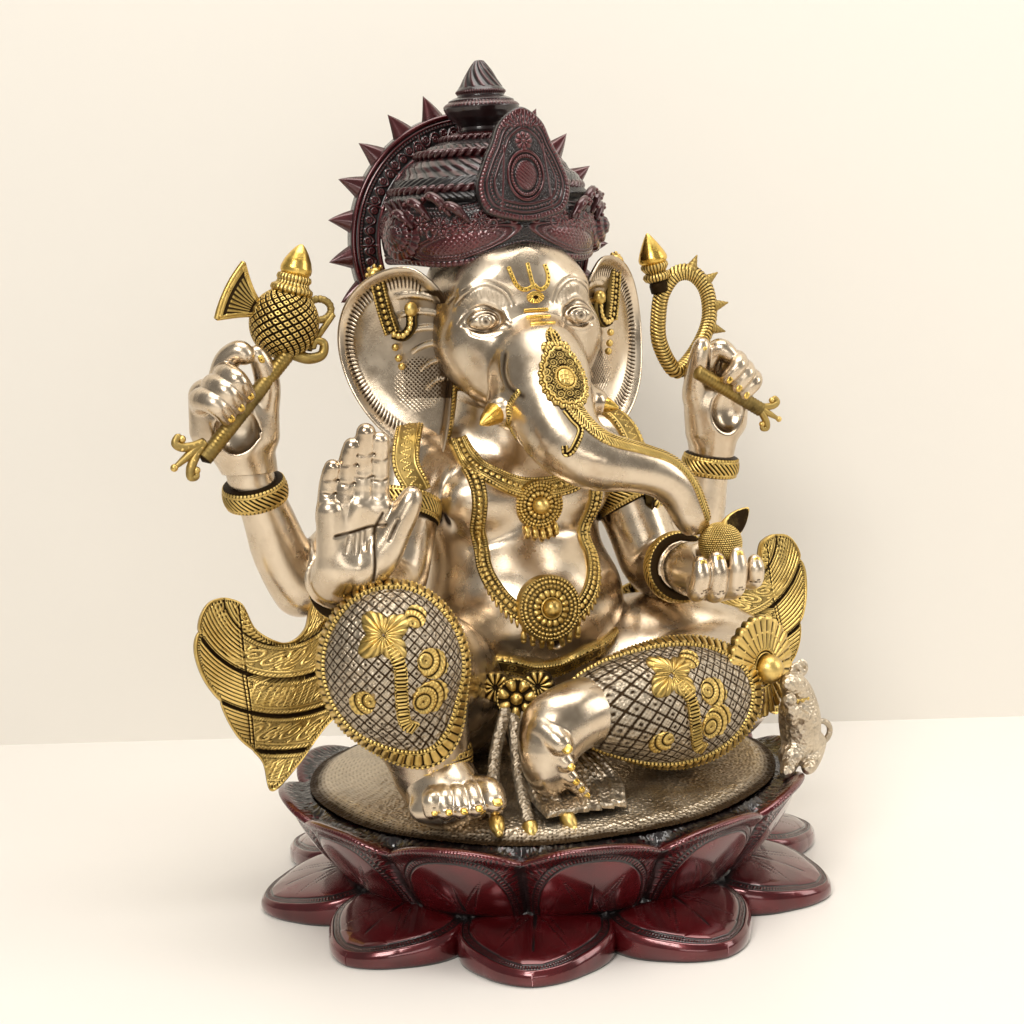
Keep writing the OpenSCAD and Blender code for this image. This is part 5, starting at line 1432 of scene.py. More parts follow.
    # twisted rope rings
    for (r0, z0, rr, tw) in ((70.5, 513, 3.6, 30), (49.5, 539, 3.4, 24), (30, 550, 2.6, 18)):
        th = np.linspace(0, 2 * PI, 400)
        for k in range(2):
            w = th * tw + k * PI
            pts = np.stack([(r0 + 1.9 * np.cos(w)) * np.sin(th), CY - (r0 + 1.9 * np.cos(w)) * np.cos(th),
                            z0 + 1.9 * np.sin(w)], 1)
            P.tube(pts, rr * 0.62, 7, cav=0.25)
    P.done("turban", LACQUER_DARK, slot="cherry_lacquer", replaces=("crown_dome",), rounds=3, scale=0.6)

    # crest plaque
    P = Parts()
    out = closed([(-30, 0), (-35, 16), (-29, 34), (-22, 48), (-17, 60), (-9, 68), (0, 72), (9, 68),
                  (17, 60), (22, 48), (29, 34), (35, 16), (30, 0), (14, -6), (0, -8), (-14, -6)], 12)
    tilt = math.radians(4)
    U = A(0, math.sin(tilt) * 1.0, math.cos(tilt))
    Nn = A(0, -math.cos(tilt), math.sin(tilt))
    O = A(0, -21, 495)
    o2 = even(np.column_stack([np.vstack([out, out[:1]]), np.zeros(len(out) + 1)]), 0.9)[:-1, :2]
    cen = A(0, 27)
    nt = len(o2)
    rr = np.concatenate([np.linspace(0.01, 0.985, 110), [1.0]])
    XY = cen + (o2 - cen)[None] * rr[:, None, None]
    x, y = XY[..., 0], XY[..., 1]
    R1 = rr[:, None] + 0 * x
    arc = np.broadcast_to(np.arange(nt)[None] * 0.9, x.shape)
    h = 1.6 * bump((R1 - 0.93) * 30, 1.9) * (0.5 + 0.5 * np.abs(np.sin(arc * PI / 2.9)))
    h = np.maximum(h, 1.1 * bump((R1 - 0.82) * 30, 1.0))
    h = np.maximum(h, 1.3 * beadrow(arc * (0.72), (R1 - 0.74) * 30, 2.3, 1.1))
    h = np.maximum(h, 1.1 * bump((R1 - 0.66) * 30, 1.0))
    e = np.hypot(x / 10.5, (y - 24) / 13.5)
    t2 = np.arctan2((y - 24) / 13.5, x / 10.5)
    h = np.maximum(h, 2.6 * np.sqrt(np.clip(1 - (e / 0.82) ** 2, 0,
                                            1)) * (0.85 + 0.15 * np.sin((x + y) * 2.2)))
    h = np.maximum(h, 2.0 * bump((e - 1.0) * 11, 1.3) * (0.5 + 0.5 * np.abs(np.sin(t2 * 19))))
    h = np.maximum(h, 1.5 * bump((e - 1.26) * 11, 1.1))
    h = np.maximum(h, 2.2 * flower(x, y - 48, 6.5, 8))
    for sg in (-1, 1):
        q = x * sg - 17 + 0.10 * (y - 20)
        h = np.maximum(h, 1.2 * bump(q, 1.0) * (y > 0) * (y < 46))
    fan = np.abs(np.sin(np.arctan2(x, y - 52) * 13))
    h = np.maximum(h, 1.8 * fan * (y > 58) * (R1 < 0.92))
    h = np.maximum(h, 0.7 * scrolls(x, y, 6.0, 0.8) * (R1 < 0.64) * (e > 1.4))
    dish = -3.0 * (R1 ** 2) * 0 + 2.0 * (1 - R1 ** 2)
    front = O + x[..., None] * A(1, 0, 0) + y[..., None] * U + (dish + h + 4.5)[...,
        None] * Nn + (0.0032 * x ** 2)[..., None] * A(0, 1, 0)
    rear = O + x[..., None] * A(1, 0, 0) + y[..., None] * U + (0 * x - 3.0)[...,
        None] * Nn + (0.0032 * x ** 2)[..., None] * A(0, 1, 0)
    k = len(rr)
    W = np.concatenate([front.reshape(-1, 3), rear.reshape(-1, 3)])
    F1 = orient(W, grid_faces(k, nt, wrap_j=True), np.broadcast_to(Nn, W.shape))
    F2 = orient(W, grid_faces(k, nt, wrap_j=True) + k * nt, np.broadcast_to(-Nn, W.shape))
    e0, e1 = (k - 1) * nt + np.arange(nt), k * nt + (k - 1) * nt + np.arange(nt)
    F3 = np.stack([e0, np.roll(e0, -1), np.roll(e1, -1), e1], 1)
    g = np.cross(W[F3[:, 1]] - W[F3[:, 0]], W[F3[:, 2]] - W[F3[:, 0]])
    if (g * (W[F3[:, 0]] - (O + cen[1] * U))).sum() < 0:
        F3 = F3[:, ::-1]
    # cav: low ground of the front darker (dark patina plus painted shade); the back painted darker (0.5) as shade
    P.put(W, np.vstack([F1, F2, F3]), np.concatenate([np.clip(0.8 - 0.55 * h, 0, 1).ravel(),
                                                      np.full(k * nt, 0.5)]))
    # leaf sprays to each side of the crest, lying on the band
    for sg in (-1, 1):
        for ang0, zc, L in ((0.50, 489, 22), (0.66, 494, 26), (0.86, 492, 24), (1.05, 487, 20)):
            pts = []
            for q in np.linspace(0, 1, 9):
                fa = sg * (ang0 + 0.26 * q)
                zq = zc + L * 0.55 * math.sin(q * PI * 0.75)
                rq = CR + 3.5 + 2.5 * math.sin(q * PI)
                pts.append((rq * math.sin(fa), CY - rq * math.cos(fa), zq))
            P.tube(spline(pts, 3), np.interp(np.linspace(0, 1, 25), (0, 0.3, 0.7, 1), (1.5, 3.6, 3.4, 1.0)),
                   9, cav=0.25)
            for q in pts[1::2]:
                P.ball(A(*q) + unit(A(q[0], q[1] - CY, 0)) * 3.2, 1.5, 6, cav=0.1)
    P.done("crest_plaque", LACQUER_DARK, slot="cherry_lacquer", replaces=("crown_crest",), rounds=3,
           scale=0.6)

    # finial
    P = Parts()
    prof = fine([(0, 550), (22, 550), (24, 551.5), (24, 553.5), (21, 555), (17, 556.5), (16, 559),
                 (18, 561), (24, 565.5), (27, 570), (28.3, 573), (27.5, 575), (26, 576.4),
                 (24, 577.2), (24.5, 578.4), (21, 580.2), (17.6, 581.3), (17.2, 583), (18.4, 584.4), (18.0,
                     586), (16.2, 588), (12.2, 594.5), (8.6, 600.5), (5.4, 604.8), (3, 607.4), (0, 608)], 0.5)
    # cav: low ground darker, dark patina plus painted shade
    lathe(P, (0, CY, 0), (0, 0, 1), prof, n=240,
          rel=lambda th, z, r: 0.55 * np.abs(np.sin(th * 30)) * ((z < 555) | ((z > 574) & (z < 577.5)) | ((z > 582.5) & (z < 585.5))) + 0.35 * np.sin(th * 14 + z * 0.6) * (z > 588),
          cav=lambda H: np.clip(0.45 - 0.6 * H, 0, 1))
    P.done("finial_turned", LACQUER_DARK, slot="cherry_lacquer", replaces=("crown_finial",), rounds=3,
           scale=0.5)


def halo():
    P = Parts()
    H0 = A(0, 98, 476)
    n = 960
    th = np.arange(n) / n * 2 * PI
    # section: back, outer rim roll, beads, sunk band with ornament, inner rim roll
    rad = np.concatenate([[74.5, 73.5], np.linspace(74, 97, 34), [97.5, 97.0, 74.5]])
    RR = np.broadcast_to(rad, (n, len(rad))).copy()
    s = th[:, None] * 86 + 0 * RR
    h = 1.9 * bump(RR - 95.2, 1.9)
    h = np.maximum(h, 1.9 * bump(RR - 75.6, 1.7))
    h = np.maximum(h, 1.3 * bump(RR - 91.6, 1.0))
    h = np.maximum(h, 1.1 * beadrow(s, RR - 89.2, 2.4, 1.1))
    h = np.maximum(h, 1.2 * vine(s, RR - 82.8, 15.9, 3.4, 0.9) * (RR > 77.5) * (RR < 88))
    h = np.maximum(h, 1.0 * bump(((s / 31.8) % 1 - 0.5) * 31.8, 1.0) * (RR > 77) * (RR < 88))
    mask = (np.arange(len(rad)) >= 2) & (np.arange(len(rad)) < 36)
    h = h * mask
    yy = np.where(np.arange(len(rad)) >= 36, 4.6, -4.0) + 0 * RR
    yy[:, 0] = 4.6
    yy[:, 1] = -1.0
    yy = yy - h
    v = np.stack([RR * np.cos(th)[:, None], yy, RR * np.sin(th)[:, None]], -1) + H0
    k = len(rad)
    f = grid_faces(n, k, wrap_i=True, wrap_j=True)
    vv = v.reshape(-1, 3)
    q = f[(f[:, 0] % k == 15)][0]
    g = np.cross(vv[q[1]] - vv[q[0]], vv[q[2]] - vv[q[0]])
    if g[1] > 0:
        f = f[:, ::-1]
    # cav: low ground darker, dark patina plus painted shade
    P.put(vv, f, np.clip(0.75 - 0.6 * h, 0, 1).ravel())
    # flame points: curved pyramids
    for i in range(17):
        a = math.radians(-36 + i * 252 / 16)
        d, t = A(math.cos(a), 0, math.sin(a)), A(-math.sin(a), 0, math.cos(a))
        B = H0 + d * 95.5
        rows = []
        for q in np.linspace(0, 1, 14):
            wq = 9.4 * (1 - q) ** 0.9
            dq = 1.0 + 3.6 * (1 - q)
            c0 = B + d * (19 * q) + t * (1.8 * q * q)
            rows.append([c0 + t * wq, c0 + A(0, -dq, 0) * 0.55 + t * wq * 0.6, c0 + A(0, -dq, 0),
                         c0 + A(0, -dq, 0) * 0.55 - t * wq * 0.6, c0 - t * wq, c0 + A(0, dq, 0) * 0.6])
        rows = np.array(rows)
        vv = rows.reshape(-1, 3)
        f = grid_faces(14, 6, wrap_j=True)
        P.put(vv, outward(vv, f), np.broadcast_to(0.15, len(vv)))
    P.done("halo_relief", LACQUER_DARK, slot="cherry_lacquer", replaces=("halo_ring",), rounds=2, scale=0.7)


crown()
halo()

# ------------------------------------------------------------------ hands and feet
NAILS = Parts()


def nail(c, d, side, L=5.2, W=3.4):
    """Gilt nail: c middle, d along the finger, side across it."""
    d, side = unit(d), unit(side)
    n = unit(np.cross(side, d))
    v, f = ball_mesh(A(0, 0, 0), 1.0, 10)
    sgn = lambda q: np.sign(q) * np.abs(q) ** 0.75
    v = np.stack([sgn(v[:, 0]) * L / 2, sgn(v[:, 1]) * W / 2, v[:, 2] * 1.25], 1)
    v = v[:, :1] * d + v[:, 1:2] * side + v[:, 2:] * n
    NAILS.put(v + np.asarray(c, float), outward(v, f), 0.0)


def digit(c, pts, k=2.5, n=4):
    p = spline(np.array(pts, float), n)
    for a, b in zip(p[:-1], p[1:]):
        c.cone(a, b, k)
    return p


def fist_right():
    c = Clay((-256, -14, 318), (-162, 92, 424), 0.75)
    # wrist, palm and heel of the thumb
    c.chain([(-193, 52, 306, 15.5), (-196, 50, 326, 17), (-203, 46, 346, 21), (-206, 44, 362, 21)], 8, n=3)
    c.cone((-186, 40, 346, 12), (-184, 36, 372, 10.5), 7)
    c.cone((-222, 48, 352, 15), (-224, 42, 376, 13), 8)
    c.ell((-206, 30, 352), (15, 9, 17), 5, "cut")
    # thumb up the right side
    digit(c, [(-184, 36, 368, 9.5), (-182, 32, 382, 8.4), (-185, 29, 396, 7.2), (-189, 27, 405, 5.8)])
    nail((-187.5, 20.5, 401), (-0.3, -0.3, 1), (1, -0.3, 0.1), 6.5, 4.4)
    # index hooked over the mace
    digit(c, [(-214, 40, 384, 9), (-210, 33, 400, 8.2), (-202, 27, 407, 7.2), (-198, 24, 404, 6)])
    # three curled fingers: knuckle to nail
    for kn, tip in (((-213, 24, 392), (-201, 11, 378)), ((-222, 24, 385), (-208.5, 10, 370.5)),
                    ((-231, 25, 376), (-216, 10, 363.5))):
        kn, tip = A(*kn), A(*tip)
        mid = (kn + tip) / 2 + A(-1.0, -7.5, 3.0)
        digit(c, [(*(kn + A(4, 16, -6)), 8.5), (*kn, 8.0), (*mid, 7.2), (*(tip + A(0, 3.5, -0.5)), 6.2)], 1.6)
        d = unit(tip - mid)
        for q in (0.25, 0.62):
            m0 = mid * (1 - q) + tip * q + A(0, -4, 0)
            sd = unit(np.cross(d, A(0, -1, 0.2)))
            c.line([m0 - sd * 4.5 + A(0, 2.5, 0), m0, m0 + sd * 4.5 + A(0, 2.5, 0)], 0.6, 0.8)
        nail(tip + A(0.8, -2.6, -0.6), d + A(0.2, 0, -0.2), np.cross(d, A(0, -1, 0)), 8.0, 5.2)
    c.line(spline([(-222, 31, 358), (-206, 24, 350), (-190, 28, 346), (-180, 38, 350)], 5), 1.4, 1.6)
    c.line(spline([(-196, 24, 372), (-194, 24, 356), (-186, 30, 342)], 5), 1.0, 1.2)
    c.bake()
    c.mesh("rear_hand_right", SILVER, slot="silvered_brass", scale=0.8, replaces=("rear_forearm_right",))


def fist_left():
    c = Clay((142, 0, 292), (224, 94, 402), 0.75)
    c.chain([(178, 56, 294, 14.5), (179, 56, 310, 15.5), (181, 55, 328, 18.5), (180, 54, 346, 18)], 8, n=3)
    c.cone((166, 52, 318, 10), (163, 50, 350, 9.5), 7)
    c.cone((196, 54, 324, 12), (196, 50, 346, 12), 8)
    c.ell((184, 36, 334), (13, 9, 16), 5, "cut")
    digit(c, [(162, 50, 346, 9.5), (162, 46, 362, 8.2), (163, 42, 375, 7.4), (165, 40, 387, 6.0)])
    nail((164.5, 34.5, 383), (0.1, -0.25, 1), (1, 0.1, 0), 6.2, 4.4)
    digit(c, [(176, 54, 358, 9), (176, 48, 374, 8.2), (181, 41, 383, 7.2), (188, 36, 377, 6.0)])
    for kn, tip in (((194, 40, 374), (181, 27, 360)), ((200, 41, 367), (189, 27, 353)),
                    ((207, 43, 359), (196, 28, 347))):
        kn, tip = A(*kn), A(*tip)
        mid = (kn + tip) / 2 + A(2.5, -6.0, 3.0)
        digit(c, [(*(kn + A(-8, 14, -8)), 7.8), (*kn, 6.9), (*mid, 6.2), (*(tip + A(0, 3.0, 0)), 5.3)], 1.4)
        d = unit(tip - mid)
        sd = unit(np.cross(d, A(0, -1, 0.2)))
        for q in (0.3, 0.62):
            m0 = mid * (1 - q) + tip * q + A(0, -3.5, 0)
            c.line([m0 - sd * 4 + A(0, 2.2, 0), m0, m0 + sd * 4 + A(0, 2.2, 0)], 0.6, 0.8)
        nail(tip + A(-0.4, -2.4, -0.6), d, np.cross(d, A(0, -1, 0)), 7.0, 4.6)
    c.line(spline([(196, 38, 330), (184, 34, 326), (172, 40, 332), (168, 42, 350)], 5), 1.2, 1.4)
    c.bake()
    c.mesh("rear_hand_left", SILVER, slot="silvered_brass", scale=0.8, replaces=("rear_forearm_left",))


def palm():
    c = Clay((-196, -112, 226), (-100, -38, 372), 0.75)
    c.chain([(-160, -54, 250, 14.5), (-166, -64, 256, 15), (-162, -74, 266, 16)], 6, n=3)
    # hollowed palm between the finger roots and the heel
    c.cone((-170, -78, 268, 11.5), (-171, -82, 304, 9.5), 6)
    c.cone((-160, -80, 264, 12.5), (-152, -84, 306, 10), 6)
    c.cone((-150, -82, 268, 12), (-138, -86, 304, 9.5), 6)
    c.ell((-155, -99, 284), (17, 8.5, 17), 6, "cut")
    roots = ((-172, 306, -79, -168.5, 333, -85, 6.9, 5.6), (-161.5, 308, -82, -155.5, 346, -90, 7.6, 6.2),
             (-150, 308, -84, -146.5, 355, -93, 7.8, 6.4), (-138.5, 307, -85, -137, 349, -93, 7.2, 6.0))
    for x0, z0, y0, x1, z1, y1, r0, r1 in roots:
        a, b = A(x0, y0, z0), A(x1, y1, z1)
        m = a * 0.45 + b * 0.55 + A(0, 2.5, 0)
        digit(c, [(*(a - A(0, -2, 8)), r0 + 1), (*a, r0), (*m, r0 - 0.4), (*b, r1)], 1.4)
        for q in (0.04, 0.36, 0.68):
            p = a * (1 - q) + b * q + A(0, -r0 + 1.2, 0)
            c.line([p + A(-r0 * 0.8, 2.8, 0.8), p + A(0, 0, -0.4), p + A(r0 * 0.8, 2.8, 0.8)], 0.75, 1.3)
    # thumb with its mount
    digit(c, [(-152, -80, 258, 12), (-140, -86, 272, 12.5), (-130, -90, 288, 9.5), (-123, -93, 300, 7.6),
              (-118, -95, 311, 5.8)], 4)
    y = lambda x, z: (x, c.front(x, z) or -90, z)
    for pts in ([(-171, 288), (-160, 289.5), (-148, 292), (-138, 293.5)],
                [(-139, 301), (-144, 292), (-147, 280), (-147.5, 266), (-148, 256)],
                [(-131, 296), (-135, 288), (-137, 284)]):
        c.line([y(q[0], q[1]) for q in spline([(x, z, 0) for x, z in pts], 5)], 1.0, 1.7)
    for x, z0, z1, dx in ((-162, 287, 276, -3), (-157, 288, 275, -2), (-153.5, 289, 276, -1.5),
                          (-150.5, 290, 277, -1)):
        c.line([y(x + dx * q, z0 + (z1 - z0) * q) for q in np.linspace(0, 1, 5)], 0.65, 1.3)
    c.bake()
    # strength of the patina and painted shade in the palm's lines
    c.groove_patina_and_shade = 1.0
    c.mesh("front_hand_right", SILVER, slot="silvered_brass", scale=0.8, replaces=("front_forearm_right",))


def cup():
    c = Clay((66, -136, 206), (142, -44, 274), 0.7)
    c.chain([(95, -62, 234, 15.5), (97, -76, 234, 16.5), (102, -92, 233, 16), (106, -100, 232, 14)], 8, n=3)
    c.ell((104, -98, 256), (17, 17, 17), 4, "cut")
    tips = ((82.5, 247, 80.5, 226, 6.6), (95, 249, 94.5, 224, 6.8), (110.5, 250.5, 109, 225, 6.9),
            (124.5, 244.5, 124, 229, 5.6))
    for x1, z1, x0, z0, r in tips:
        digit(c, [(x0 * 0.55 + 46, -94, z0 + 3, r + 2), (x0, -110, z0 - 1, r),
                  (x0 * 0.5 + x1 * 0.5, -115.5, (z0 + z1) / 2, r), (x1, -113.5, z1 - 1, r - 1.2)], 1.5)
        for z in (z1 - 7.5, z1 - 9.5, z0 + 1.5, z0 - 0.5):
            c.line([(x0 * .5 + x1 * .5 - r * .8, -115, z + 0.7), (x0 * .5 + x1 * .5, -115.5 - r * .8, z),
                    (x0 * .5 + x1 * .5 + r * .8, -115, z + 0.7)], 0.55, 0.9)
        nail((x1, -113.0 - r * 0.82, z1 - 1.6), (0, 0.12, 1), (1, 0, 0), 7.5, 5.8)
    # thumb behind the sweet
    digit(c, [(96, -80, 242, 9), (108, -80, 250, 7.5), (117, -86, 254, 6)], 3)
    c.bake()
    c.mesh("front_hand_left", SILVER, slot="silvered_brass", scale=0.8, replaces=("front_forearm_left",))


def foot_r():
    c = Clay((-148, -150, 82), (-70, -56, 146), 0.75)
    c.chain([(-112, -80, 132, 22), (-111, -84, 118, 22), (-108, -96, 110, 20), (-105, -108, 104, 19)], 8, n=3)
    c.ell((-106, -108, 100), (31, 18, 14), 8)
    c.ell((-113, -74, 104), (19, 18, 16), 8)
    xs = ((-86, -137, 103.5, 8.6), (-98.5, -137, 101.5, 6.4), (-108.5, -135.5, 101, 6.1),
          (-118, -132.5, 101, 5.8), (-126.5, -128, 101, 5.3))
    for i, (x, y, z, r) in enumerate(xs):
        digit(c, [(x * 0.6 - 42.5, -112, 108, r + 3), (x * 0.97 - 3, -124, 111, r + 0.6),
                  (x, y + 3, z + 2, r)], 2.0)
        if i:
            for q in (0, 2.0):
                c.line([(x - r * 0.8, y + 1 + q, z + 4.5), (x, y - 3.6 + q, z + 6.6),
                        (x + r * 0.8, y + 1 + q, z + 4.5)], 0.5, 0.8)
        nail((x, y - r * 0.52, z + r * 0.58), (0, -0.75, -0.55), (1, 0, 0), r * 0.95, r * 0.85)
    c.half((0, 0, 86), (0, 0, -1))
    c.bake()
    c.mesh("foot_right_cast", SILVER, slot="silvered_brass", scale=0.8, replaces=("foot_right",))


def foot_l():
    c = Clay((-74, -156, 82), (24, -78, 178), 0.75)
    c.chain([(2, -108, 152, 21), (-16, -114, 151, 20.5), (-30, -118, 147, 20), (-40, -121, 136, 17.5),
             (-42, -123, 122, 13.5), (-40, -124, 112, 10)], 8, n=3)
    c.ell((-36, -118, 146), (20, 16, 22), 8)
    toes = (((-44, -130, 148, 9), (-39, -141, 141, 8.2), 8.2),
            ((-43, -131, 136, 7.5), (-35.5, -140, 127, 6.2), 6.2),
            ((-41, -130, 126, 7), (-31.5, -138, 115.5, 5.8), 5.8), ((-36, -128, 119, 6.5),
                (-26.5, -135.5, 108.5, 5.4), 5.4),
            ((-30, -126, 114, 6), (-21, -132, 102.5, 5.0), 5.0))
    for a, b, r in toes:
        a, b = A(*a), A(*b)
        digit(c, [(*(a[:3] + A(-2, 6, 1)), a[3] + 2), (*a[:3], a[3]), (*b[:3], b[3])], 2.0)
        d = unit(b[:3] - a[:3])
        sd = unit(np.cross(d, A(0, -1, 0)))
        for q in (0.25, 0.45):
            m0 = a[:3] * (1 - q) + b[:3] * q + A(0, -r * 0.85, 0)
            c.line([m0 - sd * r * .8 + A(0, 2.5, 0), m0, m0 + sd * r * .8 + A(0, 2.5, 0)], 0.5, 0.7)
        nail(b[:3] + d * r * 0.35 + A(0, -r * 0.72, 0), d, sd, r * 1.05, r * 0.85)
    c.line(spline([(-52, -128, 152), (-52, -134, 136), (-46, -134, 118)], 5), 1.6, 0.9)
    c.bake()
    c.mesh("foot_left_cast", SILVER, slot="silvered_brass", scale=0.8, replaces=("foot_left",))


fist_right()
fist_left()
palm()
cup()
foot_r()
foot_l()
NAILS.done("gilt_nails", GOLD, slot="yellow_brass", rounds=1)

# ------------------------------------------------------------------ bangles and the things held
def bangle_fn(W):
    def fn(s, w):
        h = 0.95 * bump((((s + w * 0.8) / 3.1) % 1 - 0.5) * 3.1, 1.15) * (np.abs(w) < W * 0.50)
        h = np.maximum(h, 0.8 * bump(np.abs(w) - W * 0.60, 0.8))
        h = np.maximum(h, 0.95 * beadrow(s, np.abs(w) - W * 0.80, 2.2, 1.1))
        return h
    return fn


def square_fn(W):
    """Ring of small square frames with a pit in each, between beaded lines."""
    def fn(s, w):
        q = ((s / 5.0) % 1 - 0.5) * 5.0
        h = 0.9 * (np.maximum(np.abs(q), np.abs(w - W * 0.28)) < 2.2) * (np.hypot(q, w - W * 0.28) > 1.0)
        h = np.maximum(h, 0.95 * beadrow(s, w + W * 0.18, 2.2, 1.1))
        h = np.maximum(h, 0.95 * beadrow(s, w + W * 0.50, 2.2, 1.1))
        h = np.maximum(h, 0.7 * bump(w + W * 0.80, 0.9))
        h = np.maximum(h, 0.85 * bump(q, 0.9) * (w > W * 0.66) * (w < W * 0.95))
        return h
    return fn


def rings():
    def one(name, c, ax, r, W, fn, part, thick=2.2, bulge=2.4, **kw):
        P = Parts()
        ringband(P, c, ax, r, W, fn, n=int(r * 15), m=31, thick=thick, bulge=bulge, **kw)
        P.done(name, GOLD_DARK, slot="yellow_brass", replaces=part, rounds=2)
    mixv = lambda a, b, t: A(*a) * (1 - t) + A(*b) * t
    w, f = (-193, 52, 310), (-204, 38, 364)
    one("bangle_rear_r", mixv(w, f, -0.12), A(*f) - A(*w), 17.0, 9.0, bangle_fn(9.0),
        ("rear_bangle_right",), 3.0, 3.2)
    w, f = (178, 56, 297), (186, 50, 353)
    one("bangle_rear_l", mixv(w, f, -0.12), A(*f) - A(*w), 16.2, 8.6, bangle_fn(8.6), ("rear_bangle_left",),
        3.0, 3.0)
    e, w = (-108, 0, 235), (-168, -62, 250)
    one("bangle_front_r", mixv(e, w, 0.84), A(*w) - A(*e), 18.0, 8.0, bangle_fn(8.0),
        ("front_bangle_right",), 3.0, 3.0)
    e, w = (101, 4, 222), (95, -60, 234)
    one("bangle_front_l", mixv(e, w, 0.84), A(*w) - A(*e), 19.5, 8.0, bangle_fn(8.0),
        ("front_bangle_left",), 3.2, 3.0)
    for s, nm, m in ((-1, "right", (-92, 18, 286)), (1, "left", (90, 20, 280))):
        one("armlet_" + nm + "_cast", m, (s * 14, -16, -40), 24.6, 9.0, bangle_fn(9.0), ("armlet_" + nm,),
            1.8, 1.6)
        P = Parts()
        # flower-shaped brooch on the outer side of the armlet
        R = frame_of(unit(A(s * 0.62, -0.78, 0.05)), (1, 0, 0))
        cc = A(*m) + R[:, 2] * 24.5

        def brooch(x, y, r):
            th = np.arctan2(y, x)
            rad = np.hypot(x, y)
            h = 0.9 * bump(rad, 4.2)
            h = np.maximum(h, 0.7 * bump(rad - 6.2, 1.0) * (0.5 + 0.5 * np.abs(np.sin(th * 10))))
            h = np.maximum(h, 0.85 * np.abs(np.sin(th * 7)) * bump(rad - 11.0, 4.0))
            return h
        patch(P, None, cc, R, 15.5, 17.5, brooch, amp=2.6, base=2.2, sink=3.0, nr=46, na=150,
              shape=lambda th: 1 + 0.06 * np.abs(np.cos(th * 7)),
              free=lambda x, y: -y * y * 0.018)
        P.done("armlet_brooch_" + nm, GOLD_DARK, slot="yellow_brass", rounds=2)
    one("anklet_r", (-112, -84, 128), (0.02, 0.10, 1), 24.5, 8.5, square_fn(8.5), ("anklet_right",), 1.6, 1.4)
    one("anklet_l", (10, -104, 150), (70, 24, -10), 24.0, 9.0, square_fn(9.0), ("anklet_left",), 1.6, 1.4)


rings()


def flourish(P, c, d, side, size=1.0):
    """Open scroll ending of a shaft: three curling leaves and a bud."""
    d, side = unit(d), unit(side)
    for k in (-1, 0, 1):
        s = side * k
        pts = [c, c + d * 9 * size + s * 3 * size, c + d * 17 * size + s * 8 * size,
               c + d * 20 * size + s * 13 * size,
               c + d * 16 * size + s * 15.5 * size, c + d * 14 * size + s * 12 * size] if k else \
              [c, c + d * 10 * size, c + d * 20 * size, c + d * 28 * size]
        r = np.interp(np.linspace(0, 1, (len(pts) - 1) * 5 + 1), (0, 0.4, 1), (3.2, 3.4, 1.6)) * size
        P.tube(spline(pts, 5), r, 10, cav=0.25)
        P.ball(pts[-1], 2.8 * size, 8, cav=0.1)
    for q in range(4):
        a = c + d * (4 + 4.5 * q) * size
        for k in (-1, 1):
            P.ball(a + side * k * (1.8 + 1.6 * q) * size + np.cross(d, side) * 2.2, 1.3 * size, 6, cav=0.0)


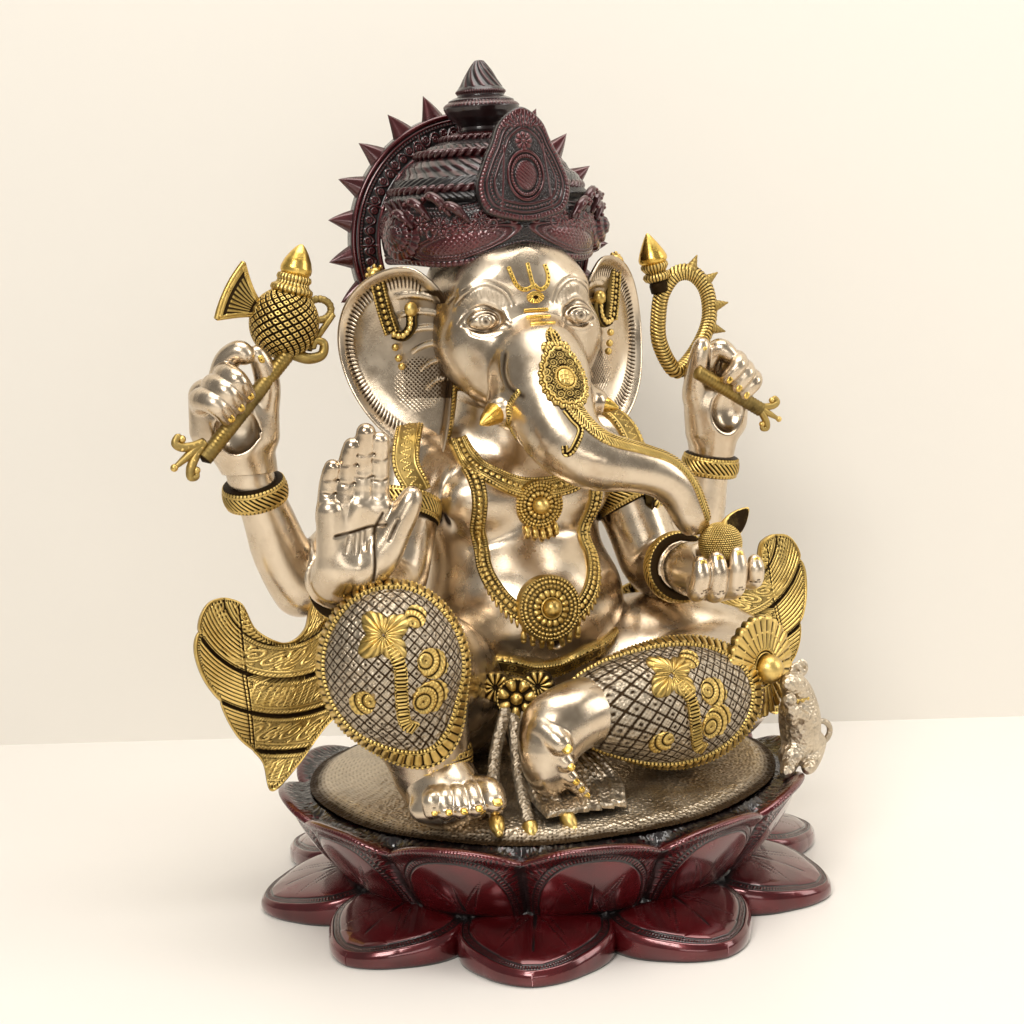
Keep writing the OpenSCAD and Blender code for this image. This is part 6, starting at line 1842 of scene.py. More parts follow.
def mace():
    P = Parts()
    C0 = A(-165, 40, 424.5)
    ax = unit(A(0.28, -0.04, 0.95))
    R = frame_of(ax, (0.8, -0.6, 0))
    # pineapple ball: crossed grooves with a pit in each diamond
    n, m = 420, 220
    ph, th = np.meshgrid(np.arange(n) / n * 2 * PI, np.linspace(0.02, PI - 0.02, m), indexing="ij")
    v_ = (PI / 2 - th)
    u1, u2 = ph * 9 / PI + v_ * 4.2, ph * 9 / PI - v_ * 4.2
    g = np.maximum(bump(((u1 % 1) - 0.5), 0.16), bump(((u2 % 1) - 0.5), 0.16))
    a1, a2 = (u1 % 1), (u2 % 1)
    pit = np.exp(-(np.minimum(a1, 1 - a1) ** 2 + np.minimum(a2, 1 - a2) ** 2) / 0.012)
    rad = 25.0 - 1.4 * g - 1.2 * pit
    loc = np.stack([rad * np.sin(th) * np.cos(ph), rad * np.sin(th) * np.sin(ph), rad * 1.04 * np.cos(th)],
                   -1)
    v = (loc @ R.T + C0).reshape(-1, 3)
    f = grid_faces(n, m, wrap_i=True)
    f = orient(v, f, v - C0)
    # cav: grooves and pits darker, dark patina plus painted shade
    P.put(v, f, np.clip(1.1 * g + 1.2 * pit, 0, 1).ravel())
    # collar of petals and smooth bud on top
    prof = fine([(0, 21), (13, 21), (15, 23.5), (14.5, 26), (11.5, 28), (11, 30), (12.2, 32), (11.5, 34.5),
                 (9.6, 35.4), (9.4, 36)], 0.7)
    lathe(P, C0, ax, prof, n=160, rel=lambda th, z, r: 0.7 * np.abs(np.sin(th * 14)) * (r > 6))
    P.done("mace_ball", GOLD_DARK, slot="yellow_brass", replaces=("mace_head",), rounds=2)
    P = Parts()
    prof = fine([(0, 34), (9.4, 34.4), (11.2, 37), (11.4, 40), (9.6, 45.5), (6.6, 51), (3.6, 55), (1.4, 57),
                 (0, 57.4)], 0.8)
    lathe(P, C0, ax, prof, n=96)
    P.done("mace_bud", GOLD, slot="yellow_brass", rounds=2)
    # axe-like blade and the ring on the other side
    P = Parts()
    bx = unit(A(-0.86, 0, 0.50))
    by = unit(np.cross(bx, A(0, -1, 0)))
    nz = np.cross(bx, by)
    t = np.linspace(0, 1, 40)[:, None] + 0 * np.zeros((1, 61))
    w = np.linspace(-1, 1, 61)[None] + 0 * t
    half = 4.5 + 17.5 * t ** 1.35
    X = 20 + 27 * t - 2.5 * (w ** 2) * t * 1.0
    Y = w * half + 3.0 * t * t
    ribs = 0.6 * np.abs(np.sin(w * PI * 5)) * (t > 0.25) * (t < 0.8) + 0.9 * bump((t - 0.93) * 26,
        1.4) + 0.7 * bump((1 - np.abs(w)) * half - 1.2, 1.2)
    for sg in (1, -1):
        thick = (2.6 - 1.2 * t) * np.sqrt(np.clip(1 - w ** 6, 0, 1)) + ribs * 0.7
        vv = C0 + X[..., None] * bx + Y[..., None] * by + (sg * thick)[..., None] * nz
        vv = vv.reshape(-1, 3)
        ff = orient(vv, grid_faces(40, 61), np.broadcast_to(nz * sg, vv.shape))
        # cav: low ground between the ribs darker, dark patina plus painted shade
        P.put(vv, ff, np.clip(0.8 - ribs, 0, 1).ravel())
    arc = C0 + (X[-1][:, None] * bx + Y[-1][:, None] * by)
    P.tube(arc, 2.2, 8, cav=0.1)
    P.tube(C0 + A(0, 0, 0) + (X[:, 0][:, None] * bx + Y[:, 0][:, None] * by), 1.5, 8, cav=0.1)
    P.tube(C0 + (X[:, -1][:, None] * bx + Y[:, -1][:, None] * by), 1.5, 8, cav=0.1)
    P.tube([C0 + bx * 14, C0 + bx * 24], (7.0, 5.0), 14, cav=0.3)
    P.done("mace_fan", GOLD_DARK, slot="yellow_brass", replaces=("mace_blade",), rounds=2)
    P = Parts()
    q = np.linspace(0, 2 * PI, 60)
    r0 = C0 + A(26, 0, 8)
    P.tube(np.stack([r0[0] + 9 * np.sin(q), r0[1] + 0 * q, r0[2] + 7.5 * np.cos(q)], 1),
           2.4 + 0.5 * np.abs(np.sin(q * 9)), 8, cav=0.3)
    # shaft through the fist
    d = unit(A(-85, -20, -85))
    p0 = A(-203, 22, 366)
    L = np.linspace(-52, 44, 120)
    P.tube(p0 + L[:, None] * d, 5.4 + 0.5 * np.abs(np.sin(L * 1.1)), 14, cav=0.35)
    flourish(P, A(-233, 15, 350) + A(0, 0, -3), A(-0.72, -0.12, -0.50), A(0.35, 0, -0.94), 1.0)
    # curl under the ball
    c1 = C0 + A(14, -8, -22)
    P.tube(spline([C0 + A(4, -4, -22), c1 + A(0, 0, -4), c1 + A(10, 0, -2), c1 + A(12, 0, 6),
                   c1 + A(6, 0, 8), c1 + A(4, 0, 3)], 6), np.linspace(4.6, 2.2, 31), 10, cav=0.3)
    P.tube([C0 + A(16, -2, -20), C0 + A(36, -2, 4)], (2.6, 2.2), 10, cav=0.3)
    P.done("mace_shaft_cast", GOLD_DARK, slot="yellow_brass", replaces=("mace_shaft",), rounds=2)


def noose():
    P = Parts()
    # thick grooved hook: a tall loop with barbs, open eye
    path = closed([(146, 374), (138.5, 392), (139, 412), (143, 428), (154, 441), (168, 441.5), (179, 430),
                   (182, 412), (178, 396), (166, 378), (154, 368)], 14)
    pts = np.column_stack([path[:, 0], np.full(len(path), 60.0), path[:, 1]])
    pts = even(np.vstack([pts, pts[:1]]), 0.55)[:-1]
    c0 = A(160, 60, 406)
    n = len(pts)
    sides = 40
    tan = np.roll(pts, -1, 0) - np.roll(pts, 1, 0)
    tan /= np.linalg.norm(tan, axis=1)[:, None]
    out = np.cross(tan, A(0, 1, 0))
    out *= np.sign((out * (pts - c0)).sum(1))[:, None]
    a = np.arange(sides) / sides * 2 * PI
    s = np.arange(n) * 0.55
    groove = 0.8 * np.abs(np.sin(PI * (s[:, None] + 1.6 * np.abs(np.sin(a))[None] * 2) / 2.6))
    keel = (bump(((a[None] + PI) % (2 * PI) - PI), 0.22)) * 1.2
    r = 6.3 - 0.6 + groove * (np.cos(a)[None] > -0.35) + keel
    V = pts[:, None] + (out[:, None] * np.cos(a)[None, :, None] + A(0, 1, 0)[None, None] * np.sin(a)[None,
        :, None] * 0.85) * r[..., None]
    v = V.reshape(-1, 3)
    f = orient(v, grid_faces(n, sides, wrap_i=True, wrap_j=True), v - np.repeat(pts, sides, 0))
    # cav: grooves darker, dark patina plus painted shade
    P.put(v, f, np.clip(0.7 - groove * 0.9 + 0 * r, 0, 1).ravel())
    # barbs, ribbed
    for (x, z, ang) in ((168, 446, 62), (181, 436, 30), (188, 416, 8), (185, 398, -16)):
        d = A(math.cos(math.radians(ang)), 0, math.sin(math.radians(ang)))
        for q in range(4):
            b = A(x, 60, z) + d * (3.3 * q - 2)
            P.tube([b, b + d * 3.4], (5.4 - 1.25 * q, 4.4 - 1.25 * q), 10, cav=0.3)
    # neck with rings below the bud
    ax = unit(A(-0.20, 0, 0.98))
    base = A(140, 60, 431)
    prof = fine([(0, -2), (7.0, -2), (7.4, 4), (6.6, 6), (9.2, 8), (10.6, 10.5), (9.6, 13), (7.4, 14),
                 (8.6, 15.5), (10.4, 18), (10.2, 20.5), (8.8, 21.5)], 0.7)
    lathe(P, base, ax, prof, n=120, rel=lambda th, z, r: 0.55 * np.abs(np.sin(th * 12)) * (z > 7))
    P.done("noose_cast", GOLD_DARK, slot="yellow_brass", replaces=("noose_loop",), rounds=2)
    P = Parts()
    prof = fine([(0, 20), (9.2, 20.6), (11.2, 23), (11.4, 25.5), (9.4, 30.5), (6.2, 36.5), (3.2, 41.5),
                 (1.2, 44.4), (0, 45)], 0.8)
    lathe(P, base, ax, prof, n=96)
    P.done("noose_bud", GOLD, slot="yellow_brass", rounds=2)
    P = Parts()
    d = unit(A(90, 0, -56))
    p0 = A(186, 34, 349)
    L = np.linspace(-34, 30, 90)
    P.tube(p0 + L[:, None] * d, 5.3 + 0.5 * np.abs(np.sin(L * 1.1)), 14, cav=0.35)
    flourish(P, A(206, 33, 337), A(0.84, -0.05, -0.52), A(-0.45, 0, -0.88), 0.85)
    P.done("noose_shaft_cast", GOLD_DARK, slot="yellow_brass", replaces=("noose_shaft",), rounds=2)


def sweet():
    P = Parts()
    C0 = A(105, -100, 256)
    n, m = 200, 120
    ph, th = np.meshgrid(np.arange(n) / n * 2 * PI, np.linspace(0.02, PI - 0.02, m), indexing="ij")
    ring = np.floor(th * 9.5)
    cell = ph * np.maximum(np.round(9.5 * 2 * np.sin(ring / 9.5 + 0.05)), 1) / (2 * PI) * 3.0 + 0.4 * ring
    dd = ((th * 9.5) % 1 - 0.5) ** 2 + ((cell % 1) - 0.5) ** 2
    b = np.sqrt(np.clip(1 - dd / 0.24, 0, 1))
    rad = 14.6 + 1.2 * b
    v = np.stack([rad * np.sin(th) * np.cos(ph), rad * np.sin(th) * np.sin(ph), rad * 0.95 * np.cos(th)],
                 -1).reshape(-1, 3) + C0
    # cav: gaps between the bumps darker, dark patina plus painted shade
    P.put(v, orient(v, grid_faces(n, m, wrap_i=True), v - C0), np.clip(0.8 - b, 0, 1).ravel())
    # leaf-shaped tip, hollowed like a spoon
    ax = unit(A(0.74, 0.05, 0.62))
    R = frame_of(ax, (0, -1, 0))
    t, w = np.meshgrid(np.linspace(0, 1, 40), np.arange(40) / 40 * 2 * PI, indexing="ij")
    rr = 8.5 * np.sin(PI * np.clip(0.32 + 0.66 * t, 0, 1)) ** 0.8
    dish = 2.4 * (np.cos(w) > 0) * np.cos(w) ** 2 * np.sin(PI * np.clip(t * 1.1 - 0.1, 0, 1))
    v = C0 + A(4, 0, 6) + (t * 26)[..., None] * R[:, 2] + ((rr * 0.62 - dish) * np.cos(w))[..., None] * R[:,
        0] + (rr * np.sin(w))[..., None] * R[:, 1]
    v = v.reshape(-1, 3)
    P.put(v, outward(v, grid_faces(40, 40, wrap_j=True)), (0.5 * (dish > 0.4)).ravel())
    P.done("sweet_cast", GOLD_DARK, slot="yellow_brass", replaces=("modak",), rounds=2)


mace()
noose()
sweet()

# ------------------------------------------------------------------ necklaces, belt, cloth, knee covers
def on1(p, o):
    return BODY.onto(np.asarray(p, float)[None], o)[0]


def ground(h, level=0.5):
    """Flat ground kept bright, so that only the edges of the motifs stay dark."""
    return np.where(h < 0.10, level, h)


def necklaces():
    P = Parts()
    up = spline([(-46, 21, 333), (-42, 6, 321), (-35, -5, 309), (-22, -9, 300), (-4, -11, 296),
                 (16, -12, 295), (34, -10, 299), (46, 2, 312), (50, 20, 330)], 14)

    def band(s, w):
        h = 0.95 * beadrow(s, np.abs(w) - 6.8, 2.3, 1.15)
        h = np.maximum(h, 0.7 * bump(np.abs(w) - 4.9, 0.7))
        h = np.maximum(h, 0.9 * rope(s, np.abs(w) - 3.4, 1.6, 1.1))
        return ground(np.maximum(h, 1.0 * beadrow(s, w, 4.6, 2.1)), 0.40)
    strip(P, BODY, up, 8.6, band, amp=2.2, m=44, base=1.6, sink=2.5)
    P.done("necklace_collar", GOLD_DARK, slot="yellow_brass", replaces=("necklace_upper",), rounds=2)

    P = Parts()
    g = spline([(-45, 2, 318), (-43, -13, 294), (-45, -10, 262), (-43, -24, 236), (-30, -40, 214),
                (-8, -47, 203), (14, -46, 209), (31, -38, 224),
                (42, -18, 248), (46, -12, 280), (46, -6, 306)], 14)

    def long(s, w):
        h = 0.95 * beadrow(s, np.abs(w) - 3.9, 2.3, 1.15)
        return ground(np.maximum(h, 0.95 * beadrow(s, w, 4.2, 2.1)), 0.36)
    strip(P, BODY, g, 6.0, long, amp=2.2, m=34, base=1.6, sink=2.5)
    p = even(BODY.onto(even(g, 1.2), 1.0), 5.2)
    for q in p[5:-5]:
        a = q + A(0, -1.0, -7.0)
        P.tube([on1(a, 1.2), on1(a + A(0, 0, -5.5), 1.4)], (1.9, 0.8), 7, cav=0.1)
    P.done("necklace_garland", GOLD_DARK, slot="yellow_brass", replaces=("necklace_long",), rounds=2)

    def boss(c, R0, ball, tassel, name):
        P = Parts()
        c = on1(c, 1.0)
        R = frame_of(BODY.grad(c[None])[0] * A(0.3, 1, 0.6), (0, 0, 1))

        def rosette(px, py, r):
            th = np.arctan2(py, px)
            d = np.hypot(px, py)
            h = 0.95 * beadrow(th * R0 * 0.92, d - R0 * 0.92, 2.4, 1.2)
            h = np.maximum(h, 0.85 * bump(d - R0 * 0.80, 1.4) * (0.5 + 0.5 * np.abs(np.sin(th * 20))))
            h = np.maximum(h, 0.9 * beadrow(th * R0 * 0.66, d - R0 * 0.66, 2.9, 1.4))
            h = np.maximum(h, 0.9 * (0.4 + 0.6 * np.abs(np.sin(th * 8))) * bump(d - R0 * 0.46, R0 * 0.12))
            return ground(np.maximum(h, 0.7 * bump(d - R0 * 0.31, 0.9)), 0.40)
        patch(P, None, c, R, R0, R0, rosette, amp=2.6, base=2.6, sink=5.0, nr=70, na=220, free=lambda x,
              y: -(x * x + y * y) * 0.006)
        P.ball(c + R[:, 2] * 4.4, ball, 18, cav=0.0)
        for k in range(tassel):
            b0 = c + A((k - (tassel - 1) / 2) * R0 * 0.30, -1,
                       -R0 * (0.98 - 0.10 * abs(k - (tassel - 1) / 2)))
            a, b = on1(b0, 1.6), on1(b0 + A(0, 0, -8), 1.6)
            P.tube([a, a * 0.4 + b * 0.6, b], (1.5, 2.4, 1.6), 8, cav=0.15)
            P.ball(b, 2.0, 7, cav=0.0)
        P.done(name, GOLD_DARK, slot="yellow_brass", rounds=2)
    boss((3, -12, 283), 18.5, 6.4, 5, "pendant_upper")
    boss((-6, -47, 213), 24.0, 6.6, 7, "pendant_lower")


def belt():
    P = Parts()
    pts = spline([(-64, -20, 168), (-50, -36, 160), (-30, -44, 154), (-8, -46, 152), (16, -46, 154),
                  (38, -40, 160), (56, -28, 168), (66, -12, 176)], 14)

    def band(s, w):
        h = 0.95 * beadrow(s, np.abs(w) - 6.9, 2.3, 1.15)
        h = np.maximum(h, 0.75 * bump(np.abs(w) - 5.0, 0.7))
        q = ((s / 12.5) % 1 - 0.5) * 12.5
        rad = np.hypot(q, w)
        th = np.arctan2(w, q)
        h = np.maximum(h, 0.9 * bump(rad, 1.7))
        return ground(np.maximum(h, 0.85 * bump(rad - 3.1, 1.0) * (0.5 + 0.5 * np.abs(np.sin(th * 4)))), 0.42)
    strip(P, BODY, pts, 8.4, band, amp=2.2, m=44, base=2.0, sink=3.0)
    P.done("belt_band", GOLD_DARK, slot="yellow_brass", replaces=("belt",), rounds=2)
    # flower bow under the belly
    P = Parts()
    c = A(-44, -74, 158)
    R = frame_of(unit(A(-0.42, -0.90, 0.10)), (0, 0, 1))

    def fl(x, y, r):
        th = np.arctan2(y, x)
        rad = np.hypot(x, y)
        h = 0.95 * np.abs(np.sin(th * 3.5 + 0.4)) * bump(rad - 9.5, 4.2)
        h = np.maximum(h, 0.7 * bump(rad - 13.6, 1.0) * (0.5 + 0.5 * np.abs(np.sin(th * 16))))
        return np.maximum(h, 0.8 * bump(rad, 3.4))
    patch(P, None, c, R, 14.5, 14.5, fl, amp=2.6, base=2.6, sink=6.0, nr=46, na=150,
          shape=lambda th: 1 + 0.06 * np.abs(np.sin(th * 3.5 + 0.4)))
    for sg, ux in ((-1, 1), (1, 1), (0, -1)):
        c2 = c + R[:, 1] * sg * 15 + R[:, 0] * (ux * 8 if sg else -13) - R[:, 2] * 2.0
        patch(P, None, c2, R, 11, 12, lambda x, y,
              r: 0.85 * np.abs(np.sin(np.arctan2(y, x) * 5.5)) * bump(np.hypot(x, y) - 6.0, 4.8),
              amp=2.2, base=2.2, sink=6.0, nr=36, na=120, shape=lambda th: 0.86 + 0.14 * np.abs(np.sin(th * 2.5)))
    P.ball(c + R[:, 2] * 3.6, 4.4, 14, cav=0.0)
    P.done("belt_bow", GOLD_DARK, slot="yellow_brass", rounds=2)
    # twisted cords with gold tips hanging from the bow
    P = Parts()
    Q = Parts()
    for q in (((-54, -76, 150), (-70, -96, 126), (-82, -122, 103), (-86, -138, 93)),
              ((-48, -76, 146), (-56, -102, 118), (-62, -128, 98), (-64, -142, 87)),
              ((-40, -76, 148), (-42, -100, 120), (-40, -128, 100), (-38, -145, 90))):
        pts = even(spline(q, 14), 0.6)
        k = len(pts)
        a = np.arange(k) * 0.6 / 7.5 * 2 * PI
        for ph in (0, 2 * PI / 3, 4 * PI / 3):
            off = np.stack([np.cos(a + ph), np.zeros(k), np.sin(a + ph)], 1) * 2.1
            P.tube(pts + off, 2.5, 9, cav=0.3)
        d = unit(pts[-1] - pts[-8])
        Q.tube([pts[-1] - d * 3, pts[-1] - d * 1, pts[-1] + d * 5, pts[-1] + d * 10], (5.0, 5.6, 4.8, 2.4),
               18, cav=0.15)
        Q.ball(pts[-1] + d * 10, 2.8, 10, cav=0.0)
    P.done("cords", SILVER_ROUGH, slot="silvered_brass", rounds=2)
    Q.done("cord_tips", GOLD_DARK, slot="yellow_brass", rounds=2)


def cloth():
    """Draped cloth: folds between the legs, ends over both shoulders."""
    P = Parts()
    for i in range(6):
        pts = even(spline([(-42 + 6 * i, -40, 152), (-46 + 8.5 * i, -88, 120), (-48 + 11 * i, -116, 100),
                           (-47 + 9 * i, -146, 93)], 14), 0.9)
        fold = lambda s, w, k=i: np.clip(0.25 + 0.45 * np.abs(np.sin(PI * (s / 26 + 0.1 * k))) + 0.3 * bump(np.abs(w) - 3.4, 1.5), 0, 1)
        strip(P, None, pts, 6.6, fold, amp=3.4, m=22, base=3.0, sink=0.0, lay=False, nrm=(0, -0.6, 0.8),
              back=5.0)
    P.done("pleats", SILVER_ROUGH, slot="silvered_brass", replaces=("dhoti_pleats",), rounds=2)
    P = Parts()
    for s in (-1, 1):
        pts = spline([(s * 70, 44, 338), (s * 82, 24, 334), (s * 90, 8, 318), (s * 84, -4, 300)], 14)

        def scarf(s_, w):
            h = 0.95 * beadrow(s_, np.abs(w) - 8.6, 2.6, 1.3)
            h = np.maximum(h, 0.8 * bump(np.abs(w) - 6.4, 0.7))
            return ground(np.maximum(h, 0.85 * zig(s_, w, 6.0, 3.4, 0.9) * (np.abs(w) < 5.4)), 0.42)
        strip(P, BODY, pts, 10.5, scarf, amp=1.9, m=46, base=1.4, sink=3.0)
    P.done("shoulder_cloth", GOLD_DARK, slot="yellow_brass", rounds=2)


def cover(name, part, C0, face, rad, a_max, stretch, turn):
    """Knee cover: silvered stippled ground, gilt rim, flower, strap and fan laid on it."""
    R0 = frame_of(unit(A(*face)), (0, 0, 1))
    ct, st = math.cos(math.radians(turn)), math.sin(math.radians(turn))
    # columns: right, up, outward
    rt, upv = -R0[:, 1], R0[:, 0]
    R = np.column_stack([rt * ct + upv * st, upv * ct - rt * st, R0[:, 2]])
    C0 = A(*C0)
    L = rad * math.radians(a_max)
    shp = lambda th: 1 + (stretch - 1) * np.cos(th) ** 2 + 0.02 * np.abs(np.cos(th * 16))

    def field(x, y, r):
        q = lattice(x, y, 8.0, 0.9)
        dots = bump(np.hypot(((x / 8.0) % 1 - 0.5) * 8, ((y / 8.0) % 1 - 0.5) * 8), 1.1)
        h = np.clip(0.55 - 0.45 * q - 0.4 * dots, 0, 1) + 0.12 * np.sin(x * 3.1) * np.sin(y * 2.9)
        return np.clip(h, 0, 1)
    P = Parts()
    dome(P, LEGS, C0, R, rad, field, a_max=a_max * 0.84, start=1.5, amp=1.0, base=1.0, sink=1.0, nr=110,
         na=330, shape=shp)
    P.done(name + "_ground", SILVER_ROUGH, slot="silvered_brass", replaces=(part,), rounds=2)

    def at(x, y):
        """Point on the leg at arc lengths x, y from the middle."""
        a = math.hypot(x, y) / rad
        th = math.atan2(y, x)
        d = math.sin(a) * (math.cos(th) * R[:, 0] + math.sin(th) * R[:, 1]) + math.cos(a) * R[:, 2]
        S = (C0 + d * rad * 1.5)[None]
        for _ in range(40):
            S = S - d * np.clip(LEGS.sample(S), -2, 4)[:, None] * 0.95
        return S[0]
    P = Parts()
    th = np.linspace(0, 2 * PI, 120, endpoint=False)
    rim = np.array([at(L * 0.86 * float(1 + (stretch - 1) * math.cos(t) ** 2) * math.cos(t),
                       L * 0.86 * float(1 + (stretch - 1) * math.cos(t) ** 2) * math.sin(t)) for t in th])

    def edge(s, w):
        h = 0.95 * beadrow(s, w - 6.9, 2.8, 1.35)
        h = np.maximum(h, 0.95 * beadrow(s, w + 6.9, 2.8, 1.35))
        q = ((s / 5.4) % 1 - 0.5) * 5.4
        h = np.maximum(h, 0.9 * np.sqrt(np.clip(1 - (q / 2.5) ** 2, 0, 1)) * (np.abs(w) < 4.9 - 0.22 * q * q))
        return np.maximum(h, 0.6 * bump(np.abs(w) - 5.2, 0.5))
    strip(P, LEGS, rim, 8.4, edge, amp=2.2, m=46, base=1.6, sink=2.0, wrap=True)
    # flower with four petals
    for k in range(4):
        a = math.radians(35 + 90 * k)
        cx, cy = -L * 0.10 + 9.5 * math.cos(a), L * 0.30 + 9.5 * math.sin(a)
        p = at(cx, cy)
        n = LEGS.grad(p[None])[0]
        F = frame_of(n, math.cos(a) * R[:, 0] + math.sin(a) * R[:, 1])
        patch(P, LEGS, p, F, 9.5, 8.0, lambda x, y,
              r: np.clip(0.95 - 0.5 * r ** 2, 0,
                         1) * (0.62 + 0.38 * np.abs(np.sin(np.arctan2(y, x + 9.5) * 9))),
              amp=3.2, base=1.4, sink=1.5, nr=30, na=90, lift=12.0, shape=lambda t: 1 + 0.06 * np.cos(3 * t))
    # ribbed strap curling down from the flower
    pts = np.array([at(x, y) for x, y in spline([(-L * 0.06, L * 0.22, 0), (L * 0.02, L * 0.02, 0),
                                                 (L * 0.02, -L * 0.25, 0), (L * 0.04, -L * 0.50,
                                                                0), (L * 0.14, -L * 0.58, 0)], 9)[:, :2]])
    strip(P, LEGS, pts, 4.6, lambda s, w: np.maximum(0.95 * np.abs(np.sin(PI * s / 2.4)) * (np.abs(w) < 3.0), 0.9 * beadrow(s, np.abs(w) - 3.8, 2.0, 0.9)),
          amp=3.0, m=28, base=1.8, sink=1.5)
    # fan of feathers beside the strap

    def fan(x, y, r):
        t = np.arctan2(y, x + 6)
        d = np.hypot(x + 6, y)
        return np.clip(0.25 + 0.7 * np.abs(np.sin(d * PI / 5.2)) * (0.6 + 0.4 * np.abs(np.sin(t * 11))), 0, 1)
    for fx, fy, fr, tw in ((0.34, 0.02, 11.0, -20), (0.30, -0.30, 12.5, 15), (-0.34, -0.30, 9.0, 200),
                           (0.20, 0.46, 8.0, 60)):
        p = at(L * fx, L * fy)
        n = LEGS.grad(p[None])[0]
        tw = math.radians(tw)
        F = frame_of(n, math.cos(tw) * R[:, 0] + math.sin(tw) * R[:, 1])
        patch(P, LEGS, p, F, fr, fr * 0.86, fan, amp=2.4, base=1.4, sink=1.5, nr=40, na=120, lift=12.0,
              shape=lambda t: 1 + 0.05 * np.abs(np.sin(t * 7)))
    P.done(name + "_gilding", GOLD_DARK, slot="yellow_brass", rounds=2)


necklaces()
belt()
cloth()
cover("knee_cover_r", "knee_cover_right", (-134, -84, 197), (-0.24, -0.96, 0.14), 47.5, 86, 1.0, 0)
cover("knee_cover_l", "knee_cover_left", (66, -84, 146), (-0.12, -0.98, 0.16), 46.0, 78, 1.14, 8)

# ------------------------------------------------------------------ sash ends, sunburst, mouse
OUTLINE = [(2, 52), (14, 28), (30, 20), (50, 32), (60, 54), (80, 56), (94, 32), (92, 6), (82, -20),
           (70, -46), (56, -64), (52, -86),
           (30, -70), (4, -44), (-30, -24), (-74, -14), (-74, 26), (-30, 40)]


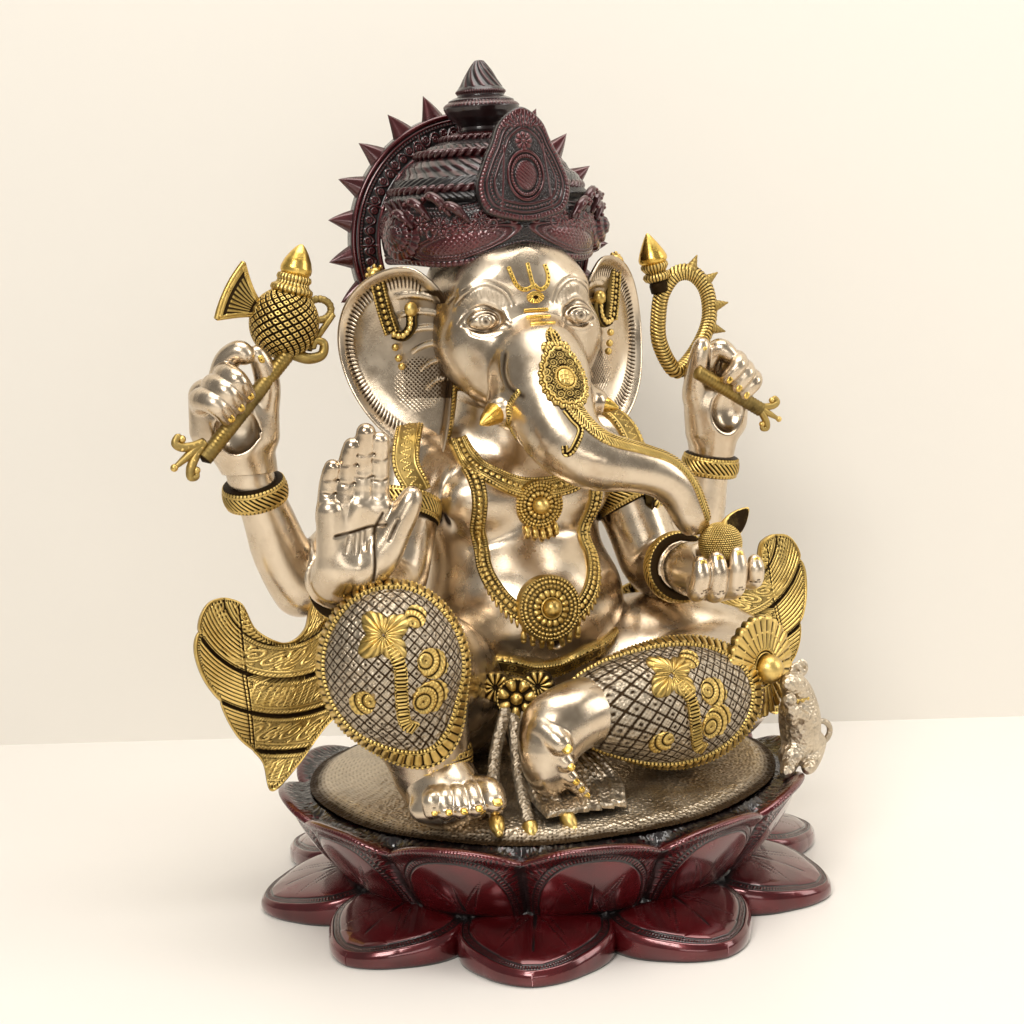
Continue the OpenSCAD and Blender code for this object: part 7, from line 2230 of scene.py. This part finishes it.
def sash(s):
    P = Parts()
    T = rot("X", 76)
    o = A(159.32 if s > 0 else -150, 42, 172)
    out = closed(OUTLINE, 9)
    # radial grid: ring 0 at the middle, last ring on the outline, then the rim
    na = 620
    e = even(np.column_stack([out, 0 * out[:, 0]]), 0.5)[:, :2]
    per = np.concatenate([[0], np.cumsum(np.hypot(*np.diff(np.vstack([e, e[:1]]), axis=0).T))])
    q = np.arange(na) / na * per[-1]
    ee = np.vstack([e, e[:1]])
    B = np.stack([np.interp(q, per, ee[:, 0]), np.interp(q, per, ee[:, 1])], 1)
    # rounded lobes where the pleats end
    rb = np.hypot(B[:, 0] - 28, B[:, 1] - 62)
    B = B + np.outer(np.clip((B[:, 0] - 58) / 10, 0,
                             1) * (3.6 * np.sqrt(np.abs(np.sin(PI * (rb - 44) / 26))) - 2.2), (1, 0))
    t = np.concatenate([np.linspace(0.01, 0.985, 150), [1.0]])
    # a spine keeps the rays inside the curled outline
    sx = np.clip(B[:, 0], -60, 78)
    spine = np.column_stack([sx, np.interp(sx, (-74, -30, 4, 30, 52, 78), (6, 8, 4, -16, -12, 22))])
    X = spine[None] * (1 - t)[:, None, None] + B[None] * t[:, None, None]
    x, y = X[..., 0], X[..., 1]
    edge = (1 - t)[:, None] * np.hypot(*(B - spine).T)[None]
    # four fanned pleats stepping back around the curl
    rad = np.hypot(x - 28, y - 62)
    th = np.arctan2(y - 62, x - 28)
    st = (rad - 44) / 26.0
    lev = np.clip(np.floor(st), -1, 3)
    fr = np.clip(st - lev, 0, 1)
    inner = np.where(rad < 44, 0, 1)
    Z = 2.0 + 1.5 * (3 - lev) * 0.8 - 2.2 * np.clip((fr - 0.9) / 0.1, 0, 1)
    s1 = th * rad
    a = 26 * fr
    h = 0.9 * beadrow(s1, a - 22.6, 2.8, 1.4)
    h = np.maximum(h, 0.7 * bump(a - 19.8, 0.8))
    h = np.maximum(h, 0.9 * rope(s1, a - 2.6, 2.0, 1.5))
    odd = (lev.astype(int) % 2) == 0
    h = np.maximum(h, np.where(odd, 0.85 * scrolls(s1, a - 11.0, 15.0, 1.2),
                               0.75 * lattice(s1, a - 11.0, 5.2, 1.0)) * (a > 5) * (a < 18.6))
    ros = 0.95 * flower(((s1 / 34) % 1 - 0.5) * 34, a - 11.0, 6.4, 8, 0.2)
    h = np.maximum(h, ros * (a > 4) * (a < 18.4))
    h = np.maximum(h, (1 - inner) * 0.8 * np.abs(np.sin(s1 * PI / 4.0)))
    h = ground(h, 0.46)
    tip = x > 64
    h = np.where(tip, 0.75 * np.abs(np.sin(a * PI / 2.6)) + 0.12, h)
    h = np.where(np.abs(x - 62.5) < 1.6, 0.95 * beadrow(a, x - 62.5, 2.6, 1.3), h)
    h = np.where(((a > 24.2) | (a < 0.9)) & (rad > 44), 0.0, h)
    rim = edge < 4.0
    h = np.where(rim, np.maximum(0.65 * np.abs(np.sin((q[None] + 0 * x) * PI / 2.2)),
                                 0.95 * bump(edge - 1.0, 1.2)), h)
    und = 3.0 * np.sin(s1 / 21 + 0.7) * np.clip((rad - 40) / 40, 0, 1)
    zf = Z + und + 1.25 * h
    zf[-1] = 0.8 + und[-1]
    zb = np.minimum(Z + und - 3.4, zf - 2.2)
    zb[-1] = zf[-1] - 1.6
    # cav: low ground darker (dark patina plus painted shade); the back painted darker (0.35) as shade
    cav = np.clip(1 - 1.5 * h, 0, 1) * 0.95
    for zz, sg, cv in ((zf, 1, cav), (zb, -1, cav * 0 + 0.35)):
        loc = np.stack([x, y, zz], -1).reshape(-1, 3)
        mid = loc[:na].mean(0)
        loc = np.vstack([loc, mid])
        w = loc.copy()
        w = w @ T.T
        if s < 0:
            w[:, 0] *= -1
        w = w + o
        f = grid_faces(len(t), na, wrap_j=True)
        j = np.arange(na)
        fan = np.stack([np.full(na, len(w) - 1), j, (j + 1) % na, (j + 1) % na], 1)
        nrm = (T @ A(0, 0, 1)) * A(-1 if s < 0 else 1, 1, 1)
        f = orient(w, f, np.broadcast_to(nrm * sg, w.shape))
        g = np.cross(w[fan[:, 1]] - w[fan[:, 0]], w[fan[:, 2]] - w[fan[:, 0]]).sum(0)
        if (g * nrm).sum() * sg < 0:
            fan = fan[:, [0, 2, 1, 1]]
        P.put(w, np.vstack([f, fan]), np.append(cv.ravel(), 0.4))
    P.done("sash_%s" % ("l" if s > 0 else "r"), GOLD_DARK, slot="yellow_brass",
           replaces=("sash_left" if s > 0 else "sash_right",), rounds=1)


def sun():
    P = Parts()
    R = frame_of(unit(A(math.sin(math.radians(26)), -math.cos(math.radians(26)), 0)), (0, 0, 1))
    C0 = A(138, -94, 160)

    def rays(x, y, r):
        th = np.arctan2(y, x)
        d = np.hypot(x, y)
        h = 0.9 * (0.35 + 0.65 * np.abs(np.sin(th * 14))) * (d > 15)
        h = np.maximum(h, 0.9 * bump(d - 14.0, 1.3) * (0.5 + 0.5 * np.abs(np.sin(th * 22))))
        h = np.maximum(h, 0.75 * bump(d - 26.0, 1.0))
        return np.maximum(h, 0.7 * bump(d - 11.4, 0.8))
    shp = lambda th: 1 + 0.055 * np.abs(np.sin(th * 14)) - 0.03
    patch(P, None, C0, R, 37, 37, rays, amp=2.2, base=2.6, sink=2.4, nr=70, na=380, shape=shp,
          free=lambda x, y: -np.hypot(x, y) * 0.10)
    back = np.column_stack([R[:, 0], -R[:, 1], -R[:, 2]])
    patch(P, None, C0 - R[:, 2] * 1.0, back, 37, 37, lambda x, y,
          r: 0.4 * np.abs(np.sin(np.arctan2(y, x) * 14)), amp=1.0, base=2.0, sink=2.4, nr=24, na=380,
          shape=shp, free=lambda x, y: np.hypot(x, y) * 0.10)
    P.ball(C0 + R[:, 2] * 6.5, 10.6, 30, cav=0.0)
    P.done("sunburst_cast", GOLD_DARK, slot="yellow_brass", replaces=("sunburst",), rounds=2)


def rat():
    c = Clay((124, -136, 78), (208, -62, 182), 0.75)
    c.chain([(168, -94, 97, 11), (167, -96, 110, 13.5), (166, -97, 124, 13.5), (165, -99, 137, 9.5),
             (160, -102, 145, 8.2), (155, -106, 149, 6.4), (150, -110, 150, 3.6)], 4, n=3)
    c.ell((175, -92, 98), (14, 13, 11), 5)
    c.ell((158, -100, 94), (11, 10, 9), 5)
    for s in (-1, 1):
        e = A(166 + 4 * s, -98 + 3 * s, 156)
        c.ell(e, (5.4, 2.4, 6.6), 2)
        c.ell(e + A(-0.6, -2.6, 0.2), (3.6, 1.8, 4.6), 0.8, "cut")
        c.chain([(166 + 8 * s, -98, 128, 5), (160 + 6 * s, -108, 122, 4.2), (153 + 2 * s, -113, 129, 3.6),
                 (150 + s, -114, 134, 3.0)], 2, n=3)
        c.chain([(168 + 10 * s, -96, 92, 7), (160 + 9 * s, -106, 87, 5), (154 + 9 * s, -112, 85, 3.6)], 3,
                n=3)
    c.ell((149, -113, 139), (5.6, 5.6, 5.6), 1)
    for k in (-1, 1):
        c.ell((155.5 + 2 * k, -110.5 + 3.2 * k, 151.5), (1.6, 1.6, 1.6), 0.4)
    c.bake()
    c.mesh("mouse_cast", SILVER_ROUGH, slot="silvered_brass", scale=1.1, replaces=("mouse",))
    P = Parts()
    a = np.linspace(0, 2 * PI, 60)
    ringp = A(186, -90, 104) + np.stack([9 * np.cos(a), -9 * np.sin(a) * math.cos(math.radians(80)),
                                         9 * np.sin(a)], 1)
    P.tube(ringp, 2.2, 10, cav=0.2)
    P.tube(spline([(172, -92, 96), (178, -90, 94), (184, -90, 96)], 5), np.linspace(4.0, 2.4, 11), 10,
           cav=0.3)
    P.done("mouse_tail", SILVER_ROUGH, slot="silvered_brass", rounds=2)
    P = Parts()
    n = 90
    a = np.arange(n) / n * 2 * PI
    col = A(163, -99.5, 137) + np.stack([10.0 * np.cos(a), 10.0 * np.sin(a), 1.6 * np.cos(a)], 1)
    P.tube(np.vstack([col, col[:1]]), 1.4, 8, cav=0.2)
    for q in col[::6]:
        P.ball(q + A(0, 0, -0.6), 1.9, 7, cav=0.0)
    P.done("mouse_collar", GOLD_DARK, slot="yellow_brass", rounds=2)


sash(-1)
sash(1)
sun()
rat()

# ------------------------------------------------------------------ stage
def stage():
    def quad(name, pts, mat):
        me = bpy.data.meshes.new(name)
        me.from_pydata([tuple(p) for p in pts], [], [(0, 1, 2, 3)])
        me.materials.append(mat)
        o = bpy.data.objects.new(name, me)
        bpy.context.scene.collection.objects.link(o)
        return o

    def plain(name, col, rough, see_through_back=False):
        m, t, b = nodes_of(name)
        b.inputs["Base Color"].default_value = (*col, 1)
        b.inputs["Roughness"].default_value = rough
        if see_through_back:
            geo, clear, mix = add(t, "ShaderNodeNewGeometry"), add(t, "ShaderNodeBsdfTransparent"), add(t,
                "ShaderNodeMixShader")
            t.links.new(geo.outputs["Backfacing"], mix.inputs[0])
            t.links.new(b.outputs[0], mix.inputs[1])
            t.links.new(clear.outputs[0], mix.inputs[2])
            out = next(n for n in t.nodes if n.type == "OUTPUT_MATERIAL")
            t.links.new(mix.outputs[0], out.inputs[0])
        return m

    d = unit(A(0.908, -0.419, 0))          # along the foot of the backdrop
    p = A(0.10, 0.395, 0)
    nrm = A(-d[1], d[0], 0)
    f0 = p - nrm * 2.6
    quad("floor", [f0 - d * 3, f0 + d * 3, p + nrm * 2.5 + d * 3, p + nrm * 2.5 - d * 3],
         plain("table_cream", (0.80, 0.765, 0.715), 0.4))
    quad("backdrop", [p - d * 3, p + d * 3, p + d * 3 + A(0, 0, 2.6), p - d * 3 + A(0, 0, 2.6)],
         plain("backdrop_cream", (0.80, 0.765, 0.70), 0.8, True))
    w = bpy.data.worlds.new("studio")
    bpy.context.scene.world = w
    w.use_nodes = True
    bg = w.node_tree.nodes["Background"]
    bg.inputs[0].default_value = (1.0, 0.965, 0.92, 1)
    bg.inputs[1].default_value = 0.27

    def area(name, loc, target, size, power, col=(1, 0.965, 0.915)):
        L = bpy.data.lights.new(name, "AREA")
        L.shape = "RECTANGLE"
        L.size, L.size_y = size
        L.energy = power
        L.color = col
        o = bpy.data.objects.new(name, L)
        o.matrix_world = Matrix.Translation(loc) @ (Vector(loc) - Vector(target)).to_track_quat("Z",
            "Y").to_matrix().to_4x4()
        bpy.context.scene.collection.objects.link(o)

    area("key", (-1.3, -1.6, 1.8), (0, 0, 0.25), (0.9, 0.9), 36)
    area("fill", (1.6, -1.0, 1.1), (0, 0, 0.25), (0.7, 1.2), 12)
    area("top", (0.2, 0.1, 2.1), (0, 0.1, 0.2), (1.6, 1.4), 23)
    area("low", (-0.5, -2.2, 0.55), (0, 0, 0.2), (1.3, 0.4), 5)
    area("wall", (0.1, -0.4, 2.6), (0.3, 0.5, 0.4), (2.2, 0.8), 15)
    cam = bpy.data.cameras.new("camera")
    cam.lens = 63.3
    cam.sensor_width = 36
    cam.clip_end = 20
    o = bpy.data.objects.new("camera", cam)
    X, Y, Z = A(0.93593, -0.34861, -0.05004), A(0.09803, 0.12141, 0.98775), A(-0.33826, -0.92937, 0.14781)
    M = Matrix([[X[i], Y[i], Z[i], (-0.4609, -1.2284, 0.4731)[i]] for i in range(3)] + [[0, 0, 0, 1]])
    o.matrix_world = M
    bpy.context.scene.collection.objects.link(o)
    bpy.context.scene.camera = o
    bpy.context.scene.view_settings.view_transform = "Standard"


stage()
